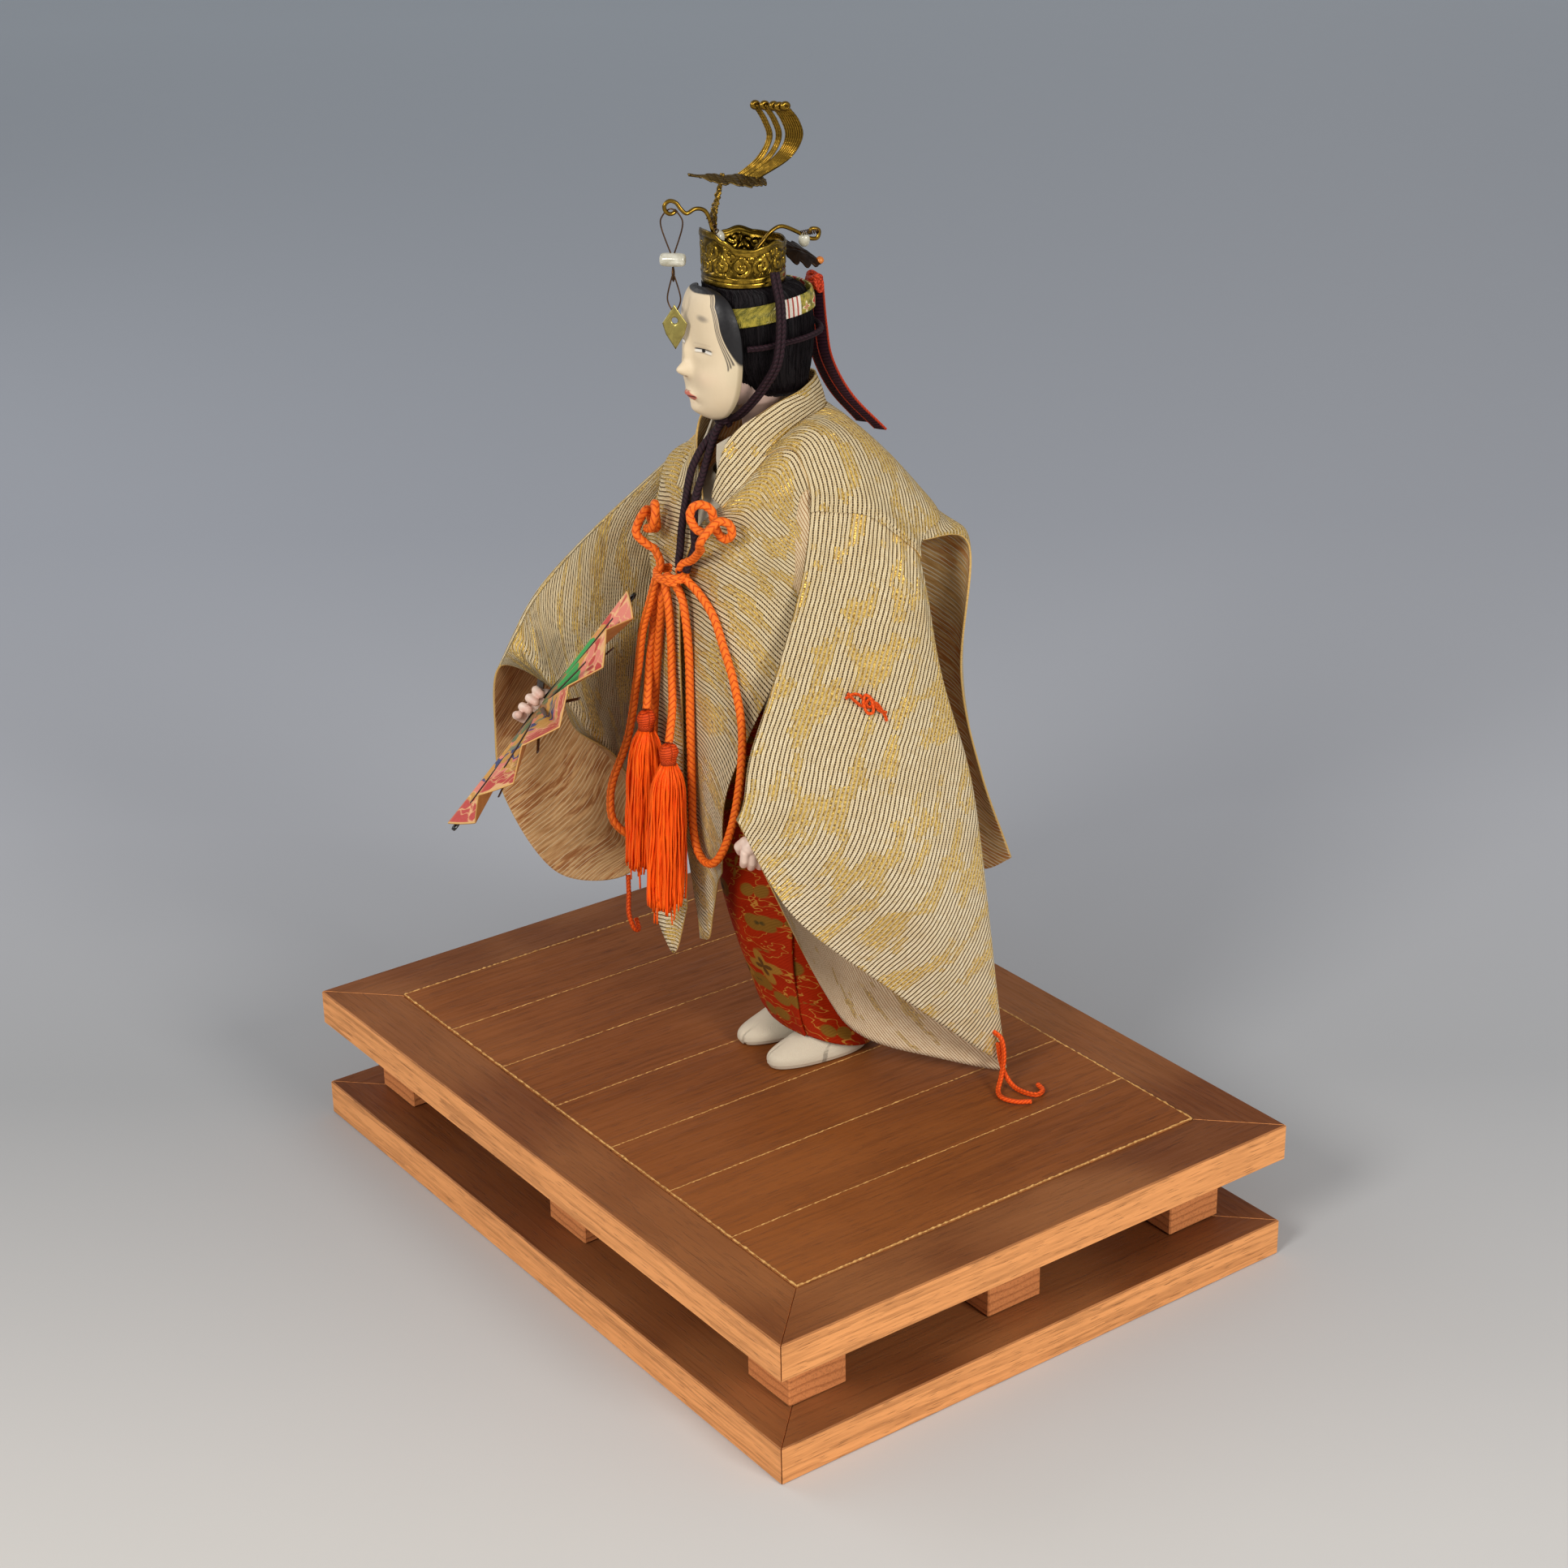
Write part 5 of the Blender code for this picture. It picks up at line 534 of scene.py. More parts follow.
def floor():
    """A pale sheet that turns to a soft grey far behind the doll, with a painted shadow just behind the stage and
    painted light towards the right of the view.
    """
    size = 10.0
    data = bpy.data.meshes.new("floor")
    data.from_pydata([(-size, -size, 0), (size, -size, 0), (size, size, 0), (-size, size, 0)], [], [(0, 1, 2, 3)])
    item = bpy.data.objects.new("floor", data)
    bpy.context.scene.collection.objects.link(item)
    paint = Paint("floor", 0.9)
    x, y, _ = paint.parts(paint.place())
    away = paint.math("MULTIPLY_ADD", y, 0.585, paint.math("MULTIPLY", x, -0.811))
    grain = paint.noise(paint.place(), 30.0, 2.0)
    # The darkest band of the ramp, just behind the stage, is a painted shadow of the stage.
    stops = ((0.075, tint(198, 194, 189)), (0.088, tint(194, 190, 186)), (0.150, tint(160, 160, 161)),
             (0.215, tint(172, 173, 178)), (0.330, tint(164, 167, 175)), (0.850, tint(188, 195, 203)))
    colour = paint.ramp(paint.math("MULTIPLY_ADD", away, 0.3, 0.13), *stops)
    # Lighter towards the right of the view: painted light.
    side = paint.math("MULTIPLY_ADD", x, 0.585, paint.math("MULTIPLY", y, 0.811))
    colour = paint.mix(paint.step(side, -0.25, 0.55, 0.0, 0.22), colour, tint(206, 206, 210))
    data.materials.append(paint.done(paint.mix(paint.math("MULTIPLY", grain, 0.03), colour, tint(150, 152, 156))))


def light():
    world = bpy.data.worlds.new("studio")
    world.use_nodes = True
    shade = world.node_tree.nodes["Background"]
    shade.inputs["Color"].default_value = (0.95, 0.97, 1.0, 1.0)
    shade.inputs["Strength"].default_value = 0.42
    bpy.context.scene.world = world
    lamp("key", (0.45, -1.15, 0.88), (0.0, 0.0, 0.14), 0.45, 11.4, (1.0, 0.985, 0.95))
    lamp("side", (1.35, 0.10, 0.74), (0.0, 0.0, 0.12), 0.50, 11.6, (1.0, 0.985, 0.95))
    lamp("fill", (-1.15, -0.55, 0.80), (0.0, 0.0, 0.16), 0.80, 4.0)


camera()
floor()
light()
bpy.context.scene.view_settings.view_transform = "Standard"


# Curves, sheets and tubes

def spline(points, count, closed=False):
    """The solid model's smooth curve, or a whole row of them, through given places."""
    points = np.asarray(points, float)
    total = len(points)
    spans = total if closed else total - 1
    where = np.linspace(0, spans, count, endpoint=not closed)
    k = np.minimum(where.astype(int), spans - 1)
    t = (where - k).reshape((-1,) + (1,) * (points.ndim - 1))
    if closed:
        a, b, c, d = (points[(k + j) % total] for j in (-1, 0, 1, 2))
    else:
        full = np.concatenate([[2 * points[0] - points[1]], points, [2 * points[-1] - points[-2]]])
        a, b, c, d = (full[k + j] for j in range(4))
    return 0.5 * (2 * b + (c - a) * t + (2 * a - 5 * b + 4 * c - d) * t ** 2 + (3 * b - a - 3 * c + d) * t ** 3)


def run_of(points):
    return np.concatenate([[0.0], np.cumsum(np.linalg.norm(np.diff(points, axis=0), axis=1))])


def even(points, count):
    fine = spline(points, 60 * len(points))
    run = run_of(fine)
    want = np.linspace(0, run[-1], count)
    return np.stack([np.interp(want, run, fine[:, i]) for i in range(3)], axis=1)


def sheet_grid(table, down, across, closed=False):
    """Places on a sheet through a table of shares, rows down and columns across."""
    rows = np.array(table, float) * ARM
    fine = spline(rows.swapaxes(0, 1), across, closed)
    return spline(fine.swapaxes(0, 1), down)


def place_world(points):
    return np.asarray(points).reshape(-1, 3) @ TURN.T + SHIFT


def new_mesh(name, points, faces, materials, body, slot_of=None, smooth=True, groups=None, weave=None, tints=None,
             local=True):
    """A piece from its points and faces, in the right place and riding on its body."""
    data = bpy.data.meshes.new(name)
    points = place_world(points) if local else np.asarray(points).reshape(-1, 3)
    data.from_pydata(points.tolist(), [], [tuple(f) for f in faces])
    data.update()
    for finish in materials:
        data.materials.append(finish)
    if groups is not None:
        data.polygons.foreach_set("material_index", np.asarray(groups, np.int32))
    if smooth:
        data.shade_smooth()
    if weave is not None:
        layer = data.attributes.new("weave", "FLOAT_VECTOR", "POINT")
        layer.data.foreach_set("vector", np.asarray(weave, np.float32).ravel())
    if tints is not None:
        layer = data.attributes.new("tint", "FLOAT_COLOR", "POINT")
        layer.data.foreach_set("color", np.asarray(tints, np.float32).ravel())
    item = bpy.data.objects.new(name, data)
    bpy.context.scene.collection.objects.link(item)
    if body:
        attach(item, body)
    return item


def quads(down, across, closed=False, start=0, flip=False):
    i = np.arange(across if closed else across - 1)
    j = np.arange(down - 1)
    jj, ii = np.meshgrid(j, i, indexing="ij")
    k = (ii + 1) % across
    faces = np.stack([jj * across + ii, jj * across + k, (jj + 1) * across + k, (jj + 1) * across + ii], axis=-1)
    faces = faces.reshape(-1, 4) + start
    return faces[:, ::-1] if flip else faces


def normals_of(grid, closed=False):
    if closed:
        across = np.roll(grid, -1, axis=1) - np.roll(grid, 1, axis=1)
    else:
        across = np.gradient(grid, axis=1)
    down = np.gradient(grid, axis=0)
    out = np.cross(across, down)
    return out / np.maximum(np.linalg.norm(out, axis=2, keepdims=True), 1e-12)


def arcs(grid, column=0, row=0):
    """How far each place is from one column, across, and from one row, down, along the sheet."""
    across = np.concatenate([np.zeros((grid.shape[0], 1)),
                             np.cumsum(np.linalg.norm(np.diff(grid, axis=1), axis=2), axis=1)], axis=1)
    down = np.concatenate([np.zeros((1, grid.shape[1])),
                           np.cumsum(np.linalg.norm(np.diff(grid, axis=0), axis=2), axis=0)], axis=0)
    return across - across[:, column:column + 1], down - down[row:row + 1, :]


def two_sided(name, grid, thickness, materials, body, closed=False, flip=False, weave=None, tints=None, offset=0.0):
    """A sheet with its thickness: an outer side, an inner side and an edge, each with its own material."""
    down, across = grid.shape[:2]
    out = normals_of(grid, closed) * (-1 if flip else 1)
    outer = grid + out * thickness * (0.5 + offset / 2)
    inner = grid - out * thickness * (0.5 - offset / 2)
    points = np.concatenate([outer.reshape(-1, 3), inner.reshape(-1, 3)])
    total = down * across
    faces = [quads(down, across, closed, 0, flip), quads(down, across, closed, total, not flip)]
    groups = [np.zeros(len(faces[0])), np.full(len(faces[1]), min(1, len(materials) - 1))]
    index = np.arange(total).reshape(down, across)
    rims = [index[0], index[-1][::-1]]
    if not closed:
        rims += [index[::-1, 0], index[:, -1]]
    for k, line in enumerate(rims):
        a, b = line[:-1], line[1:]
        if closed:
            a, b = line, np.roll(line, -1)
        rim = np.stack([a, a + total, b + total, b], axis=1)
        faces.append(rim[:, ::-1] if flip else rim)
        groups.append(np.full(len(rim), len(materials) - 1 if len(materials) > 2 else 0))
    if weave is not None:
        weave = np.concatenate([weave.reshape(-1, 3)] * 2)
    if tints is not None:
        tints = np.concatenate([tints.reshape(-1, 4)] * 2)
    return new_mesh(name, points, np.concatenate(faces).tolist(), materials, body, groups=np.concatenate(groups),
                    weave=weave, tints=tints)


def frames_along(route):
    """A direction and two cross directions at each place on a route, without sudden turns."""
    along = np.gradient(route, axis=0)
    along /= np.linalg.norm(along, axis=1, keepdims=True)
    side = np.cross(along[0], (0.31, 0.17, 0.93))
    side /= np.linalg.norm(side)
    sides = []
    for direction in along:
        side = side - direction * (side @ direction)
        side /= np.linalg.norm(side)
        sides.append(side)
    sides = np.array(sides)
    return along, sides, np.cross(along, sides)


def tube_parts(route, radius, columns=12, relief=None, start=0):
    """Points, faces and layout of a round cord; relief(turn, run) swells its radius."""
    along, side, other = frames_along(route)
    run = run_of(route)
    turn = 2 * math.pi * np.arange(columns) / columns
    size = np.broadcast_to(np.asarray(radius, float).reshape(-1, 1), (len(route), columns))
    if relief is not None:
        size = size * relief(turn[None, :], run[:, None])
    ring = side[:, None] * np.cos(turn)[None, :, None] + other[:, None] * np.sin(turn)[None, :, None]
    points = route[:, None] + ring * size[:, :, None]
    faces = quads(len(route), columns, True, start).tolist()
    last = start + (len(route) - 1) * columns
    faces.append(tuple(reversed(range(start, start + columns))))
    faces.append(tuple(range(last, last + columns)))
    weave = np.stack([np.broadcast_to(turn[None, :] / (2 * math.pi), size.shape),
                      np.broadcast_to(run[:, None], size.shape), np.zeros(size.shape)], axis=-1)
    return points.reshape(-1, 3), faces, weave.reshape(-1, 3)


def tube(name, route, radius, finish, body, columns=12, relief=None, local=True):
    points, faces, weave = tube_parts(np.asarray(route), radius, columns, relief)
    return new_mesh(name, points, faces, [finish], body, weave=weave, local=local)


def gathered(name, parts, materials, body, tints=None, local=True):
    """One piece from several sets of points, faces and layout."""
    points, faces, weave, start = [], [], [], 0
    for more, ends, layout in parts:
        points.append(more)
        faces += [[start + i for i in face] for face in ends]
        weave.append(layout)
        start += len(more)
    return new_mesh(name, np.concatenate(points), faces, materials, body, weave=np.concatenate(weave),
                    tints=tints, local=local)


def braid(period, depth, plaits=2):
    """Relief of a round plait: strands that slant one way and then the other round the cord."""
    def relief(turn, run):
        slant = np.abs(((turn * plaits / math.pi) % 2) - 1)
        return 1 - depth + depth * np.abs(np.sin(math.pi * (run / period + slant * 0.9)))
    return relief


def loft_grid(sections, down, count, square=2.0):
    """A rounded solid's side through level sections of centre, height and half sizes."""
    rows = np.array(sections, float) * ARM
    fine = spline(rows, down)
    turn = 2 * math.pi * np.arange(count) / count
    c, s = np.cos(turn), np.sin(turn)
    x = np.sign(c) * np.abs(c) ** (2 / square)
    y = np.sign(s) * np.abs(s) ** (2 / square)
    grid = np.empty((down, count, 3))
    grid[..., 0] = fine[:, 0:1] + x * fine[:, 3:4]
    grid[..., 1] = fine[:, 1:2] + y * fine[:, 4:5]
    grid[..., 2] = fine[:, 2:3]
    return grid


def capped(grid, start=0):
    down, count = grid.shape[:2]
    faces = quads(down, count, True, start).tolist()
    last = start + (down - 1) * count
    faces.append(tuple(reversed(range(start, start + count))))
    faces.append(tuple(range(last, last + count)))
    return faces


def waves(u, v, seed, count=7, low=1.0, high=4.0):
    """A smooth uneven surface from a few crossing waves, about -1 to 1."""
    pick = np.random.default_rng(seed)
    total = np.zeros(np.broadcast(u, v).shape)
    for _ in range(count):
        total += np.sin(pick.uniform(low, high) * u + pick.uniform(low, high) * v * pick.choice((-1, 1))
                        + pick.uniform(0, 6.28))
    return total / math.sqrt(count)


# Materials

STRIPE = 0.00135
WEFT = 0.00074


def gauze(name, light, mid, gap, gold, share=0.5):
    """Open silk gauze: pairs of cream threads, dotted dark gaps, and clouds of gold dashes woven across."""
    paint = Paint(name, 0.7, specular=0.2)
    where = paint.layout()
    x, y, _ = paint.parts(where)
    # Painted shade: the cloth turns darker and browner from 0.10 m up to 0.21 m above the floor.
    painted_height_shade = paint.step(paint.parts(paint.place())[2], 0.10, 0.21, 0.0, 0.8)
    stray = paint.math("SUBTRACT", paint.noise(where, 170.0, 2.0), 0.5)
    x = paint.math("MULTIPLY_ADD", stray, 0.0007, x)
    away = paint.math("ABSOLUTE", paint.math("SUBTRACT", paint.math("FRACT", paint.math("DIVIDE", x, STRIPE)), 0.5))
    pick = paint.math("ABSOLUTE", paint.math("SUBTRACT", paint.math("FRACT", paint.math("DIVIDE", y, WEFT)), 0.5))
    open_gap = paint.step(away, 0.28, 0.34)
    split = paint.step(away, 0.055, 0.015)
    weft = paint.step(pick, 0.22, 0.36)
    fibre = paint.noise(paint.scaled(where, 3000.0, 500.0, 1.0), 1.0, 3.0, 0.7)
    fade = paint.noise(where, 60.0, 3.0, 0.6)
    thread = paint.mix(paint.step(fibre, 0.35, 0.75), light, mid)
    thread = paint.mix(paint.step(fade, 0.45, 0.75, 0.0, 0.55), thread, mid)
    thread = paint.mix(paint.math("MULTIPLY", split, 0.55), thread, gap)
    low = paint.mix(paint.math("MULTIPLY", weft, 0.42), gap, mid)
    base = paint.mix(open_gap, thread, low)
    column = paint.math("FLOOR", paint.math("DIVIDE", x, STRIPE))
    shifted = paint.math("MULTIPLY_ADD", column, 0.37, paint.math("DIVIDE", y, 2.5 * WEFT))
    run = paint.math("SUBTRACT", paint.math("FLOOR", shifted), paint.math("MULTIPLY", column, 0.37))
    snapped = paint.joined(paint.math("MULTIPLY", column, STRIPE * 120.0), paint.math(
        "MULTIPLY", run, 2.5 * WEFT * 52.0))
    cloud = paint.noise(snapped, 1.0, 4.0, 0.60, 0.5)
    cloud = paint.step(cloud, 1.0 - share, 1.02 - share)
    ragged = paint.step(paint.noise(paint.scaled(where, 1100.0, 1350.0, 1.0), 1.0, 1.0), 0.30, 0.44)
    bar = paint.step(away, 0.13, 0.24)
    dash = paint.math("MULTIPLY", bar, paint.step(pick, 0.47, 0.36, 0.35, 1.0))
    shine = paint.math("MULTIPLY", paint.math("MULTIPLY", cloud, ragged), dash)
    # glint: painted highlights, gold dashes picked at random to show a bright highlight colour.
    glint = paint.noise(where, 1500.0, 1.0)
    bright, dull = gold
    base = paint.mix(paint.math("MULTIPLY", cloud, 0.22), base, dull)
    colour = paint.mix(shine, base, paint.ramp(glint, (0.35, dull), (0.62, bright)))
    # Painted shade, stronger higher up.
    colour = paint.mix(painted_height_shade, colour, (0.82, 0.78, 0.68, 1.0), "MULTIPLY")
    roundness = paint.math("SINE", paint.math("MULTIPLY", paint.math("MINIMUM", paint.math(
        "MULTIPLY", away, 2.9), 1.0), math.pi))
    height = paint.math("MULTIPLY_ADD", shine, 0.9, roundness)
    height = paint.math("MULTIPLY_ADD", fibre, 0.35, height)
    return paint.done(colour, height, 0.00015, metallic=paint.math("MULTIPLY", shine, 0.45),
                      roughness=paint.math("MULTIPLY_ADD", shine, -0.36, 0.70))


def gauze_wrong_side(name, base, deep, patch, strand, strands=1.0):
    """The cloth's inside: gold-brown ground, darker dashed lines, rusty patches and loose cream threads."""
    paint = Paint(name, 0.72, specular=0.2)
    where = paint.layout()
    x, y, _ = paint.parts(where)
    stray = paint.math("SUBTRACT", paint.noise(where, 120.0, 2.0), 0.5)
    x = paint.math("MULTIPLY_ADD", stray, 0.0012, x)
    away = paint.math("ABSOLUTE", paint.math("SUBTRACT", paint.math("FRACT", paint.math("DIVIDE", x, STRIPE)), 0.5))
    streak = paint.noise(paint.scaled(where, 900.0, 120.0, 1.0), 1.0, 3.0, 0.6)
    broad = paint.noise(paint.scaled(where, 90.0, 40.0, 1.0), 1.0, 3.0, 0.6, 0.6)
    colour = paint.mix(paint.step(streak, 0.35, 0.7), base, deep)
    patches = paint.math("MULTIPLY", paint.step(broad, 0.50, 0.56), paint.step(streak, 0.42, 0.55))
    colour = paint.mix(paint.math("MULTIPLY", patches, 0.75), colour, patch)
    line = paint.math("MULTIPLY", paint.step(away, 0.40, 0.46), 0.65)
    colour = paint.mix(line, colour, deep)
    loose = paint.step(paint.noise(paint.scaled(where, 740.0, 25.0, 1.0), 1.0, 1.0), 0.36, 0.46)
    thread = paint.math("MULTIPLY", paint.step(away, 0.13, 0.07), paint.math("MULTIPLY", loose, strands))
    colour = paint.mix(thread, colour, strand)
    height = paint.math("MULTIPLY_ADD", thread, 1.2, streak)
    return paint.done(colour, height, 0.00014)


def wood(name, axis, side, top, dark, contrast=0.55):
    """Planed softwood with its grain along one axis; the face that looks up takes a darker colour, which is painted
    shade.
    """
    paint = Paint(name, 0.62, specular=0.16)
    where = paint.place()
    long, cross = 5.0, 95.0
    scale = [cross, cross, cross]
    scale[axis] = long
    broad = paint.noise(paint.scaled(where, *scale), 1.0, 4.0, 0.55)
    fine_scale = [v * 9.0 for v in scale]
    fine = paint.noise(paint.scaled(where, *fine_scale), 1.0, 3.0, 0.6)
    pore_scale = [2600.0, 2600.0, 2600.0]
    pore_scale[axis] = 130.0
    pores = paint.step(paint.noise(paint.scaled(where, *pore_scale), 1.0, 1.0), 0.62, 0.72)
    # up: faces that look up get the darker top colour, a painted shade.
    up = paint.step(paint.parts(paint.node("NewGeometry").outputs["Normal"])[2], 0.55, 0.8)
    lines = paint.step(paint.math("FRACT", paint.math("MULTIPLY", broad, 7.0)), 0.55, 0.98)
    body = paint.mix(up, side, top)
    shown = paint.math("MULTIPLY_ADD", up, 0.35 * contrast, 0.65 * contrast)
    colour = paint.mix(paint.math("MULTIPLY", lines, shown), body, dark)
    colour = paint.mix(paint.step(fine, 0.35, 0.75, 0.0, 0.34), colour, dark)
    colour = paint.mix(paint.math("MULTIPLY", pores, 0.4), colour, tint(70, 36, 20))
    patchy = paint.step(paint.noise(where, 14.0, 2.0), 0.4, 0.7)
    colour = paint.mix(paint.math("MULTIPLY", patchy, 0.16), colour, side)
    height = paint.math("SUBTRACT", paint.math("MULTIPLY_ADD", fine, 0.6, lines), pores)
    return paint.done(colour, height, 0.00008, roughness=paint.step(fine, 0.3, 0.7, 0.48, 0.68))


def end_grain():
    """The small sawn blocks: growth lines across the end."""
    paint = Paint("block_end_grain", 0.7, specular=0.25)
    where = paint.place()
    bent = paint.math("MULTIPLY_ADD", paint.noise(where, 30.0, 2.0), 0.006, paint.parts(where)[2])
    ring = paint.math("FRACT", paint.math("DIVIDE", bent, 0.0026))
    late = paint.step(ring, 0.62, 0.95)
    speck = paint.noise(where, 1900.0, 2.0)
    colour = paint.mix(paint.math("MULTIPLY", late, 0.5), tint(206, 130, 76), tint(150, 86, 46))
    colour = paint.mix(paint.step(speck, 0.45, 0.75, 0.0, 0.35), colour, tint(96, 48, 24))
    return paint.done(colour, paint.math("MULTIPLY_ADD", speck, 0.7, late), 0.0001)


def plain_cloth(name, colour, shade, thread=0.00035):
    """Closely woven plain cloth with its crossing threads."""
    paint = Paint(name, 0.8, specular=0.2)
    x, y, _ = paint.parts(paint.layout())
    warp = paint.math("SINE", paint.math("MULTIPLY", x, 2 * math.pi / thread))
    weft = paint.math("SINE", paint.math("MULTIPLY", y, 2 * math.pi / thread))
    check = paint.math("MULTIPLY", warp, weft)
    fade = paint.noise(paint.layout(), 60.0, 3.0)
    tone = paint.mix(paint.math("MULTIPLY_ADD", check, 0.12, paint.math("MULTIPLY", fade, 0.6)), colour, shade)
    return paint.done(tone, check, 0.00006)


def cord_paint(name, bright, deep, rough=0.6, strand=0.0009):
    """Plaited silk cord: fine filaments that lie along the strands, darker where they dip, which is painted shade in
    the grooves.
    """
    paint = Paint(name, rough, specular=0.2)
    where = paint.layout()
    turn, run, _ = paint.parts(where)
    slant = paint.math("PINGPONG", paint.math("MULTIPLY", turn, 4.0), 1.0)
    beat = paint.math("MULTIPLY_ADD", slant, 0.9, paint.math("DIVIDE", run, strand * 2))
    dip = paint.math("ABSOLUTE", paint.math("SINE", paint.math("MULTIPLY", beat, math.pi)))
    hair = paint.noise(paint.scaled(where, 34.0, 1500.0, 1.0), 1.0, 3.0, 0.7)
    # The deep colour in the grooves is painted shade, and the bright colour on the crowns of the strands is painted
    # light.
    tone = paint.mix(paint.step(dip, 0.05, 0.7), deep, bright)
    tone = paint.mix(paint.step(hair, 0.3, 0.75, 0.0, 0.35), tone, deep)
    fade = paint.noise(paint.place(), 70.0, 2.0)
    tone = paint.mix(paint.math("MULTIPLY", fade, 0.22), tone, deep)
    return paint.done(tone, paint.math("MULTIPLY_ADD", hair, 0.3, dip), 0.00015)


def floss(name, bright, deep):
    paint = Paint(name, 0.6, specular=0.2)
    where = paint.place()
    tone = paint.ramp(paint.noise(paint.scaled(where, 1800.0, 1800.0, 60.0), 1.0, 3.0, 0.7), (0.3, deep), (0.7, bright))
    tone = paint.mix(paint.math("MULTIPLY", paint.noise(where, 90.0, 2.0), 0.3), tone, deep)
    return paint.done(tone, paint.noise(paint.scaled(where, 4000.0, 4000.0, 90.0), 1.0, 2.0), 0.0001)


def metal(name, bright, deep, rough=0.32, grime_and_hollow_shade=0.5, carved=False):
    """Old gilt or bronze sheet: worn bright on the high places, dull and browned in the low ones, the darkening there
    being browned gilt and also painted shade in the hollows.
    """
    paint = Paint(name, rough, 1.0)
    where = paint.place()
    worn = paint.noise(where, 420.0, 4.0, 0.6)
    broad = paint.noise(where, 90.0, 3.0, 0.55)
    # The low places take the deep colour: browned gilt and painted shade.
    high = paint.step(paint.node("NewGeometry").outputs["Pointiness"], 0.47, 0.54)
    if carved:
        # On the carved band the raised scrolls and rims are the high places, and the flat ground between them is
        # painted darker, as browned gilt and painted shade.
        high = paint.step(paint.parts(paint.layout())[0], 0.10, 0.75)
    tone = paint.mix(paint.step(worn, 0.35, 0.7, 0.0, grime_and_hollow_shade), bright, deep)
    tone = paint.mix(paint.math("MULTIPLY", paint.math("SUBTRACT", 1.0, high), grime_and_hollow_shade), tone, deep)
    height = paint.math("MULTIPLY_ADD", broad, 0.6, worn)
    return paint.done(tone, height, 0.00005, roughness=paint.step(worn, 0.3, 0.8, rough - 0.06, rough + 0.2))


def flower_marks(paint, where, spacing, size, petals=5.0):
    """Soft five-petalled marks scattered over the cloth: how far out of each one a place is."""
    cells = paint.node("TexVoronoi")
    paint.feed(cells.inputs["Vector"], where)
    cells.inputs["Scale"].default_value = 1 / spacing
    cells.inputs["Randomness"].default_value = 0.55
    away = paint.node("VectorMath", where, cells.outputs["Position"], operation="SUBTRACT").outputs[0]
    x, y, _ = paint.parts(away)
    angle = paint.math("ARCTAN2", y, x)
    reach = paint.math("MULTIPLY_ADD", paint.math("COSINE", paint.math("MULTIPLY", angle, petals)), 0.30, 1.0)
    length = paint.node("VectorMath", away, operation="LENGTH").outputs[1]
    return paint.math("DIVIDE", length, paint.math("MULTIPLY", reach, size)), cells.outputs["Color"]


def red_silk():
    paint = Paint("red_silk_brocade", 0.66, specular=0.08)
    where = paint.layout()
    x, y, _ = paint.parts(where)
    rib = paint.math("SINE", paint.math("MULTIPLY", y, 2 * math.pi / 0.00042))
    out, _ = flower_marks(paint, where, 0.0190, 0.0052, 4.0)
    bloom = paint.step(out, 1.05, 0.9)
    heart = paint.step(out, 0.62, 0.5)
    leaf, _ = flower_marks(paint, paint.scaled(paint.joined(paint.math("ADD", x, 0.006), y), 1.0, 1.0, 1.0),
                           0.0125, 0.0050, 2.0)
    leaves = paint.step(leaf, 1.0, 0.85)
    vein = paint.noise(paint.scaled(where, 120.0, 240.0, 1.0), 1.0, 2.0)
    stem = paint.step(paint.math("ABSOLUTE", paint.math("SUBTRACT", vein, 0.5)), 0.016, 0.006)
    base = paint.mix(paint.noise(where, 70.0, 3.0), tint(196, 50, 4), tint(138, 24, 1))
    base = paint.mix(paint.math("MULTIPLY_ADD", rib, 0.10, 0.10), base, tint(110, 18, 4))
    colour = paint.mix(paint.math("MULTIPLY", stem, 0.8), base, tint(196, 140, 56))
    colour = paint.mix(leaves, colour, tint(134, 92, 30))
    colour = paint.mix(paint.math("MULTIPLY", leaves, paint.step(leaf, 0.45, 0.3)), colour, tint(84, 66, 30))
    colour = paint.mix(bloom, colour, tint(158, 110, 40))
    colour = paint.mix(heart, colour, tint(96, 60, 26))
    return paint.done(colour, paint.math("ADD", rib, bloom), 0.00007)


def brocade():
    """The headband: green-gold weave with red marks, and one pale length with red stripes."""
    paint = Paint("headband_brocade", 0.5, specular=0.4)
    where = paint.layout()
    x, y, _ = paint.parts(where)
    rib = paint.math("SINE", paint.math("MULTIPLY", x, 2 * math.pi / 0.0005))
    field = paint.ramp(paint.noise(where, 620.0, 3.0, 0.6), (0.35, tint(96, 92, 24)), (0.6, tint(168, 150, 52)))
    out, _ = flower_marks(paint, where, 0.0046, 0.0014, 4.0)
    colour = paint.mix(paint.step(out, 1.25, 1.05), field, tint(226, 210, 160))
    colour = paint.mix(paint.step(out, 0.95, 0.8), colour, tint(188, 58, 36))
    pale = paint.math("MULTIPLY", paint.step(x, 0.0004, 0.0008), paint.step(x, 0.0076, 0.0072))
    bars = paint.step(paint.math("FRACT", paint.math("DIVIDE", x, 0.0016)), 0.62, 0.7)
    stripes = paint.mix(bars, tint(226, 216, 200), tint(172, 70, 56))
    colour = paint.mix(pale, colour, stripes)
    return paint.done(colour, paint.math("ADD", rib, paint.step(out, 1.2, 0.8)), 0.00008)


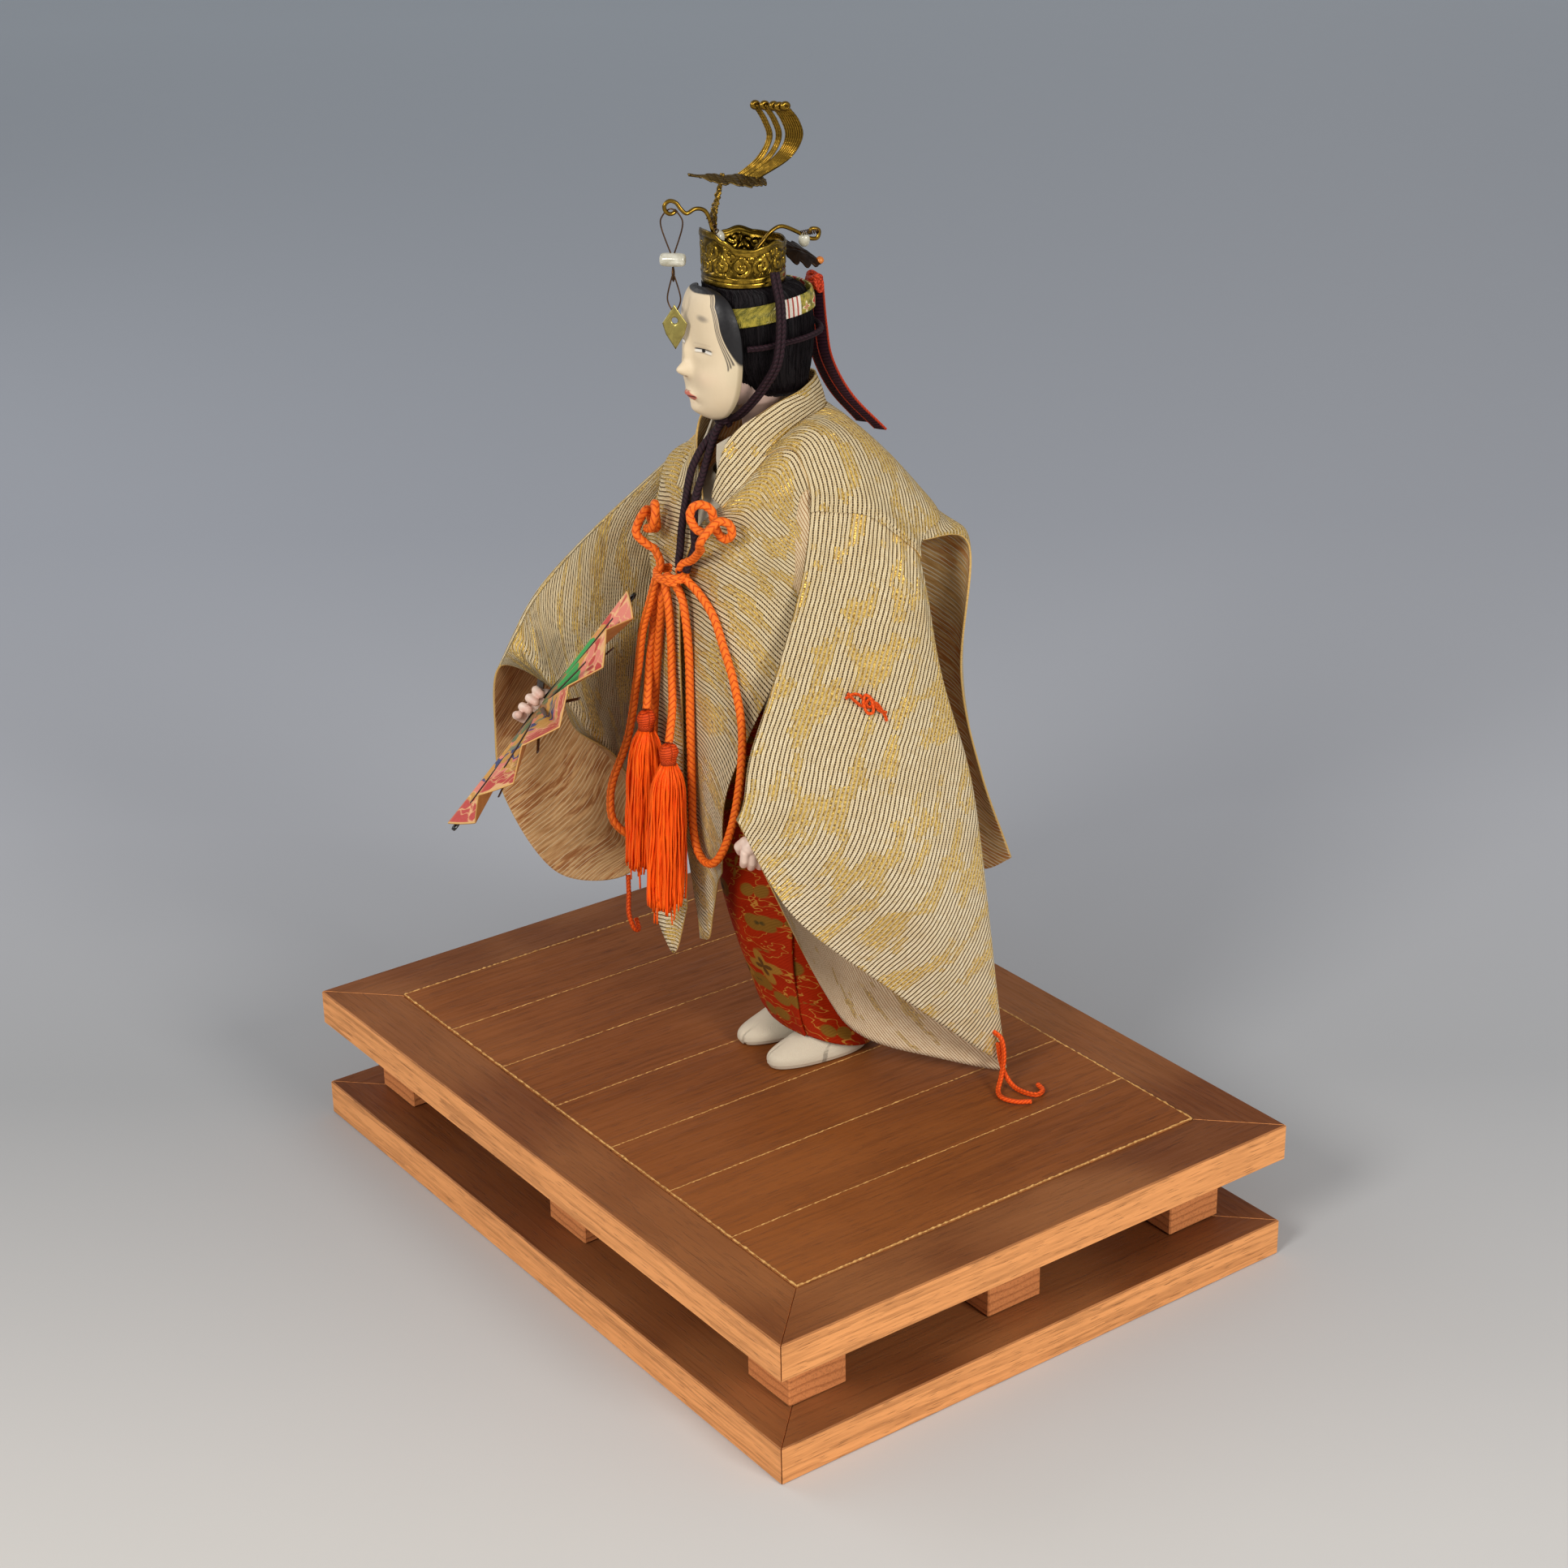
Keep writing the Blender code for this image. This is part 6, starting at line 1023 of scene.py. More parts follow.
def painted(name, rough=0.5, bumpy=900.0, depth=0.00004, **more):
    """A surface whose colours lie on its points, with the fine unevenness of brushed paint."""
    paint = Paint(name, rough, **more)
    grain = paint.noise(paint.place(), bumpy, 3.0, 0.6)
    speck = paint.step(paint.noise(paint.place(), bumpy / 7, 3.0), 0.35, 0.8, 0.0, 0.16)
    colour = paint.mix(speck, paint.painted(), paint.mix(1.0, paint.painted(), (0.80, 0.74, 0.62, 1.0), "MULTIPLY"))
    return paint.done(colour, grain, depth, roughness=paint.step(grain, 0.3, 0.7, rough - 0.06, rough + 0.08))


def hair_paint():
    paint = Paint("dressed_hair", 0.6, specular=0.12)
    where = paint.place()
    strand = paint.noise(paint.scaled(where, 1500.0, 1500.0, 70.0), 1.0, 4.0, 0.7)
    colour = paint.ramp(strand, (0.35, tint(6, 4, 6)), (0.75, tint(27, 20, 22)))
    return paint.done(colour, strand, 0.00018, roughness=paint.step(strand, 0.3, 0.7, 0.36, 0.6))


def straw_paint():
    paint = Paint("bound_straw", 0.9)
    where = paint.place()
    x, y, z = paint.parts(where)
    straw = paint.noise(paint.scaled(where, 900.0, 900.0, 40.0), 1.0, 3.0, 0.6)
    twine = paint.step(paint.math("ABSOLUTE", paint.math("SUBTRACT", paint.math("FRACT", paint.math(
        "DIVIDE", paint.math("MULTIPLY_ADD", x, 0.12, z), 0.006)), 0.5)), 0.09, 0.05)
    colour = paint.ramp(straw, (0.3, tint(150, 122, 70)), (0.7, tint(204, 180, 120)))
    colour = paint.mix(twine, colour, tint(126, 92, 56))
    return paint.done(colour, paint.math("ADD", straw, twine), 0.0003)


def lacquer():
    paint = Paint("black_lacquer", 0.22, specular=0.6)
    where = paint.place()
    worn = paint.step(paint.noise(where, 520.0, 3.0), 0.58, 0.72)
    colour = paint.mix(paint.math("MULTIPLY", worn, 0.5), tint(18, 15, 15), tint(58, 40, 32))
    return paint.done(colour, worn, 0.00003)


def steel():
    paint = Paint("drawn_wire", 0.35, 1.0)
    rust = paint.noise(paint.place(), 700.0, 3.0)
    return paint.done(paint.mix(paint.step(rust, 0.5, 0.75), tint(140, 138, 136), tint(92, 66, 50)), rust, 0.00003)


def stone():
    """A milky bead, a little clear at its edge."""
    paint = Paint("milky_bead", 0.16, transmission=0.25, specular=0.6)
    veil = paint.noise(paint.place(), 420.0, 3.0)
    return paint.done(paint.ramp(veil, (0.35, tint(178, 172, 150)), (0.7, tint(226, 222, 206))), veil, 0.00002)


# The bright colour is for the painted glints on the gold dashes; the dull one is the thread's own tone.
GILT_THREAD = (tint(250, 212, 112), tint(160, 118, 44))
GAUZE = gauze("gauze_outer", tint(248, 232, 198), tint(214, 186, 138), tint(62, 44, 22), GILT_THREAD, 0.48)
# The inner gauze has lighter threads and paler gaps than the outer one: its reverse, lightened as painted light on the
# shaded insides.
GAUZE_IN = gauze("gauze_inner", tint(250, 232, 200), tint(226, 196, 156), tint(150, 108, 68), GILT_THREAD, 0.40)
# The wrong side's ochre ground is set lighter than its own tone as painted light, where the robe's inside lies in
# shade.
GAUZE_BACK = gauze_wrong_side("gauze_wrong_side", tint(232, 190, 126), tint(182, 136, 76), tint(200, 124, 58),
                              tint(246, 236, 208))
GAUZE_ROSE = gauze_wrong_side("gauze_lining", tint(208, 164, 112), tint(166, 116, 68), tint(146, 84, 40),
                              tint(236, 208, 164), 0.75)
GAUZE_EDGE = plain_cloth("gauze_fold", tint(216, 178, 108), tint(170, 126, 62), 0.0005)
WHITE = plain_cloth("white_cotton", tint(220, 207, 184), tint(196, 180, 154))
RED = red_silk()
RED_IN = plain_cloth("red_lining", tint(140, 34, 24), tint(96, 20, 16))
ORANGE = cord_paint("orange_braid", tint(250, 122, 34), tint(196, 70, 10), 0.62, 0.0010)
ORANGE_THIN = cord_paint("orange_thin_braid", tint(250, 96, 20), tint(196, 50, 6), 0.62, 0.0006)
FLOSS = floss("orange_floss", tint(255, 112, 12), tint(240, 70, 2))
BINDING = cord_paint("tassel_binding", tint(226, 80, 18), tint(150, 34, 6), 0.6, 0.0004)
PURPLE = cord_paint("purple_braid", tint(46, 22, 30), tint(18, 8, 12), 0.65, 0.0007)
SKIN = painted("shell_white_skin", 0.42)
MASK = painted("shell_white_mask", 0.46, specular=0.3)
FAN = painted("fan_paper", 0.55, 1400.0, 0.00006)
GOLD = metal("gilt_brass", tint(142, 110, 40), tint(46, 32, 10), 0.27, 0.55)
CARVED_GOLD = metal("gilt_brass_carved", tint(172, 138, 50), tint(44, 32, 8), 0.25, 0.80, True)
DULL_GOLD = metal("gilt_brass_dull", tint(122, 98, 52), tint(48, 36, 18), 0.40)
BRONZE = metal("dark_bronze", tint(58, 40, 26), tint(18, 12, 9), 0.45)
PLATE_GOLD = metal("greenish_gilt", tint(176, 162, 94), tint(100, 86, 42), 0.36)
WIRE_DARK = metal("dark_wire", tint(92, 66, 44), tint(38, 26, 20), 0.4)
BROCADE = brocade()
HAIR = hair_paint()
STRAW = straw_paint()
LACQUER = lacquer()
STEEL = steel()
STONE = stone()


def repaint(names, *finishes):
    """Give carried-over solids their finish."""
    for name in names:
        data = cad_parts[name].data
        data.materials.clear()
        for finish in finishes:
            data.materials.append(finish)


def dress_stage():
    # The top colour is painted shade: the upward faces are painted darker than the sides.
    side, top, dark = tint(232, 158, 96), tint(112, 62, 30), tint(90, 46, 20)
    along_x = wood("cedar_along_x", 0, side, top, dark, 0.42)
    along_y = wood("cedar_along_y", 1, side, top, dark, 0.42)
    # The boards' upward faces are painted darker too: painted shade.
    boards = wood("cedar_boards", 1, tint(190, 120, 66), tint(128, 70, 28), tint(96, 50, 20), 0.36)
    for level in ("lower_rail", "deck_rail"):
        repaint([f"{level}_front", f"{level}_back"], along_x)
        repaint([f"{level}_left", f"{level}_right"], along_y)
    repaint([f"floor_board_{i}" for i in range(1, 8)], boards)
    repaint([f"spacer_block_{i}" for i in range(1, 9)], end_grain())


def build_board_edges():
    """Pale strips that stand a little proud along every floor board: raw wood, painted bright as the highlight where
    the edges catch the light.
    """
    paint = Paint("board_edge_raw_and_highlight", 0.8, specular=0.15)
    # Pale tone of the edges: raw wood and a painted highlight.
    where = paint.place()
    tone = paint.ramp(paint.noise(where, 900.0, 3.0), (0.3, tint(150, 96, 46)), (0.65, tint(222, 172, 104)))
    finish = paint.done(tone, paint.noise(where, 2400.0, 2.0), 0.0001)
    boxes = [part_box(f"floor_board_{i}") for i in range(1, 8)]
    lows = np.array([box[0] for box in boxes])
    highs = np.array([box[1] for box in boxes])
    top = float(highs[:, 2].max())
    (x0, y0), (x1, y1) = lows.min(axis=0)[:2], highs.max(axis=0)[:2]
    lines = [((x0, y0), (x1, y0), 0.00028), ((x1, y0), (x1, y1), 0.00028), ((x1, y1), (x0, y1), 0.00028),
             ((x0, y1), (x0, y0), 0.00028)]
    long = int(np.argmin((highs - lows).mean(axis=0)[:2]))
    for edge in np.unique(np.round(np.concatenate([lows[:, long], highs[:, long]]), 4)):
        if min(abs(edge - lows[:, long].min()), abs(edge - highs[:, long].max())) > 0.002:
            ends = ((edge, y0), (edge, y1)) if long == 0 else ((x0, edge), (x1, edge))
            lines.append((*ends, 0.00013))
    parts = []
    for number, (start, end, wide) in enumerate(lines):
        count = 260
        share = np.linspace(0, 1, count)[:, None]
        route = np.array(start) * (1 - share) + np.array(end) * share
        ragged = waves(share * 90, share * 31, number, 9, 1, 4)
        route = route + ragged * 0.00006
        height = top - 0.00010 + 0.00004 * waves(share * 60, share * 17, number + 40, 7, 1, 4)
        route = np.concatenate([route, height], axis=1)
        size = wide * (1 + 0.45 * np.clip(waves(share * 140, share * 47, number + 80, 9, 1, 4), -1.4, 1.4))
        parts.append(tube_parts(route, np.maximum(size, 0.00004), 6))
    gathered("board_edges", parts, [finish], "stage_and_figure", local=False)


# Cords

def mixed(start, axes, table, size):
    return start + (np.array(table)[:, :3] @ axes) * size


def knot(name, centre, axes):
    """A fastening knot: its cord laid in round loops, one over the other."""
    route = spline(mixed(centre, axes, KNOT_SHARES, KNOT), 150)
    piece = tube(name, route, BREAST_CORD_RADIUS, ORANGE, "stage_and_figure", 14, braid(0.0020, 0.10))
    return piece, route


def tassel(name, top, stretch, seed):
    """Head, binding and some hundred loose strands of silk floss."""
    pick = np.random.default_rng(seed)
    levels = np.array(TASSEL_SHARES)
    below = levels[:, 0] * stretch

    def middle(depth):
        return vector(top[0], top[1] - 0.06 * depth * ARM, top[2] - depth * ARM)

    head_rows = []
    for depth, wide, deep in levels[:5]:
        x, y, z = middle(depth * stretch) / ARM
        head_rows.append((x, y, z, wide, deep))
    grid = loft_grid(head_rows[::-1], 28, 40)
    turn = np.arange(40) / 40 * 2 * math.pi
    grid += normals_of(grid, True) * 0.00012 * np.sin(turn * 13)[None, :, None]
    layout = np.stack([np.broadcast_to(turn / 6.28, grid.shape[:2]), grid[..., 2], np.zeros(grid.shape[:2])], axis=-1)
    head = new_mesh(f"{name}_head", grid, capped(grid), [BINDING], "stage_and_figure", weave=layout.reshape(-1, 3))
    x, y, z = middle(0.062 * stretch)
    ring_turn = np.linspace(0, 2 * math.pi * 5, 130)
    rise = np.linspace(-0.0008, 0.0008, 130)
    route = np.stack([x + np.cos(ring_turn) * 0.00205, y + np.sin(ring_turn) * 0.00215, z + rise], axis=1)
    tie = tube(f"{name}_tie", route, 0.00030, BINDING, "stage_and_figure", 6)
    parts, start = [], 0
    for number in range(230):
        angle = pick.uniform(0, 2 * math.pi)
        out = math.sqrt(pick.uniform(0.02, 1.0))
        length = pick.uniform(0.90, 1.0) if number > 6 else pick.uniform(1.0, 1.10)
        share = np.linspace(0.068 * stretch, below[-1] * length, 12)
        wide = np.interp(share, below, levels[:, 1]) * ARM * 0.90
        deep = np.interp(share, below, levels[:, 2]) * ARM * 0.90
        sway = np.cumsum(pick.normal(0, 0.00016, (12, 2)), axis=0)
        wave = 0.00022 * np.sin(np.linspace(0, pick.uniform(7, 15), 12) + pick.uniform(0, 6))
        route = np.stack([top[0] + math.cos(angle) * out * wide + sway[:, 0] + wave,
                          top[1] - 0.06 * share * ARM + math.sin(angle) * out * deep + sway[:, 1],
                          top[2] - share * ARM], axis=1)
        points, faces, weave = tube_parts(spline(route, 26), 0.00030, 4)
        parts.append((points, faces, weave))
    strands = gathered(f"{name}_strands", parts, [FLOSS], "stage_and_figure")
    core_rows = []
    for depth, wide, deep in levels[5:]:
        x, y, z = middle(depth * stretch * 0.96) / ARM
        core_rows.append((x, y, z, wide * 0.62, deep * 0.62))
    grid = loft_grid(core_rows[::-1], 40, 48)
    grid += normals_of(grid, True) * 0.0002 * np.sin(np.arange(48) * 2.1)[None, :, None]
    core = new_mesh(f"{name}_core", grid, capped(grid), [FLOSS], "stage_and_figure")
    return [strands, head, tie, core]


def route_of(table, count):
    return even(np.array(table) * ARM, count)


def breast_cord(side, table, centre, axes, stretch, seed, end_node, cord_node):
    knot_piece, knot_route = knot(f"fastening_knot_{side}", centre, axes)
    joined = np.concatenate([knot_route[-2:-1], np.array(table) * ARM])
    route = even(joined, 700)
    piece = tube(f"breast_cord_silk_{side}", route, BREAST_CORD_RADIUS, ORANGE, "stage_and_figure", 14,
                 braid(0.0020, 0.10))
    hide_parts(cord_node)
    ends = tassel(f"silk_{end_node}", route[-1], stretch, seed)
    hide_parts(end_node)


def build_cords():
    wind = np.linspace(0.3, 4.3 * math.pi, 140)
    wrap = np.stack([0.0006 + np.cos(wind) * 0.0064, -0.0410 - np.sin(wind) * 0.0040, 0.1645 + wind * 0.00016], axis=1)
    wrap = tube("breast_cord_wrap", wrap, 0.0009, ORANGE, "stage_and_figure", 14, braid(0.0020, 0.10))
    breast_cord("left", BREAST_LEFT_SHARES, LEFT_KNOT, LEFT_KNOT_AXES, 1.0, 3, "tassel_front", "breast_cord_left")
    breast_cord("right", BREAST_RIGHT_SHARES, RIGHT_KNOT, RIGHT_KNOT_AXES, 0.96, 8, "tassel_rear",
                "breast_cord_right")
    route = route_of(SLEEVE_CORD_LEFT_SHARES, 200)
    piece = tube("sleeve_cord_silk_left", route, SLEEVE_CORD_RADIUS, ORANGE_THIN, "stage_and_figure", 10,
                 braid(0.0013, 0.10))
    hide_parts("sleeve_cord_left")
    second = route_of([(0.560, 0.372, 0.185), (0.588, 0.386, 0.165), (0.604, 0.386, 0.110), (0.612, 0.372, 0.050),
                       (0.6375, 0.345, 0.018), (0.680, 0.335, 0.017), (0.720, 0.359, 0.017), (0.742, 0.400, 0.017)],
                      160)
    other = tube("sleeve_cord_return", second, SLEEVE_CORD_RADIUS, ORANGE_THIN, "stage_and_figure", 10,
                 braid(0.0013, 0.10))
    route = route_of(SLEEVE_CORD_RIGHT_SHARES, 160)
    piece = tube("sleeve_cord_silk_right", route, SLEEVE_CORD_RADIUS, ORANGE_THIN, "stage_and_figure", 10,
                 braid(0.0013, 0.10))
    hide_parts("sleeve_cord_right")
    chin = (0.0, -0.226, 2.088)
    parts = []
    for low in ([(0.050, -0.402, 1.672), (0.044, -0.402, 1.704)] + CHEST_SHARES[:5] + [(-0.003, -0.252, 2.060)],
                [(0.072, -0.394, 1.680), (0.077, -0.384, 1.712)] + CHEST_SHARES[:6:-1] + [(0.012, -0.258, 2.055)]):
        parts.append(tube_parts(route_of([*low, chin], 150), CHEST_CORD_RADIUS, 12, braid(0.0015, 0.05)))
    piece = gathered("chest_cord_silk", parts, [PURPLE], None)
    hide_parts("chest_cord")
    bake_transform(piece)
    wind = np.linspace(0, 4.4 * math.pi, 120)
    ring = np.stack([np.cos(wind) * 0.0026, -0.0222 + np.sin(wind) * 0.0016, 0.2085 + wind * 0.00016], axis=1)
    tube("chin_knot", ring, 0.0009, PURPLE, "head_group", 10, braid(0.0013, 0.07))
    half = np.array(CHIN_CORD_HALF_SHARES) * ARM
    other = half[:-1][::-1] * vector(-1, 1, 1)
    route = even(np.concatenate([half, other]), 360)
    along, side, _ = frames_along(route)
    out = route - vector(0, -0.011, 0.230)
    out -= along * np.sum(out * along, axis=1, keepdims=True)
    out /= np.linalg.norm(out, axis=1, keepdims=True)
    across = np.cross(along, out)
    parts = []
    for side in (-1, 1):
        strand = route + across * side * CHIN_CORD_RADIUS * 0.50 + out * side * 0.00012
        parts.append(tube_parts(strand, CHIN_CORD_RADIUS * 0.62, 10, braid(0.0013, 0.07),))
    piece = gathered("chin_cord_silk", parts, [PURPLE], "head_group")
    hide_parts("chin_cord")
    route = route_of(MASK_CORD_SHARES, 300)
    piece = tube("mask_cord_silk", route, MASK_CORD_RADIUS, PURPLE, "head_group", 10, braid(0.0013, 0.07))
    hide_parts("mask_cord")


# Clothes

def folds(grid, amount, seed, low=1.5, high=5.0, closed=False):
    """Small soft folds and dents in a sheet."""
    down, across = grid.shape[:2]
    u, v = np.meshgrid(np.linspace(0, math.pi, across), np.linspace(0, 2 * math.pi, down))
    shift = waves(u, v, seed, 8, low, high)
    if closed:
        shift = waves(np.sin(u * 2), v, seed, 8, low, high)
    return grid + normals_of(grid, closed)[..., :] * (shift * amount)[..., None]


def flat_size(grid, closed=False):
    """Width, length and area of the cloth that a sheet was cut from."""
    ring = np.concatenate([grid, grid[:, :1]], axis=1) if closed else grid
    across = np.linalg.norm(np.diff(ring, axis=1), axis=2)
    down = np.linalg.norm(np.diff(grid, axis=0), axis=2)
    a = ring[:-1, 1:] - ring[:-1, :-1]
    b = ring[1:, :-1] - ring[:-1, :-1]
    c = ring[1:, 1:] - ring[1:, :-1]
    d = ring[1:, 1:] - ring[:-1, 1:]
    area = 0.5 * (np.linalg.norm(np.cross(a, b), axis=2).sum() + np.linalg.norm(np.cross(c, d), axis=2).sum())
    return across.sum(axis=1).max(), down.sum(axis=0).max(), area


def declare(grid, closed=False):
    width, length, area = flat_size(grid, closed)
    width = max(width, area / length * 1.002)


def stripes(grid, across_body, column=0, row=0, tilt=0.0):
    """Layout of the weave: first how far across the stripes a place is, then how far along them."""
    across, down = arcs(grid, column, row)
    first, second = (down, across) if across_body else (across, down)
    c, s = math.cos(tilt), math.sin(tilt)
    return np.stack([first * c + second * s, second * c - first * s, np.zeros(first.shape)], axis=-1)


def hem(name, grid, thickness, lift, width_share, finish, slot="gauze"):
    """A hem: the given strip of cloth made two-sided, its weave running along it."""
    return two_sided(name, grid, thickness, [finish], "stage_and_figure", weave=stripes(grid, False))


COLLAR_FLIP = True


def lapped(grid):
    """The left front reaches further in behind the right one than its solid does."""
    front = grid[:, 0]
    reach = np.clip((front[:, 2] - 0.050) / 0.035, 0, 1) * np.clip((0.172 - front[:, 2]) / 0.010, 0, 1)
    reach = (reach * (front[:, 1] < -0.020))[:, None] * np.clip(1 - np.arange(84) / 24, 0, 1)[None, :] ** 2
    grid = grid.copy()
    grid[..., 0] -= 0.0075 * reach
    return grid


def between(grid, row, column):
    """A place on a sheet between its points."""
    k, m = int(row), int(column)
    down, across = row - k, column - m
    k2, m2 = min(k + 1, grid.shape[0] - 1), min(m + 1, grid.shape[1] - 1)
    return ((grid[k, m] * (1 - across) + grid[k, m2] * across) * (1 - down)
            + (grid[k2, m] * (1 - across) + grid[k2, m2] * across) * down)


def shoulder_yoke(robe, sleeve, hand):
    """The cloth over a shoulder, from under the collar down on to the top of the sleeve."""
    count = 80
    rise = 0.00062
    robe_out = robe + normals_of(robe) * rise * hand
    sleeve_out = sleeve - normals_of(sleeve, True) * rise * hand
    rows = np.linspace(6.72, 9.86, count) / (len(ROBE_LEFT_SHARES) - 1) * (robe.shape[0] - 1)
    columns = np.interp(np.arange(count), (0, 15, 30, 45, 60, 79), (0, 18, 45, 71, 97, 108))
    if hand < 0:
        near = [np.argmin(np.linalg.norm(sleeve[0] - robe[int(row), -1], axis=1)) for row in rows]
        columns = np.poly1d(np.polyfit(np.arange(count), np.unwrap(near, period=240), 3))(np.arange(count)) % 239
    lines = []
    for row, column in zip(rows, columns):
        line = [between(robe_out, row, 83 * part) for part in (0.0, 0.25, 0.5, 0.75, 0.93)]
        away = between(sleeve_out, 0, column) - between(sleeve, 0, column)
        line += [between(sleeve_out, level, column) + away * more for level, more in ((0, 0.9), (2, 0.5), (4, 0.0))]
        lines.append(line)
    lines = np.array(lines)
    for _ in range(6):
        lines[1:-1] = 0.25 * lines[:-2] + 0.5 * lines[1:-1] + 0.25 * lines[2:]
    return spline(lines.swapaxes(0, 1), 90)


def armhole_facing(robe, sleeve):
    """The strip that joins the body width to the front of the left sleeve, under its edge."""
    lines = []
    for part in np.linspace(0, 1, 40):
        start = between(robe, (6.98 - 2.98 * part) / (len(ROBE_LEFT_SHARES) - 1) * 229, 79)
        end = between(sleeve, 36 * part, 3)
        lines.append([start, 0.5 * (start + end) + vector(-0.0004, 0.0008, 0), end])
    return spline(np.array(lines).swapaxes(0, 1), 14)


def build_robe():
    left = folds(lapped(sheet_grid(ROBE_LEFT_SHARES, 230, 84)), 0.00022, 5)
    back = [[(-x, y, z) for x, y, z in row] for row in ROBE_LEFT_SHARES[len(ROBE_RIGHT_FRONT_SHARES):]]
    right = folds(sheet_grid(ROBE_RIGHT_FRONT_SHARES + back, 230, 84), 0.00022, 9)
    for name, grid, flip in (("left", left, False), ("right", right, True)):
        piece = two_sided(f"robe_{name}_gauze", grid, CLOTH, [GAUZE, GAUZE_BACK, GAUZE_EDGE], "stage_and_figure",
                          flip=flip, weave=stripes(grid, True, 0, 110, -0.10))
        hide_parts(f"robe_{name}")
        declare(grid)
    rows = [[tuple(a + 0.62 * (a - b) for a, b in zip(row[0], row[1])), *row] for row in COLLAR_SHARES]
    collar = sheet_grid(rows, 220, 34)
    across, down = arcs(collar)
    bulge = np.sin(np.linspace(0, math.pi, 34)) * 0.00030
    collar = collar + normals_of(collar) * bulge[None, :, None]
    layout = np.stack([across, down, np.zeros(down.shape)], axis=-1)
    piece = two_sided("robe_collar_gauze", collar, CLOTH, [GAUZE, GAUZE_IN, GAUZE_EDGE], "stage_and_figure",
                      flip=COLLAR_FLIP, weave=layout)
    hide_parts("robe_collar")
    inner = sheet_grid(INNER_COLLAR_SHARES, 160, 14)
    piece = two_sided("inner_collar_cotton", inner, CLOTH, [WHITE], "stage_and_figure", weave=stripes(inner, False))
    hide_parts("inner_collar")


def build_stitch(grid):
    """A short tied thread that marks the left sleeve."""
    out = -normals_of(grid, True)
    parts = []
    for lift, places in ((0.0009, ((63, 42), (61, 46), (61, 50), (64, 54), (62, 58), (65, 62), (67, 63))),
                         (0.0013, ((61, 43), (63, 47), (64, 51), (61, 55), (64, 59), (64, 63))),
                         (0.0016, ((60, 52), (63, 51), (66, 53), (65, 56), (61, 55), (60, 52)))):
        route = [grid[k, m] + out[k, m] * lift for k, m in places]
        parts.append(tube_parts(spline(np.array(route), 90), 0.00050, 8, braid(0.0010, 0.15)))
    gathered("sleeve_stitch", parts, [ORANGE_THIN], "stage_and_figure")


def build_sleeves():
    for name, table, inside, seed, flip in (("left", SLEEVE_LEFT_SHARES, GAUZE_IN, 21, True),
                                            ("right", SLEEVE_RIGHT_SHARES, GAUZE_ROSE, 33, False)):
        grid = sheet_grid(table, 150, 240, True)
        down, across = grid.shape[:2]
        t = np.linspace(0, 1, down)[:, None]
        u = np.arange(across)[None, :] / across
        gather = np.sin(2 * math.pi * (u * 17 + 0.25 * np.sin(5 * t))) * np.exp(-((t - 0.10) / 0.16) ** 2) * 0.00020
        drape = waves(2 * math.pi * u, 3 * t, seed, 6, 1, 4) * 0.00050 * np.sin(math.pi * t) ** 0.5
        whole = np.round(gather + drape, 9)
        edge = np.minimum(1.0, np.minimum(u, 1 - u) * 12)
        grid = grid + normals_of(grid, True) * (whole * edge)[..., None]
        piece = two_sided(f"sleeve_{name}_gauze", grid, CLOTH, [GAUZE, inside, GAUZE_EDGE], "stage_and_figure", True,
                          flip, weave=stripes(grid, False, 0, 0))
        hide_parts(f"sleeve_{name}")
        declare(grid, True)
        if name == "left":
            yoke = shoulder_yoke(lapped(sheet_grid(ROBE_LEFT_SHARES, 230, 84)), grid, 1)
            across, down = arcs(yoke, 0, 30)
            piece = two_sided("shoulder_yoke_gauze", yoke, CLOTH, [GAUZE, GAUZE_BACK, GAUZE_EDGE],
                              "stage_and_figure", flip=True, weave=np.stack([across, down, 0 * down], axis=-1))
            declare(yoke)
            build_stitch(grid)
            facing = armhole_facing(lapped(sheet_grid(ROBE_LEFT_SHARES, 230, 84)), grid)
            piece = two_sided("armhole_facing_gauze", facing, CLOTH, [GAUZE, GAUZE_IN, GAUZE_EDGE],
                              "stage_and_figure", flip=True, weave=stripes(facing, False))
            declare(facing)


def build_right_yoke():
    back = [[(-x, y, z) for x, y, z in row] for row in ROBE_LEFT_SHARES[len(ROBE_RIGHT_FRONT_SHARES):]]
    yoke = shoulder_yoke(sheet_grid(ROBE_RIGHT_FRONT_SHARES + back, 230, 84),
                         sheet_grid(SLEEVE_RIGHT_SHARES, 150, 240, True), -1)
    across, down = arcs(yoke, 0, 30)
    piece = two_sided("shoulder_yoke_right_gauze", yoke, CLOTH, [GAUZE, GAUZE_BACK, GAUZE_EDGE],
                      "stage_and_figure", weave=np.stack([across, down, 0 * down], axis=-1))
    declare(yoke)


def build_under_robe():
    """The plain cotton garment under the robe, which shows at its open sides."""
    grid = loft_grid(CORE_SHARES[:7], 120, 220)
    turn = np.arange(220)[None, :] / 220 * 2 * math.pi
    rise = np.linspace(0, 1, 120)[:, None]
    out = normals_of(grid, True)
    out *= np.sign(np.sum(out * (grid - grid.mean(axis=1, keepdims=True)), axis=2, keepdims=True))
    soft_folds = waves(turn * 3, rise * 4, 15, 9, 1, 4) * 0.00022 + np.abs(np.sin(turn * 9 + rise * 2)) * 0.0002
    grid = grid + out * (0.0009 + soft_folds)[..., None]
    flip = float(np.sum(normals_of(grid, True) * out)) < 0
    piece = two_sided("under_robe_cotton", grid, 0.0005, [WHITE], "stage_and_figure", True, flip,
                      weave=stripes(grid, False))
    declare(grid, True)


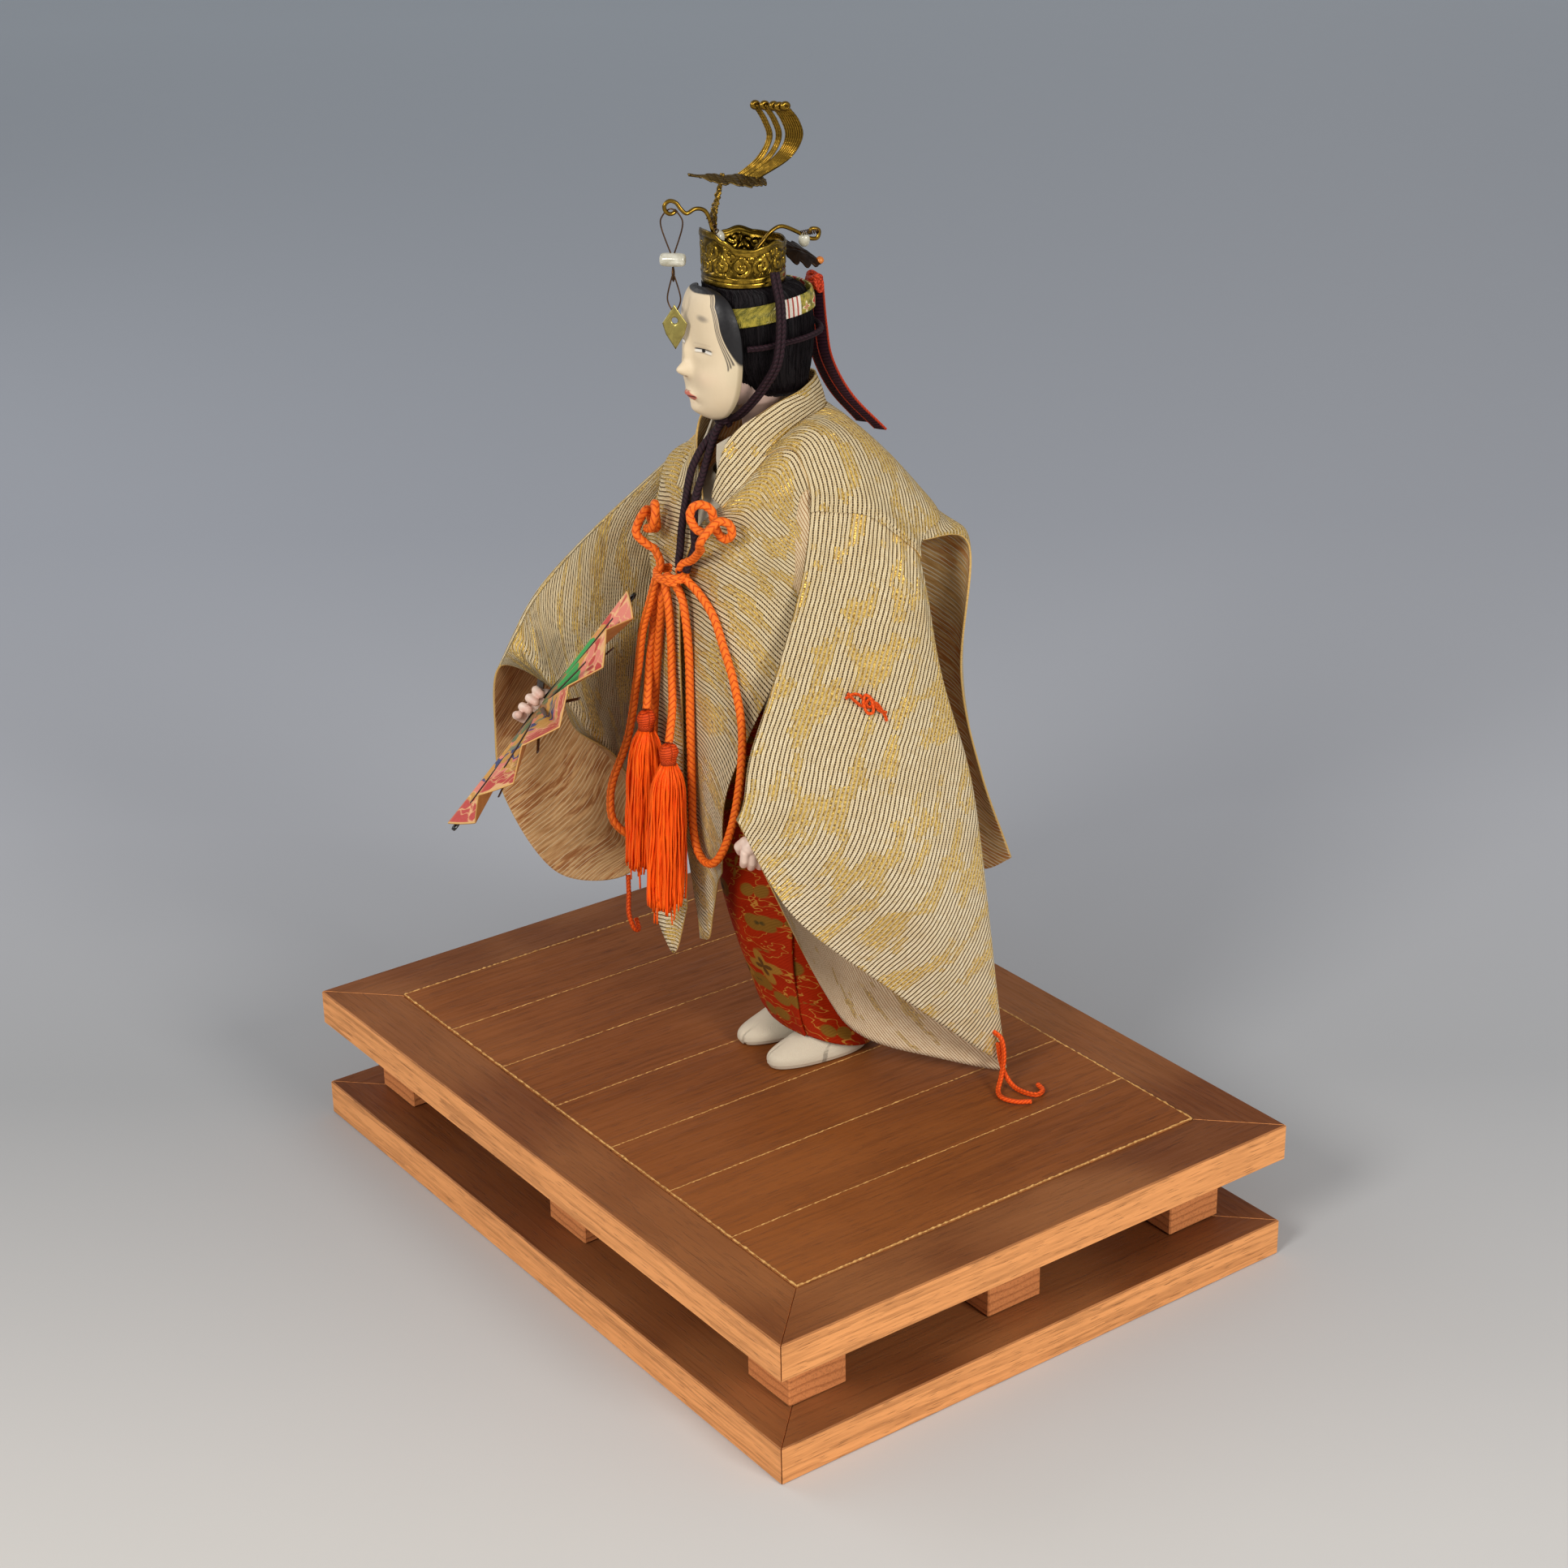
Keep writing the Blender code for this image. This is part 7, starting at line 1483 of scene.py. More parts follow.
def build_skirt():
    rows = []
    lap_size, clear = 0.0014, (SKIRT_CLOTH / 2 + 0.0014 + 0.0003) / ARM
    x, y, z, half_width, half_depth = WAIST_SHARE
    slants = (0.66, 0.58, 0.40, 0.18, 0.0, 0.0, 0.0)
    for number, (x, y, z, half_width, half_depth) in enumerate(
            [*SKIRT_SHARES, (x, y, z, half_width + clear, half_depth + clear)]):
        row = []
        for i in range(16):
            part = i / 15
            turn = -0.75 - slants[number] + part * (2 * math.pi + 0.55)
            lap = lap_size * part / ARM
            along = y + math.sin(turn) * (half_depth + lap)
            fall = 0.33 * (along - y) if number == 0 else 0.0
            row.append((x + math.cos(turn) * (half_width + lap), along, z - fall))
        rows.append(row)
    grid = folds(sheet_grid(rows, 120, 200), 0.00012, 2)
    piece = two_sided("skirt_silk", grid, SKIRT_CLOTH, [RED, RED_IN, RED], "stage_and_figure",
                      weave=stripes(grid, False))
    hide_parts("skirt")
    declare(grid)


def build_feet():
    """White split-toed socks with a seam round the sole."""
    for side, place in FOOT_PLACE_SHARES.items():
        rows = [(x + place[0], y + place[1], z + 0.008, w, d) for x, y, z, w, d in FOOT_SHARES]
        grid = loft_grid(rows, 70, 96, 2.3)
        centre = vector(place[0], place[1] - 0.005, 0) * ARM
        out = normals_of(grid, True)
        front = np.clip((centre[1] - grid[..., 1] - 0.010) / 0.006, 0, 1)
        inner_side = -1 if side == "left" else 1
        split = np.exp(-((grid[..., 0] - centre[0] - inner_side * 0.0016) / 0.00035) ** 2) * front
        seam = np.exp(-((grid[..., 2] - 0.0020) / 0.00025) ** 2)
        grid = grid - out * (split * 0.0008 + seam * 0.00012)[..., None]
        turn = np.linspace(0, 0.05, 96)[None, :]
        layout = np.stack([np.broadcast_to(turn, grid.shape[:2]), grid[..., 2], np.zeros(grid.shape[:2])], axis=-1)
        piece = new_mesh(f"tabi_{side}", grid, capped(grid), [WHITE], "stage_and_figure",
                         weave=layout.reshape(-1, 3))
        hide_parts(f"foot_{side}")


# Head

def soft(distance, inner, outer):
    """1 within the inner distance, 0 past the outer one."""
    t = np.clip((outer - distance) / (outer - inner), 0, 1)
    return t * t * (3 - 2 * t)


def blend(colours, share, colour):
    share = share[..., None]
    return colours * (1 - share) + np.array(colour) * share


def relief(x, z):
    total = np.zeros(np.broadcast(x, z).shape)
    for (across, height), (wide, tall), stands in MASK_RELIEF_SHARES:
        total += stands * np.exp(-((x - across) / wide) ** 2 - ((z - height) / tall) ** 2)
    return total


def build_mask():
    """A calm young woman's mask of the traditional kind: smudged high brows, narrow eyes, parted red lips."""
    down, across = 330, 260
    rows = np.array(MASK_ROW_SHARES)
    fine = spline(rows, down)
    z, half, edge, front = (fine[:, i:i + 1] for i in range(4))
    turn = math.pi * (np.arange(across) / (across - 1) - 0.5)[None, :]
    x = -np.sin(turn) * half
    bow = np.maximum(np.cos(turn), 0)
    y = edge + (front - edge) * bow ** 0.9 - relief(x, z) * bow
    grid = np.stack([x, y, np.broadcast_to(z, x.shape)], axis=-1) * ARM
    side = np.abs(x)
    colours = np.empty(x.shape + (4,))
    colours[:] = tint(212, 192, 161)
    colours = blend(colours, 0.35 * soft(np.hypot((side - 0.070) / 1.3, z - 2.245), 0.0, 0.040), tint(226, 196, 168))
    colours = blend(colours, 0.45 * soft(np.abs(side - 0.132), 0.0, 0.020), tint(196, 182, 150))
    brow = soft(np.hypot((side - 0.062) / 2.3, (z - 2.418) + (side - 0.062) * 0.10), 0.002, 0.0135)
    colours = blend(colours, 0.62 * brow, tint(88, 84, 84))
    bend = 2.3290 - 1.6 * (side - 0.058) ** 2
    within = soft(np.abs(side - 0.060), 0.027, 0.036)
    colours = blend(colours, within * soft(np.abs(z - bend + 0.0055), 0.0030, 0.0055), tint(226, 220, 210))
    pupil = soft(np.hypot(side - 0.057, (z - bend + 0.0050) * 1.3), 0.0058, 0.0082)
    colours = blend(colours, pupil, tint(22, 18, 18))
    colours = blend(colours, within * soft(np.abs(z - bend), 0.0013, 0.0030), tint(20, 16, 18))
    colours = blend(colours, 0.6 * within * soft(np.abs(z - bend + 0.0112), 0.0002, 0.0017), tint(96, 72, 62))
    colours = blend(colours, 0.30 * within * soft(np.abs(z - bend - 0.0150), 0.0, 0.0060), tint(178, 158, 132))
    # Painted shade in the nostrils.
    nostril = soft(np.hypot((side - 0.0105) / 1.2, z - 2.2440), 0.0015, 0.0042)
    colours = blend(colours, 0.75 * nostril, tint(120, 84, 68))
    width = 0.0345
    cupid = 0.0040 * np.exp(-((side - 0.009) / 0.008) ** 2)
    upper = 2.1865 + 0.0085 * np.clip(1 - (side / width) ** 2, 0, 1) + cupid * (side < width)
    lower = 2.1800 - 0.0100 * np.clip(1 - (side / (width * 0.86)) ** 2, 0, 1) ** 0.8
    lips = soft(z - upper, -0.0010, 0.0010) * soft(lower - z, -0.0010, 0.0010) * soft(side, width - 0.002, width)
    colours = blend(colours, 0.85 * lips, tint(176, 66, 54))
    parted = soft(np.abs(z - 2.1842 + 0.9 * side ** 2), 0.0020, 0.0034) * soft(side, width - 0.010, width - 0.002)
    colours = blend(colours, parted, tint(40, 16, 16))
    teeth = soft(np.abs(z - 2.1858 + 0.9 * side ** 2), 0.0006, 0.0013) * soft(side, 0.015, 0.019)
    colours = blend(colours, 0.7 * teeth, tint(196, 184, 160))
    rim = half - side
    rise = np.clip((z - 2.275) / 0.125, 0, 1)
    hairline = 0.020 * rise * rise * (3 - 2 * rise) * np.clip((2.500 - z) / 0.045, 0.35, 1)
    parting = soft(2.480 + 0.10 * side ** 1.2 - z, -0.002, 0.002)
    hair = np.maximum(soft(rim - hairline, -0.0010, 0.0010) * (rise > 0), parting)
    colours = blend(colours, hair, tint(24, 22, 24))
    for number in range(3):
        line = np.abs(rim - hairline - 0.0030 - 0.0034 * number)
        low = 2.290 - 0.008 * number
        strand = soft(line, 0.0005, 0.0016) * soft(low - z, -0.004, 0.004)
        colours = blend(colours, 0.85 * strand, tint(46, 40, 42))
    colours = blend(colours, soft(rim, 0.0, 0.0016) * (1 - hair), tint(170, 152, 122))
    carve = 0.0010 * within * soft(np.abs(z - bend + 0.0060), 0.0010, 0.0060)
    carve += 0.0022 * parted
    carve -= 0.0016 * within * soft(np.abs(z - bend - 0.0080), 0.0, 0.0090)
    carve -= 0.0012 * lips * (1 - parted)
    out = normals_of(grid)
    grid = grid - out * carve[..., None] * ARM
    piece = two_sided("mask_shell", grid, 0.0013, [MASK], "head_group", tints=colours, offset=-1.0)
    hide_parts("mask")


def build_headband():
    rows = np.array(HEADBAND_SHARES, float)
    fine = spline(rows, 22) * ARM
    count = 320
    turn = 2 * math.pi * np.arange(count) / count
    c, s = np.cos(turn), np.sin(turn)
    x = np.sign(c) * np.abs(c) ** (2 / 2.6)
    y = np.sign(s) * np.abs(s) ** (2 / 2.6)
    grid = np.empty((22, count, 3))
    grid[..., 0] = fine[:, 0:1] + x * fine[:, 3:4]
    grid[..., 1] = fine[:, 1:2] + y * fine[:, 4:5]
    grid[..., 2] = fine[:, 2:3] + 0.10 * y * fine[:, 4:5]
    puff = np.sin(np.linspace(0, math.pi, 22))[:, None] * 0.00018 + waves(turn * 6, 0 * turn, 4, 5)[None] * 0.00004
    grid = grid + normals_of(grid, True) * puff[..., None]
    across, down = arcs(grid)
    piece = two_sided("headband_brocade", grid, 0.0005, [BROCADE], "head_group", True,
                      weave=np.stack([across, down, np.zeros(down.shape)], axis=-1))
    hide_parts("headband")


def build_tails():
    """Two dark ribbons with orange-red edges, and the knot that they hang from."""
    made = []
    ribbon = cord_paint("ribbon_silk", tint(58, 28, 40), tint(30, 14, 22), 0.5, 0.0005)
    edge = cord_paint("ribbon_edge", tint(206, 66, 28), tint(150, 36, 14), 0.5, 0.0005)
    for number, table in enumerate(TAIL_SHARES):
        middle = route_of(table, 140)
        share = np.linspace(-1, 1, 15)
        curl = 0.00030 * (share ** 2 - 0.5)
        grid = middle[:, None] + np.stack([share * 0.0016, share * 0.0010 + curl, 0 * share], axis=1)[None]
        across, down = arcs(grid)
        weave = np.stack([across / 0.02, down, np.zeros(down.shape)], axis=-1)
        piece = two_sided(f"ribbon_tail_{number + 1}", grid, 0.0005, [ribbon], "head_group", weave=weave)
        made.append(piece)
        for side in (0, -1):
            points, faces, layout = tube_parts(grid[:, side], 0.00036, 8)
            made.append(new_mesh(f"ribbon_edge_{number + 1}_{'ab'[side]}", points, faces, [edge], "head_group",
                                 weave=layout))
    centre = vector(0.0, 0.086, 2.465) * ARM
    turn = np.linspace(0, 2 * math.pi, 90)
    parts = []
    for number in range(3):
        lift = (number - 1) * 0.0011
        loop = np.stack([np.cos(turn) * 0.0026, np.sin(turn) * 0.0013, np.sin(turn * 2 + number) * 0.0005 + lift], axis=1)
        parts.append(tube_parts(centre + loop, 0.00085, 12))
    for side in (-1, 1):
        loop = np.stack([side * (0.0012 + 0.0022 * np.sin(turn / 2)), np.sin(turn) * 0.0010 - 0.0001,
                         -0.0004 + np.cos(turn) * 0.0022], axis=1)
        parts.append(tube_parts(centre + loop, 0.00060, 10))
    knot_piece = gathered("ribbon_knot", parts, [edge], "head_group")
    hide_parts("headband_tails")


# Crown

def crown_height(turn):
    part = np.abs(turn) / math.pi
    table = np.array(CROWN_EDGE_SHARES)
    k = np.clip(np.searchsorted(table[:, 0], part, side="left") - 1, 0, len(table) - 2)
    t = (part - table[k, 0]) / (table[k + 1, 0] - table[k, 0])
    t = t * t * (3 - 2 * t)
    return ARM * 0.155 * (table[k, 1] + (table[k + 1, 1] - table[k, 1]) * t)


def scrolls(across, up, centres, pitch):
    """Raised cloud scrolls: ridges that wind in to each centre."""
    total = np.zeros(across.shape)
    for cx, cy, size, hand in centres:
        dx, dy = across - cx, up - cy
        r = np.hypot(dx, dy)
        wind = np.arctan2(dy, dx * hand) / (2 * math.pi)
        ridge = 0.5 + 0.5 * np.cos(2 * math.pi * (r / pitch - wind))
        total = np.maximum(total, ridge ** 0.8 * soft(r, size * 0.86, size))
    return total


def build_crown_band():
    down, across = 90, 520
    side = np.array(CROWN_SIDE_SHARES)
    heights = np.interp(np.linspace(0, len(side) - 1, down), np.arange(len(side)), side[:, 0])
    stands = np.interp(np.linspace(0, len(side) - 1, down), np.arange(len(side)), side[:, 1])
    turn = 2 * math.pi * np.arange(across) / across - math.pi
    rise = crown_height(turn)[None, :] * heights[:, None]
    radius = ARM * 0.112 * (1 + stands)[:, None]
    around = turn[None, :] * 0.0112
    centres = []
    for row, (level, size, total) in enumerate(((0.0058, 0.0028, 12), (0.0096, 0.0024, 12), (0.0080, 0.0012, 24))):
        for k in range(total):
            place = (k + 0.5 * (row % 2)) / total * 2 * math.pi - math.pi
            if float(crown_height(np.array([place]))[0]) > level + size * 0.9:
                centres.append((place * 0.0112, level, size, 1 if (k + row) % 2 else -1))
    pattern = scrolls(np.broadcast_to(around, rise.shape), rise, centres, 0.00150)
    ribbons = 0.5 + 0.5 * np.sin(around * 1500 + 3 * np.sin(rise * 700))
    pattern = np.maximum(pattern, 0.5 * ribbons * (pattern < 0.05))
    below_rim = crown_height(turn)[None, :] - rise
    field = soft(-rise, -0.0032, -0.0027) * soft(-below_rim, -0.0023, -0.0018)
    rim = np.zeros(rise.shape)
    for number in range(3):
        rim = np.maximum(rim, soft(np.abs(below_rim - 0.00025 - 0.00062 * number), 0.00010, 0.00028))
    swell = 0.00052 * pattern * field + 0.00030 * rim
    foot = soft(np.abs(rise - 0.0006), 0.0003, 0.0006) + soft(np.abs(rise - 0.0019), 0.0003, 0.0006)
    # shown: the raised relief; the gilt paints the ground around it darker, as painted shade and browned gilt.
    shown = np.clip(pattern * field + rim + foot, 0, 1)
    radius = radius + swell
    centre = vector(0.0, -0.145, 2.500) * ARM
    grid = np.stack([centre[0] + np.sin(turn)[None, :] * radius, centre[1] - np.cos(turn)[None, :] * radius,
                     centre[2] + rise], axis=-1)
    piece = two_sided("crown_band_gilt", grid, 0.0005, [CARVED_GOLD], "head_group", True, offset=1.0,
                      weave=np.stack([shown, 0 * shown, 0 * shown], axis=-1))
    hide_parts("crown_band")


def build_crown_trim():
    grid = sheet_grid(LEAF_SHARES, 120, 80)
    u = np.linspace(-1, 1, 80)[None, :]
    v = np.linspace(0, 1, 120)[:, None]
    vein = np.abs(np.sin((np.abs(u) * 2.4 + v * 5.5) * math.pi)) ** 3 * 0.00006 - np.exp(-(u / 0.08) ** 2) * 0.00018
    scallop = 0.80 - 0.26 * np.abs(np.cos(v * math.pi * 3.0)) ** 3 + 0.0 * u
    middle = grid[:, 40:41]
    grid = middle + (grid - middle) * scallop[..., None]
    tilt = math.radians(34)
    away = (grid - middle)[..., 0].copy()
    grid[..., 0] = middle[..., 0] + away * math.cos(tilt)
    grid[..., 2] -= away * math.sin(tilt)
    grid = grid + normals_of(grid) * vein[..., None]
    piece = two_sided("crown_leaf_bronze", grid, 0.0005, [BRONZE], "head_group")
    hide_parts("crown_leaf")
    # An amber ball at the leaf's tip stands in for the amber highlight that the leaf shows there: a painted highlight.
    tip = vector(0.0, 0.104, 2.520) * ARM
    ball = loft_grid([(0, 0, -0.012, 0.001, 0.001), (0, 0, -0.008, 0.009, 0.009), (0, 0, 0, 0.0125, 0.0125),
                      (0, 0, 0.008, 0.009, 0.009), (0, 0, 0.012, 0.001, 0.001)], 16, 24) + tip
    amber = Paint("amber_highlight_bead", 0.2, specular=0.6)
    tone = amber.ramp(amber.noise(amber.place(), 900.0, 2.0), (0.3, tint(150, 74, 24)), (0.7, tint(206, 122, 44)))
    new_mesh("crown_leaf_tip", ball, capped(ball), [amber.done(tone)], "head_group")
    route = route_of(CROWN_WIRE_SHARES, 300)
    piece = tube("crown_wire_gilt", route, 0.0006, GOLD, "head_group", 10)
    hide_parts("crown_wire")
    for name, start, end in (("front", (0.022, -0.262, 2.694), (0.022, -0.215, 2.600)),
                             ("rear", (0.006, 0.040, 2.606), (0.014, 0.092, 2.612))):
        a, b = np.array(start) * ARM, np.array(end) * ARM
        run = np.linspace(0, 1, 160)[:, None]
        along = b - a
        cross = np.cross(along, (0.9, 0.3, 0.2))
        cross /= np.linalg.norm(cross)
        other = np.cross(along / np.linalg.norm(along), cross)
        wind = 2 * math.pi * run * 8
        coil = a + along * run + (cross * np.cos(wind) + other * np.sin(wind)) * 0.00078
        tube(f"crown_binding_{name}", coil, 0.00016, WIRE_DARK, "head_group", 6)


def build_phoenix():
    """The bird: feathered plate, ribbed plumes with curled tips, and its crumpled post."""
    table = np.array(BIRD_ROW_SHARES)
    down, across = 150, 44
    rows = []
    for half_width, y in table:
        z = 2.815 - 0.13 * (y - table[0][1])
        rows.append([(-half_width, y, z - half_width * 0.3), (0, y, z), (half_width, y, z - half_width * 0.3)])
    grid = sheet_grid(rows, down, across)
    u = np.linspace(-1, 1, across)[None, :]
    v = np.linspace(0, 1, down)[:, None]
    row = v * 11
    offset = (np.floor(row) % 2) * 0.5
    feather = np.abs(((np.abs(u) * 4 + offset) % 1) - 0.5) * 2
    drop = (row % 1) - 0.55 * feather ** 2
    scale = np.clip(drop, 0, 1) * 0.00030
    quill = 0.00012 * np.exp(-((feather - 0.0) / 0.18) ** 2)
    bump = scale + quill - 0.00010 * np.exp(-((u) / 0.1) ** 2)
    bend = 0.0002 * np.sin(v * 19 + u * 3)
    grid = grid - normals_of(grid) * np.minimum(-0.0 + bump + bend, 0.0006)[..., None]
    plate = two_sided("phoenix_plate", grid, 0.0004, [DULL_GOLD], "head_group")
    left = even(np.array(PLUME_LEFT_SHARES) * ARM, 90)
    right = even(np.array(PLUME_RIGHT_SHARES) * ARM, 90)
    parts_points, parts_faces, start = [], [], 0
    base_spans = ((0.0, 0.24), (0.25, 0.46), (0.47, 1.0))
    part = np.clip((np.linspace(0, 1, 90) - 0.22) / 0.35, 0, 1)
    part = (part * part * (3 - 2 * part))[:, None]
    for number, ((begin, end), (low, high)) in enumerate(zip(((0.0, 0.16), (0.26, 0.42), (0.52, 1.0)), base_spans)):
        lines = 30 if number < 2 else 80
        across = np.linspace(0, 1, lines)[None, :]
        share = (low + (begin - low) * part) * (1 - across) + (high + (end - high) * part) * across
        plume = left[:, None] + (right - left)[:, None] * share[..., None]
        ribs = 3 if number < 2 else 8
        wave = np.cos(np.linspace(0, 2 * math.pi * ribs, lines))[None, :] * 0.00016
        near_tip = np.linspace(0, 1, 90)[:, None] ** 3
        cross_wave = 0.00009 * near_tip * np.sin(np.linspace(0, 150, 90))[:, None]
        plume = plume + normals_of(plume) * (wave + cross_wave)[..., None]
        item = two_sided(f"phoenix_plume_{number + 1}", plume, 0.0004, [GOLD], "head_group")
        count = 1 if number < 2 else 3
        for k in range(count):
            place = plume[-1, int((k + 0.5) / count * (lines - 1))]
            turn = np.linspace(0, 1, 46)
            spiral = 0.0012 * (1 - 0.66 * turn)
            angle = turn * 2 * math.pi * 1.35
            curl = np.stack([0 * turn, -np.sin(angle) * spiral, (1 - np.cos(angle)) * spiral * 0.75 - 0.0004], axis=1)
            width = 0.00075 if number < 2 else 0.00080
            points, faces, _ = tube_parts(place + curl - vector(0, 0, 0.00035), width * (1 - 0.25 * turn), 12, start=start)
            parts_points.append(points)
            parts_faces += [tuple(f) for f in faces]
            start += len(points)
    new_mesh("phoenix_plume_tips", np.concatenate(parts_points), parts_faces, [GOLD], "head_group")
    post = loft_grid(POST_SHARES, 80, 40)
    turn = np.arange(40)[None, :] / 40 * 2 * math.pi
    crumple = waves(turn * 2, np.linspace(0, 30, 80)[:, None], 12, 7, 1, 3) * 0.00022
    post = post + normals_of(post, True) * crumple[..., None] * 0.8
    new_mesh("phoenix_post", post, capped(post), [GOLD], "head_group")
    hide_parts("phoenix")


def wire_loop(centre, table, radius):
    shape = np.array(table) * ARM
    shape = shape[:, :1] * PENDANT_ACROSS + vector(0, 0, 1) * shape[:, 2:] + shape[:, 1:2] * PENDANT_OUT
    route = spline(centre + shape, 80, True)
    along = np.roll(route, -1, axis=0) - np.roll(route, 1, axis=0)
    along /= np.linalg.norm(along, axis=1, keepdims=True)
    flat = np.linalg.svd(route - route.mean(axis=0))[2][2]
    other = np.cross(along, flat)
    turn = 2 * math.pi * np.arange(8) / 8
    ring = flat[None, None] * np.cos(turn)[None, :, None] + other[:, None] * np.sin(turn)[None, :, None]
    points = (route[:, None] + ring * radius).reshape(-1, 3)
    j, i = np.meshgrid(np.arange(80), np.arange(8), indexing="ij")
    k, m = (i + 1) % 8, (j + 1) % 80
    faces = np.stack([j * 8 + i, j * 8 + k, m * 8 + k, m * 8 + i], axis=-1).reshape(-1, 4)
    return points, faces.tolist(), np.zeros((len(points), 3))


PENDANT_ACROSS = vector(0.62, 0.785, 0.0)
PENDANT_OUT = vector(-0.785, 0.62, 0.0)


def build_pendants():
    """The milky bead and the pointed plate under it, on their dark wires, and two more small beads."""
    hang = vector(0.0, -0.368, 2.7118) * ARM
    bead_centre = hang - vector(0, 0, 0.0130)
    r = 0.029
    profile = [(0, 0, -r, 0.004, 0.004), (0, 0, -r * 0.92, 0.013, 0.013), (0, 0, -r * 0.55, 0.0235, 0.0235),
               (0, 0, 0, r * 0.93, r * 0.93), (0, 0, r * 0.55, 0.0235, 0.0235), (0, 0, r * 0.92, 0.013, 0.013),
               (0, 0, r, 0.004, 0.004)]
    barrel = [(0, 0, -0.036, 0.005, 0.005), (0, 0, -0.035, 0.014, 0.014), (0, 0, -0.026, 0.0185, 0.0185),
              (0, 0, 0, 0.0195, 0.0195), (0, 0, 0.026, 0.0185, 0.0185), (0, 0, 0.035, 0.014, 0.014),
              (0, 0, 0.036, 0.005, 0.005)]
    ball = loft_grid(barrel, 50, 40)
    ball = (ball[..., 2:] * PENDANT_ACROSS + ball[..., :1] * PENDANT_OUT + ball[..., 1:2] * vector(0, 0, 1)
            + bead_centre)
    piece = new_mesh("milky_bead", ball, capped(ball), [STONE], "bead_pendant")
    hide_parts("pendant_bead")
    loop = [(0.0, 0.0, 0.0138), (0.024, 0.0, -0.004), (0.031, 0.0, -0.034), (0.008, 0.0, -0.104), (0.0, 0.0, -0.118),
            (-0.008, 0.0, -0.104), (-0.031, 0.0, -0.034), (-0.024, 0.0, -0.004)]
    eye = [(0.0, 0.0, 0.008), (0.0, 0.010, -0.004), (0.0, 0.010, -0.020), (0.0, 0.0, -0.032), (0.0, -0.010, -0.020),
           (0.0, -0.010, -0.004)]
    low = bead_centre - vector(0, 0, 0.0029)
    gathered("bead_wires", [wire_loop(hang, loop, 0.00022)], [WIRE_DARK], "bead_pendant")
    gathered("bead_eye_wire", [wire_loop(low, eye, 0.00024)], [WIRE_DARK], "bead_pendant")
    pivot = low - vector(0, 0, 0.0024)
    top = pivot[2] - 0.0075
    outline = [(x * 0.0036, top - z * 0.0130) for x, z in PLATE_OUTLINE_SHARES]
    outline += [(-x, z) for x, z in outline[-2:0:-1]]
    edge = np.array(outline)
    edge = np.stack([np.interp(np.linspace(0, len(edge), 120, endpoint=False), np.arange(len(edge) + 1),
                               np.append(edge[:, i], edge[0, i])) for i in range(2)], axis=1)
    hole = np.array([0.0, top - 0.0046])
    angle = np.arctan2(edge[:, 1] - hole[1], edge[:, 0] - hole[0])
    inner = hole + np.stack([np.cos(angle), np.sin(angle)], axis=1) * 0.0009
    rings = []
    for share in (0.0, 0.12, 0.5, 0.88, 1.0):
        flat = inner + (edge - inner) * share
        lift = 0.00025 - 0.00012 * (share in (0.0, 1.0)) + 0.00008 * (share == 0.5)
        rings.append((flat, lift))
    points, faces = [], []
    for side in (-1, 1):
        for flat, lift in (rings if side < 0 else rings[::-1]):
            points.append(vector(pivot[0], pivot[1], 0) + flat[:, :1] * PENDANT_ACROSS + flat[:, 1:] * vector(0, 0, 1)
                          + side * lift * PENDANT_OUT)
    count, loops = 120, len(points)
    for j in range(loops):
        m = (j + 1) % loops
        for i in range(count):
            k = (i + 1) % count
            faces.append((j * count + i, j * count + k, m * count + k, m * count + i))
    piece = new_mesh("pendant_leaf_plate", np.concatenate(points), faces, [PLATE_GOLD], "plate_pendant")
    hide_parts("pendant_plate")
    loop = [(0.0, 0.0, 0.010), (0.007, 0.0, -0.006), (0.019, 0.0, -0.056), (0.010, 0.0, -0.086), (0.0, 0.0, -0.092),
            (-0.010, 0.0, -0.086), (-0.019, 0.0, -0.056), (-0.007, 0.0, -0.006)]
    gathered("plate_wire", [wire_loop(pivot, loop, 0.00022)], [WIRE_DARK], "plate_pendant")
    for name, place in (("front", (0.022, -0.232, 2.632)), ("rear", (0.003, 0.052, 2.588))):
        ball = loft_grid([(x, y, z * 0.72, w * 0.62, d * 0.62) for x, y, z, w, d in profile], 24, 28)
        ball = ball + np.array(place) * ARM
        new_mesh(f"crown_bead_{name}", ball, capped(ball), [STONE], "head_group")


# Fan and hands

def fan_places(turn, radius, stands):
    along = FAN_MIDDLE * np.cos(turn)[..., None] + FAN_ACROSS * np.sin(turn)[..., None]
    return FAN_PIVOT + along * radius[..., None] + FAN_FACE * stands[..., None]


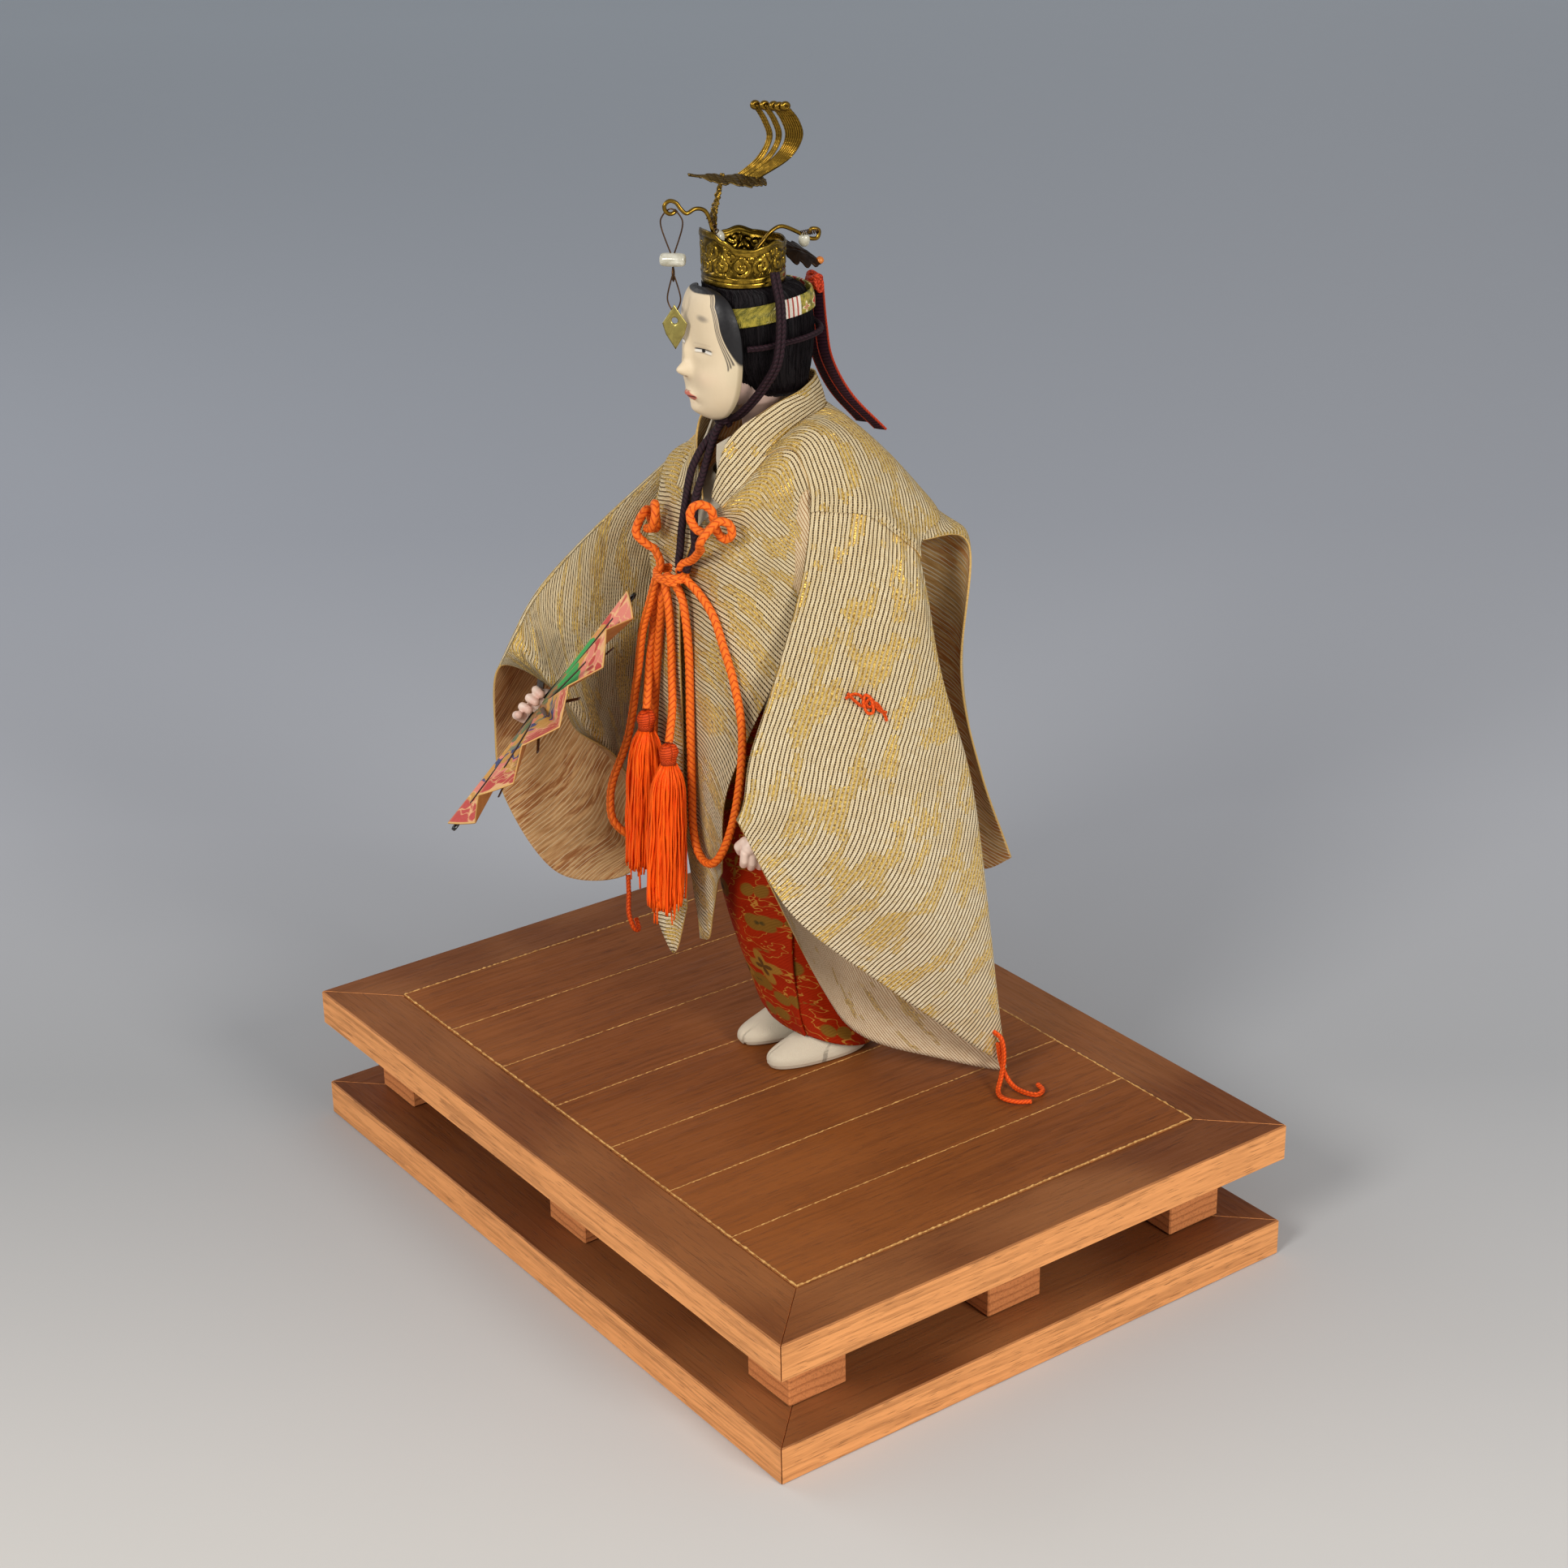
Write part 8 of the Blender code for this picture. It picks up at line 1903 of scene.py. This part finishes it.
def build_fan():
    """Pleated paper painted in bands of clouds and bright cells, plain brown behind, on dark ribs."""
    per, down, pleats = 30, 210, 5
    panels = 2 * pleats
    across = panels * per + 1
    where = np.linspace(0, panels, across)[None, :]
    radius = FAN_RADIUS * np.linspace(FAN_START, 1.0, down)[:, None]
    turn = FAN_OPEN * (where / panels - 0.5)
    zig = 0.5 - np.abs((where % 2) - 1)
    stands = 0.0052 * -zig * (radius / FAN_RADIUS) ** 1.1
    grid = fan_places(np.broadcast_to(turn, stands.shape), np.broadcast_to(radius, stands.shape), stands)
    share = np.broadcast_to(radius / FAN_RADIUS, stands.shape)
    along = np.broadcast_to(where / panels, stands.shape)
    arc = along * FAN_OPEN * 0.75 * FAN_RADIUS
    pick = np.random.default_rng(11)
    seeds = pick.uniform((0, 0), (FAN_OPEN * 0.75 * FAN_RADIUS, FAN_RADIUS), (420, 2))
    nearest = np.full(stands.shape, 9.0)
    second = nearest.copy()
    chance = np.zeros(stands.shape)
    bent = share * FAN_RADIUS + 0.0006 * np.sin(arc * 1900)
    for number, (sx, sy) in enumerate(seeds):
        away = np.hypot(arc - sx, bent - sy)
        closer = away < nearest
        second = np.where(closer, nearest, np.minimum(second, away))
        nearest = np.where(closer, away, nearest)
        chance = np.where(closer, (number * 0.618034) % 1, chance)
    outline = soft(second - nearest, 0.00012, 0.00034)
    red, pink, ochre = tint(190, 58, 48), tint(222, 124, 104), tint(200, 142, 56)
    navy, brown, green = tint(44, 56, 108), tint(150, 100, 54), tint(40, 150, 66)
    pale = tint(236, 190, 128)
    drift = 0.02 * np.sin(arc * 700) + 0.012 * np.sin(arc * 1900 + 1)
    level = share + drift
    colours = np.empty(stands.shape + (4,))
    colours[:] = brown
    for low, high, first, other, odds in ((0.0, 0.33, brown, tint(92, 104, 62), 0.5), (0.33, 0.47, ochre, pink, 0.30),
                                          (0.47, 0.52, tint(120, 124, 96), navy, 0.5), (0.52, 0.66, ochre, navy, 0.30),
                                          (0.66, 0.82, ochre, pink, 0.42), (0.82, 2.0, red, red, 0.5)):
        inside = (level >= low) & (level < high)
        shade = np.where((chance < odds)[..., None], np.array(other), np.array(first))
        colours = np.where(inside[..., None], shade, colours)
    upper = along > 0.60
    for low, high, first, other, odds in ((0.30, 0.62, green, green, 0.5), (0.62, 0.74, ochre, pink, 0.35),
                                          (0.74, 2.0, red, pink, 0.45)):
        inside = (level >= low) & (level < high) & upper
        shade = np.where((chance < odds)[..., None], np.array(other), np.array(first))
        colours = np.where(inside[..., None], shade, colours)
    colours = blend(colours, 0.8 * outline * (level > 0.70), pale)
    # Paler line along each pleat ridge that stands out to the front: painted highlight.
    colours = blend(colours, 0.35 * soft(1 - np.abs((where % 2) - 1) + 0 * share, 0.015, 0.05), pale)
    colours = blend(colours, soft(1 - share, 0.008, 0.014), tint(214, 168, 96))
    colours[..., 3] = 1.0
    back = np.empty(colours.shape)
    back[:] = tint(164, 104, 48)
    back = blend(back, 0.3 * (0.5 + 0.5 * waves(where * 1.3, share * 30, 5, 6)).clip(0, 1), tint(190, 130, 70))
    back[..., 3] = 1.0
    down_count = down * across
    piece = two_sided("fan_leaf_painted", grid, 0.0004, [FAN], "stage_and_figure", tints=colours)
    layer = piece.data.attributes["tint"].data
    values = np.concatenate([colours.reshape(-1, 4), back.reshape(-1, 4)])
    side = np.linalg.norm(np.cross(grid[0, 1] - grid[0, 0], grid[1, 0] - grid[0, 0]))
    if side > 0 and np.cross(grid[0, 1] - grid[0, 0], grid[1, 0] - grid[0, 0]) @ FAN_FACE < 0:
        values = np.concatenate([values[down_count:], values[:down_count]])
    layer.foreach_set("color", values.astype(np.float32).ravel())
    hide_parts("fan_leaf")
    parts_points, parts_faces, start = [], [], 0
    for k in range(panels - 1):
        angle = FAN_OPEN * ((k + 1) / panels - 0.5)
        r = np.linspace(0.04, 0.90, 24) * FAN_RADIUS
        width = np.interp(r, [0, FAN_RADIUS], [0.00080, 0.00040])
        depth = (0.0026 if k % 2 else -0.0026) * -(r / FAN_RADIUS) ** 1.1 - 0.00050
        line = fan_places(np.full(24, angle), r, depth)
        side = FAN_ACROSS * math.cos(angle) - FAN_MIDDLE * math.sin(angle)
        square = []
        for a, b in ((-1, -1), (1, -1), (1, 1), (-1, 1)):
            square.append(line + side * (a * width)[:, None] + FAN_FACE * b * 0.00018)
        points = np.stack(square, axis=1).reshape(-1, 3)
        faces = quads(24, 4, True, start).tolist()
        faces.append(tuple(range(start, start + 4))[::-1])
        faces.append(tuple(range(start + 92, start + 96)))
        parts_points.append(points)
        parts_faces += faces
        start += len(points)
    rib = Paint("fan_rib", 0.4, specular=0.5)
    tone = rib.ramp(rib.noise(rib.place(), 900.0, 3.0), (0.3, tint(38, 22, 18)), (0.7, tint(74, 44, 32)))
    new_mesh("fan_ribs", np.concatenate(parts_points), parts_faces, [rib.done(tone, None)], "stage_and_figure")
    for name, hand in (("front", -1), ("rear", 1)):
        rows = []
        angle = hand * FAN_OPEN / 2
        side = FAN_ACROSS * math.cos(angle) - FAN_MIDDLE * math.sin(angle)
        for r in np.linspace(0.05, 1.0, 60):
            radius = r * FAN_RADIUS
            middle = fan_places(np.array(angle), np.array(radius), np.array(0.0)) + side * hand * 0.0017
            wide = 0.0009 * (0.78 + 0.22 * r) * (0.8 if r > 0.985 else 1.0)
            deep = 0.0008 * (0.9 if r < 0.985 else 0.7)
            ring = []
            for a in np.arange(20) / 20 * 2 * math.pi:
                c, s = math.cos(a), math.sin(a)
                x = math.copysign(abs(c) ** 0.5, c) * wide
                y = math.copysign(abs(s) ** 0.5, s) * deep
                ring.append(middle + side * x + FAN_FACE * y)
            rows.append(ring)
        grid = np.array(rows)
        faces = capped(grid)
        item = new_mesh(f"fan_stick_{name}", grid, faces, [LACQUER], "stage_and_figure")
        work = bmesh.new()
        work.from_mesh(item.data)
        bmesh.ops.recalc_face_normals(work, faces=work.faces)
        work.to_mesh(item.data)
        work.free()
        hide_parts(f"fan_guard_{name}")


def build_hand(name, wrist, axes, table, node):
    """Carved hand: palm, fingers and thumb as one smooth skin, with a blush at the tips."""
    work = bmesh.new()
    tips = []
    for number, route in enumerate(table):
        for a, b in zip(route, route[1:]):
            for step in range(7):
                mix = [p + (q - p) * step / 6 for p, q in zip(a, b)]
                place = wrist + (np.array(mix[:3]) @ axes) * HAND
                shift = Matrix.Translation(Vector(place_world(place)[0]))
                bmesh.ops.create_icosphere(work, subdivisions=3, radius=mix[3] * HAND, matrix=shift)
        if 1 <= number <= 5:
            tips.append(place_world(wrist + (np.array(route[-1][:3]) @ axes) * HAND)[0])
    data = bpy.data.meshes.new(name)
    work.to_mesh(data)
    work.free()
    item = bpy.data.objects.new(name, data)
    bpy.context.scene.collection.objects.link(item)
    skin = item.modifiers.new("skin", "REMESH")
    skin.mode = "VOXEL"
    skin.voxel_size = 0.00026
    ease = item.modifiers.new("ease", "SMOOTH")
    ease.factor = 0.5
    ease.iterations = 6
    graph = bpy.context.evaluated_depsgraph_get()
    done = bpy.data.meshes.new_from_object(item.evaluated_get(graph), depsgraph=graph)
    item.modifiers.clear()
    item.data = done
    done.name = name
    done.shade_smooth()
    done.materials.clear()
    done.materials.append(SKIN)
    places = np.array([v.co for v in done.vertices])
    colours = np.empty((len(places), 4))
    colours[:] = tint(232, 204, 186)
    for tip in tips:
        colours = blend(colours, 0.55 * soft(np.linalg.norm(places - tip, axis=1), 0.0005, 0.0030), tint(214, 148, 128))
    colours[:, 3] = 1.0
    layer = done.attributes.new("tint", "FLOAT_COLOR", "POINT")
    layer.data.foreach_set("color", colours.astype(np.float32).ravel())
    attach(item, "stage_and_figure")
    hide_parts(node)


def build_core():
    """The bound straw that the clothes hang on, wound with twine."""
    grid = loft_grid(CORE_SHARES, 170, 240)
    turn = np.arange(240)[None, :] / 240 * 2 * math.pi
    rise = np.linspace(0, 1, 170)[:, None]
    straw = np.abs(np.sin(turn * 31 + 2.5 * np.sin(rise * 7 + turn * 3))) * 0.00035 + waves(turn * 5, rise * 9, 3) * 0.0001
    out = normals_of(grid, True)
    out *= np.sign(np.sum(out * (grid - grid.mean(axis=1, keepdims=True)), axis=2, keepdims=True))
    grid = grid - out * straw[..., None]
    core = new_mesh("bound_straw_core", grid, capped(grid), [STRAW], "stage_and_figure")
    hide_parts("torso_core")
    level = np.linspace(8, 160, 16 * 60)
    low = level.astype(int)
    part = (level - low)[:, None]
    place = (np.arange(16 * 60) * 4) % 240
    route = grid[low, place] * (1 - part) + grid[low + 1, place] * part
    twine = cord_paint("twine", tint(150, 112, 66), tint(96, 66, 36), 0.8, 0.0008)
    tube("core_twine", route + out[low, place] * 0.0001, 0.0005, twine, "stage_and_figure", 8)


def build_hair():
    """Hair dressed close to the head and combed down, with fine strands standing in it."""
    grid = loft_grid(HAIR_SECTION_SHARES, 150, 460, HAIR_SQUARE)
    turn = np.arange(460)[None, :] / 460 * 2 * math.pi
    rise = np.linspace(0, 1, 150)[:, None]
    out = normals_of(grid, True)
    out *= np.sign(np.sum(out * (grid - grid.mean(axis=1, keepdims=True)), axis=2, keepdims=True))
    comb = np.sin(turn * 97 + 1.5 * np.sin(rise * 6 + turn * 5)) * 0.00005
    locks = waves(turn * 11, rise * 2.0, 8, 9, 1, 3) * 0.00010
    sides = np.clip(1 - rise, 0, 0.2) * 5
    grid = grid + out * ((comb + locks) * sides)[..., None]
    item = new_mesh("dressed_hair", grid, capped(grid), [HAIR], "head_group")
    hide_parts("hair")
    pick = np.random.default_rng(5)
    parts = []
    for number in range(420):
        column = int(pick.integers(0, 460))
        high, low = int(pick.integers(60, 118)), int(pick.integers(20, 52))
        levels = np.linspace(high, low, 14).astype(int)
        sway = np.clip(column + np.cumsum(pick.normal(0, 0.8, 14)), 0, 459).astype(int)
        lift = 0.00006 + 0.00016 * np.sin(np.linspace(0, math.pi, 14))[:, None] * pick.uniform(0, 1)
        parts.append(tube_parts(spline(grid[levels, sway] + out[levels, sway] * lift, 22), 0.00007, 4))
    gathered("hair_strands", parts, [HAIR], "head_group")


def build_neck():
    """The head under the mask, and the neck that shows: the same carved white finish."""
    grid = loft_grid(HEAD_SECTION_SHARES[3:], 120, 72)
    colours = np.empty(grid.shape[:2] + (4,))
    colours[:] = tint(228, 194, 178)
    item = new_mesh("head_carved", grid, capped(grid), [SKIN], "head_group", tints=colours.reshape(-1, 4))
    peg = loft_grid(HEAD_SECTION_SHARES[:3], 12, 32)
    shade = np.empty(peg.shape[:2] + (4,))
    shade[:] = tint(210, 186, 150)
    new_mesh("neck_peg", peg, capped(peg), [SKIN], "head_group", tints=shade.reshape(-1, 4))
    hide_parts("head")


dress_stage()
build_board_edges()
build_cords()
build_core()
build_under_robe()
build_robe()
build_sleeves()
build_right_yoke()
build_skirt()
build_feet()
build_mask()
build_headband()
build_tails()
build_crown_band()
build_crown_trim()
build_phoenix()
build_pendants()
build_fan()
build_hand("hand_right_carved", FAN_PIVOT, np.array((FAN_MIDDLE, FAN_ACROSS, FAN_FACE)), RIGHT_HAND_SHARES,
           "hand_right")
build_hand("hand_left_carved", LEFT_WRIST, LEFT_HAND_AXES, LEFT_HAND_SHARES, "hand_left")
build_neck()
build_hair()
repaint(["leg_wire", "arm_wire"], STEEL)
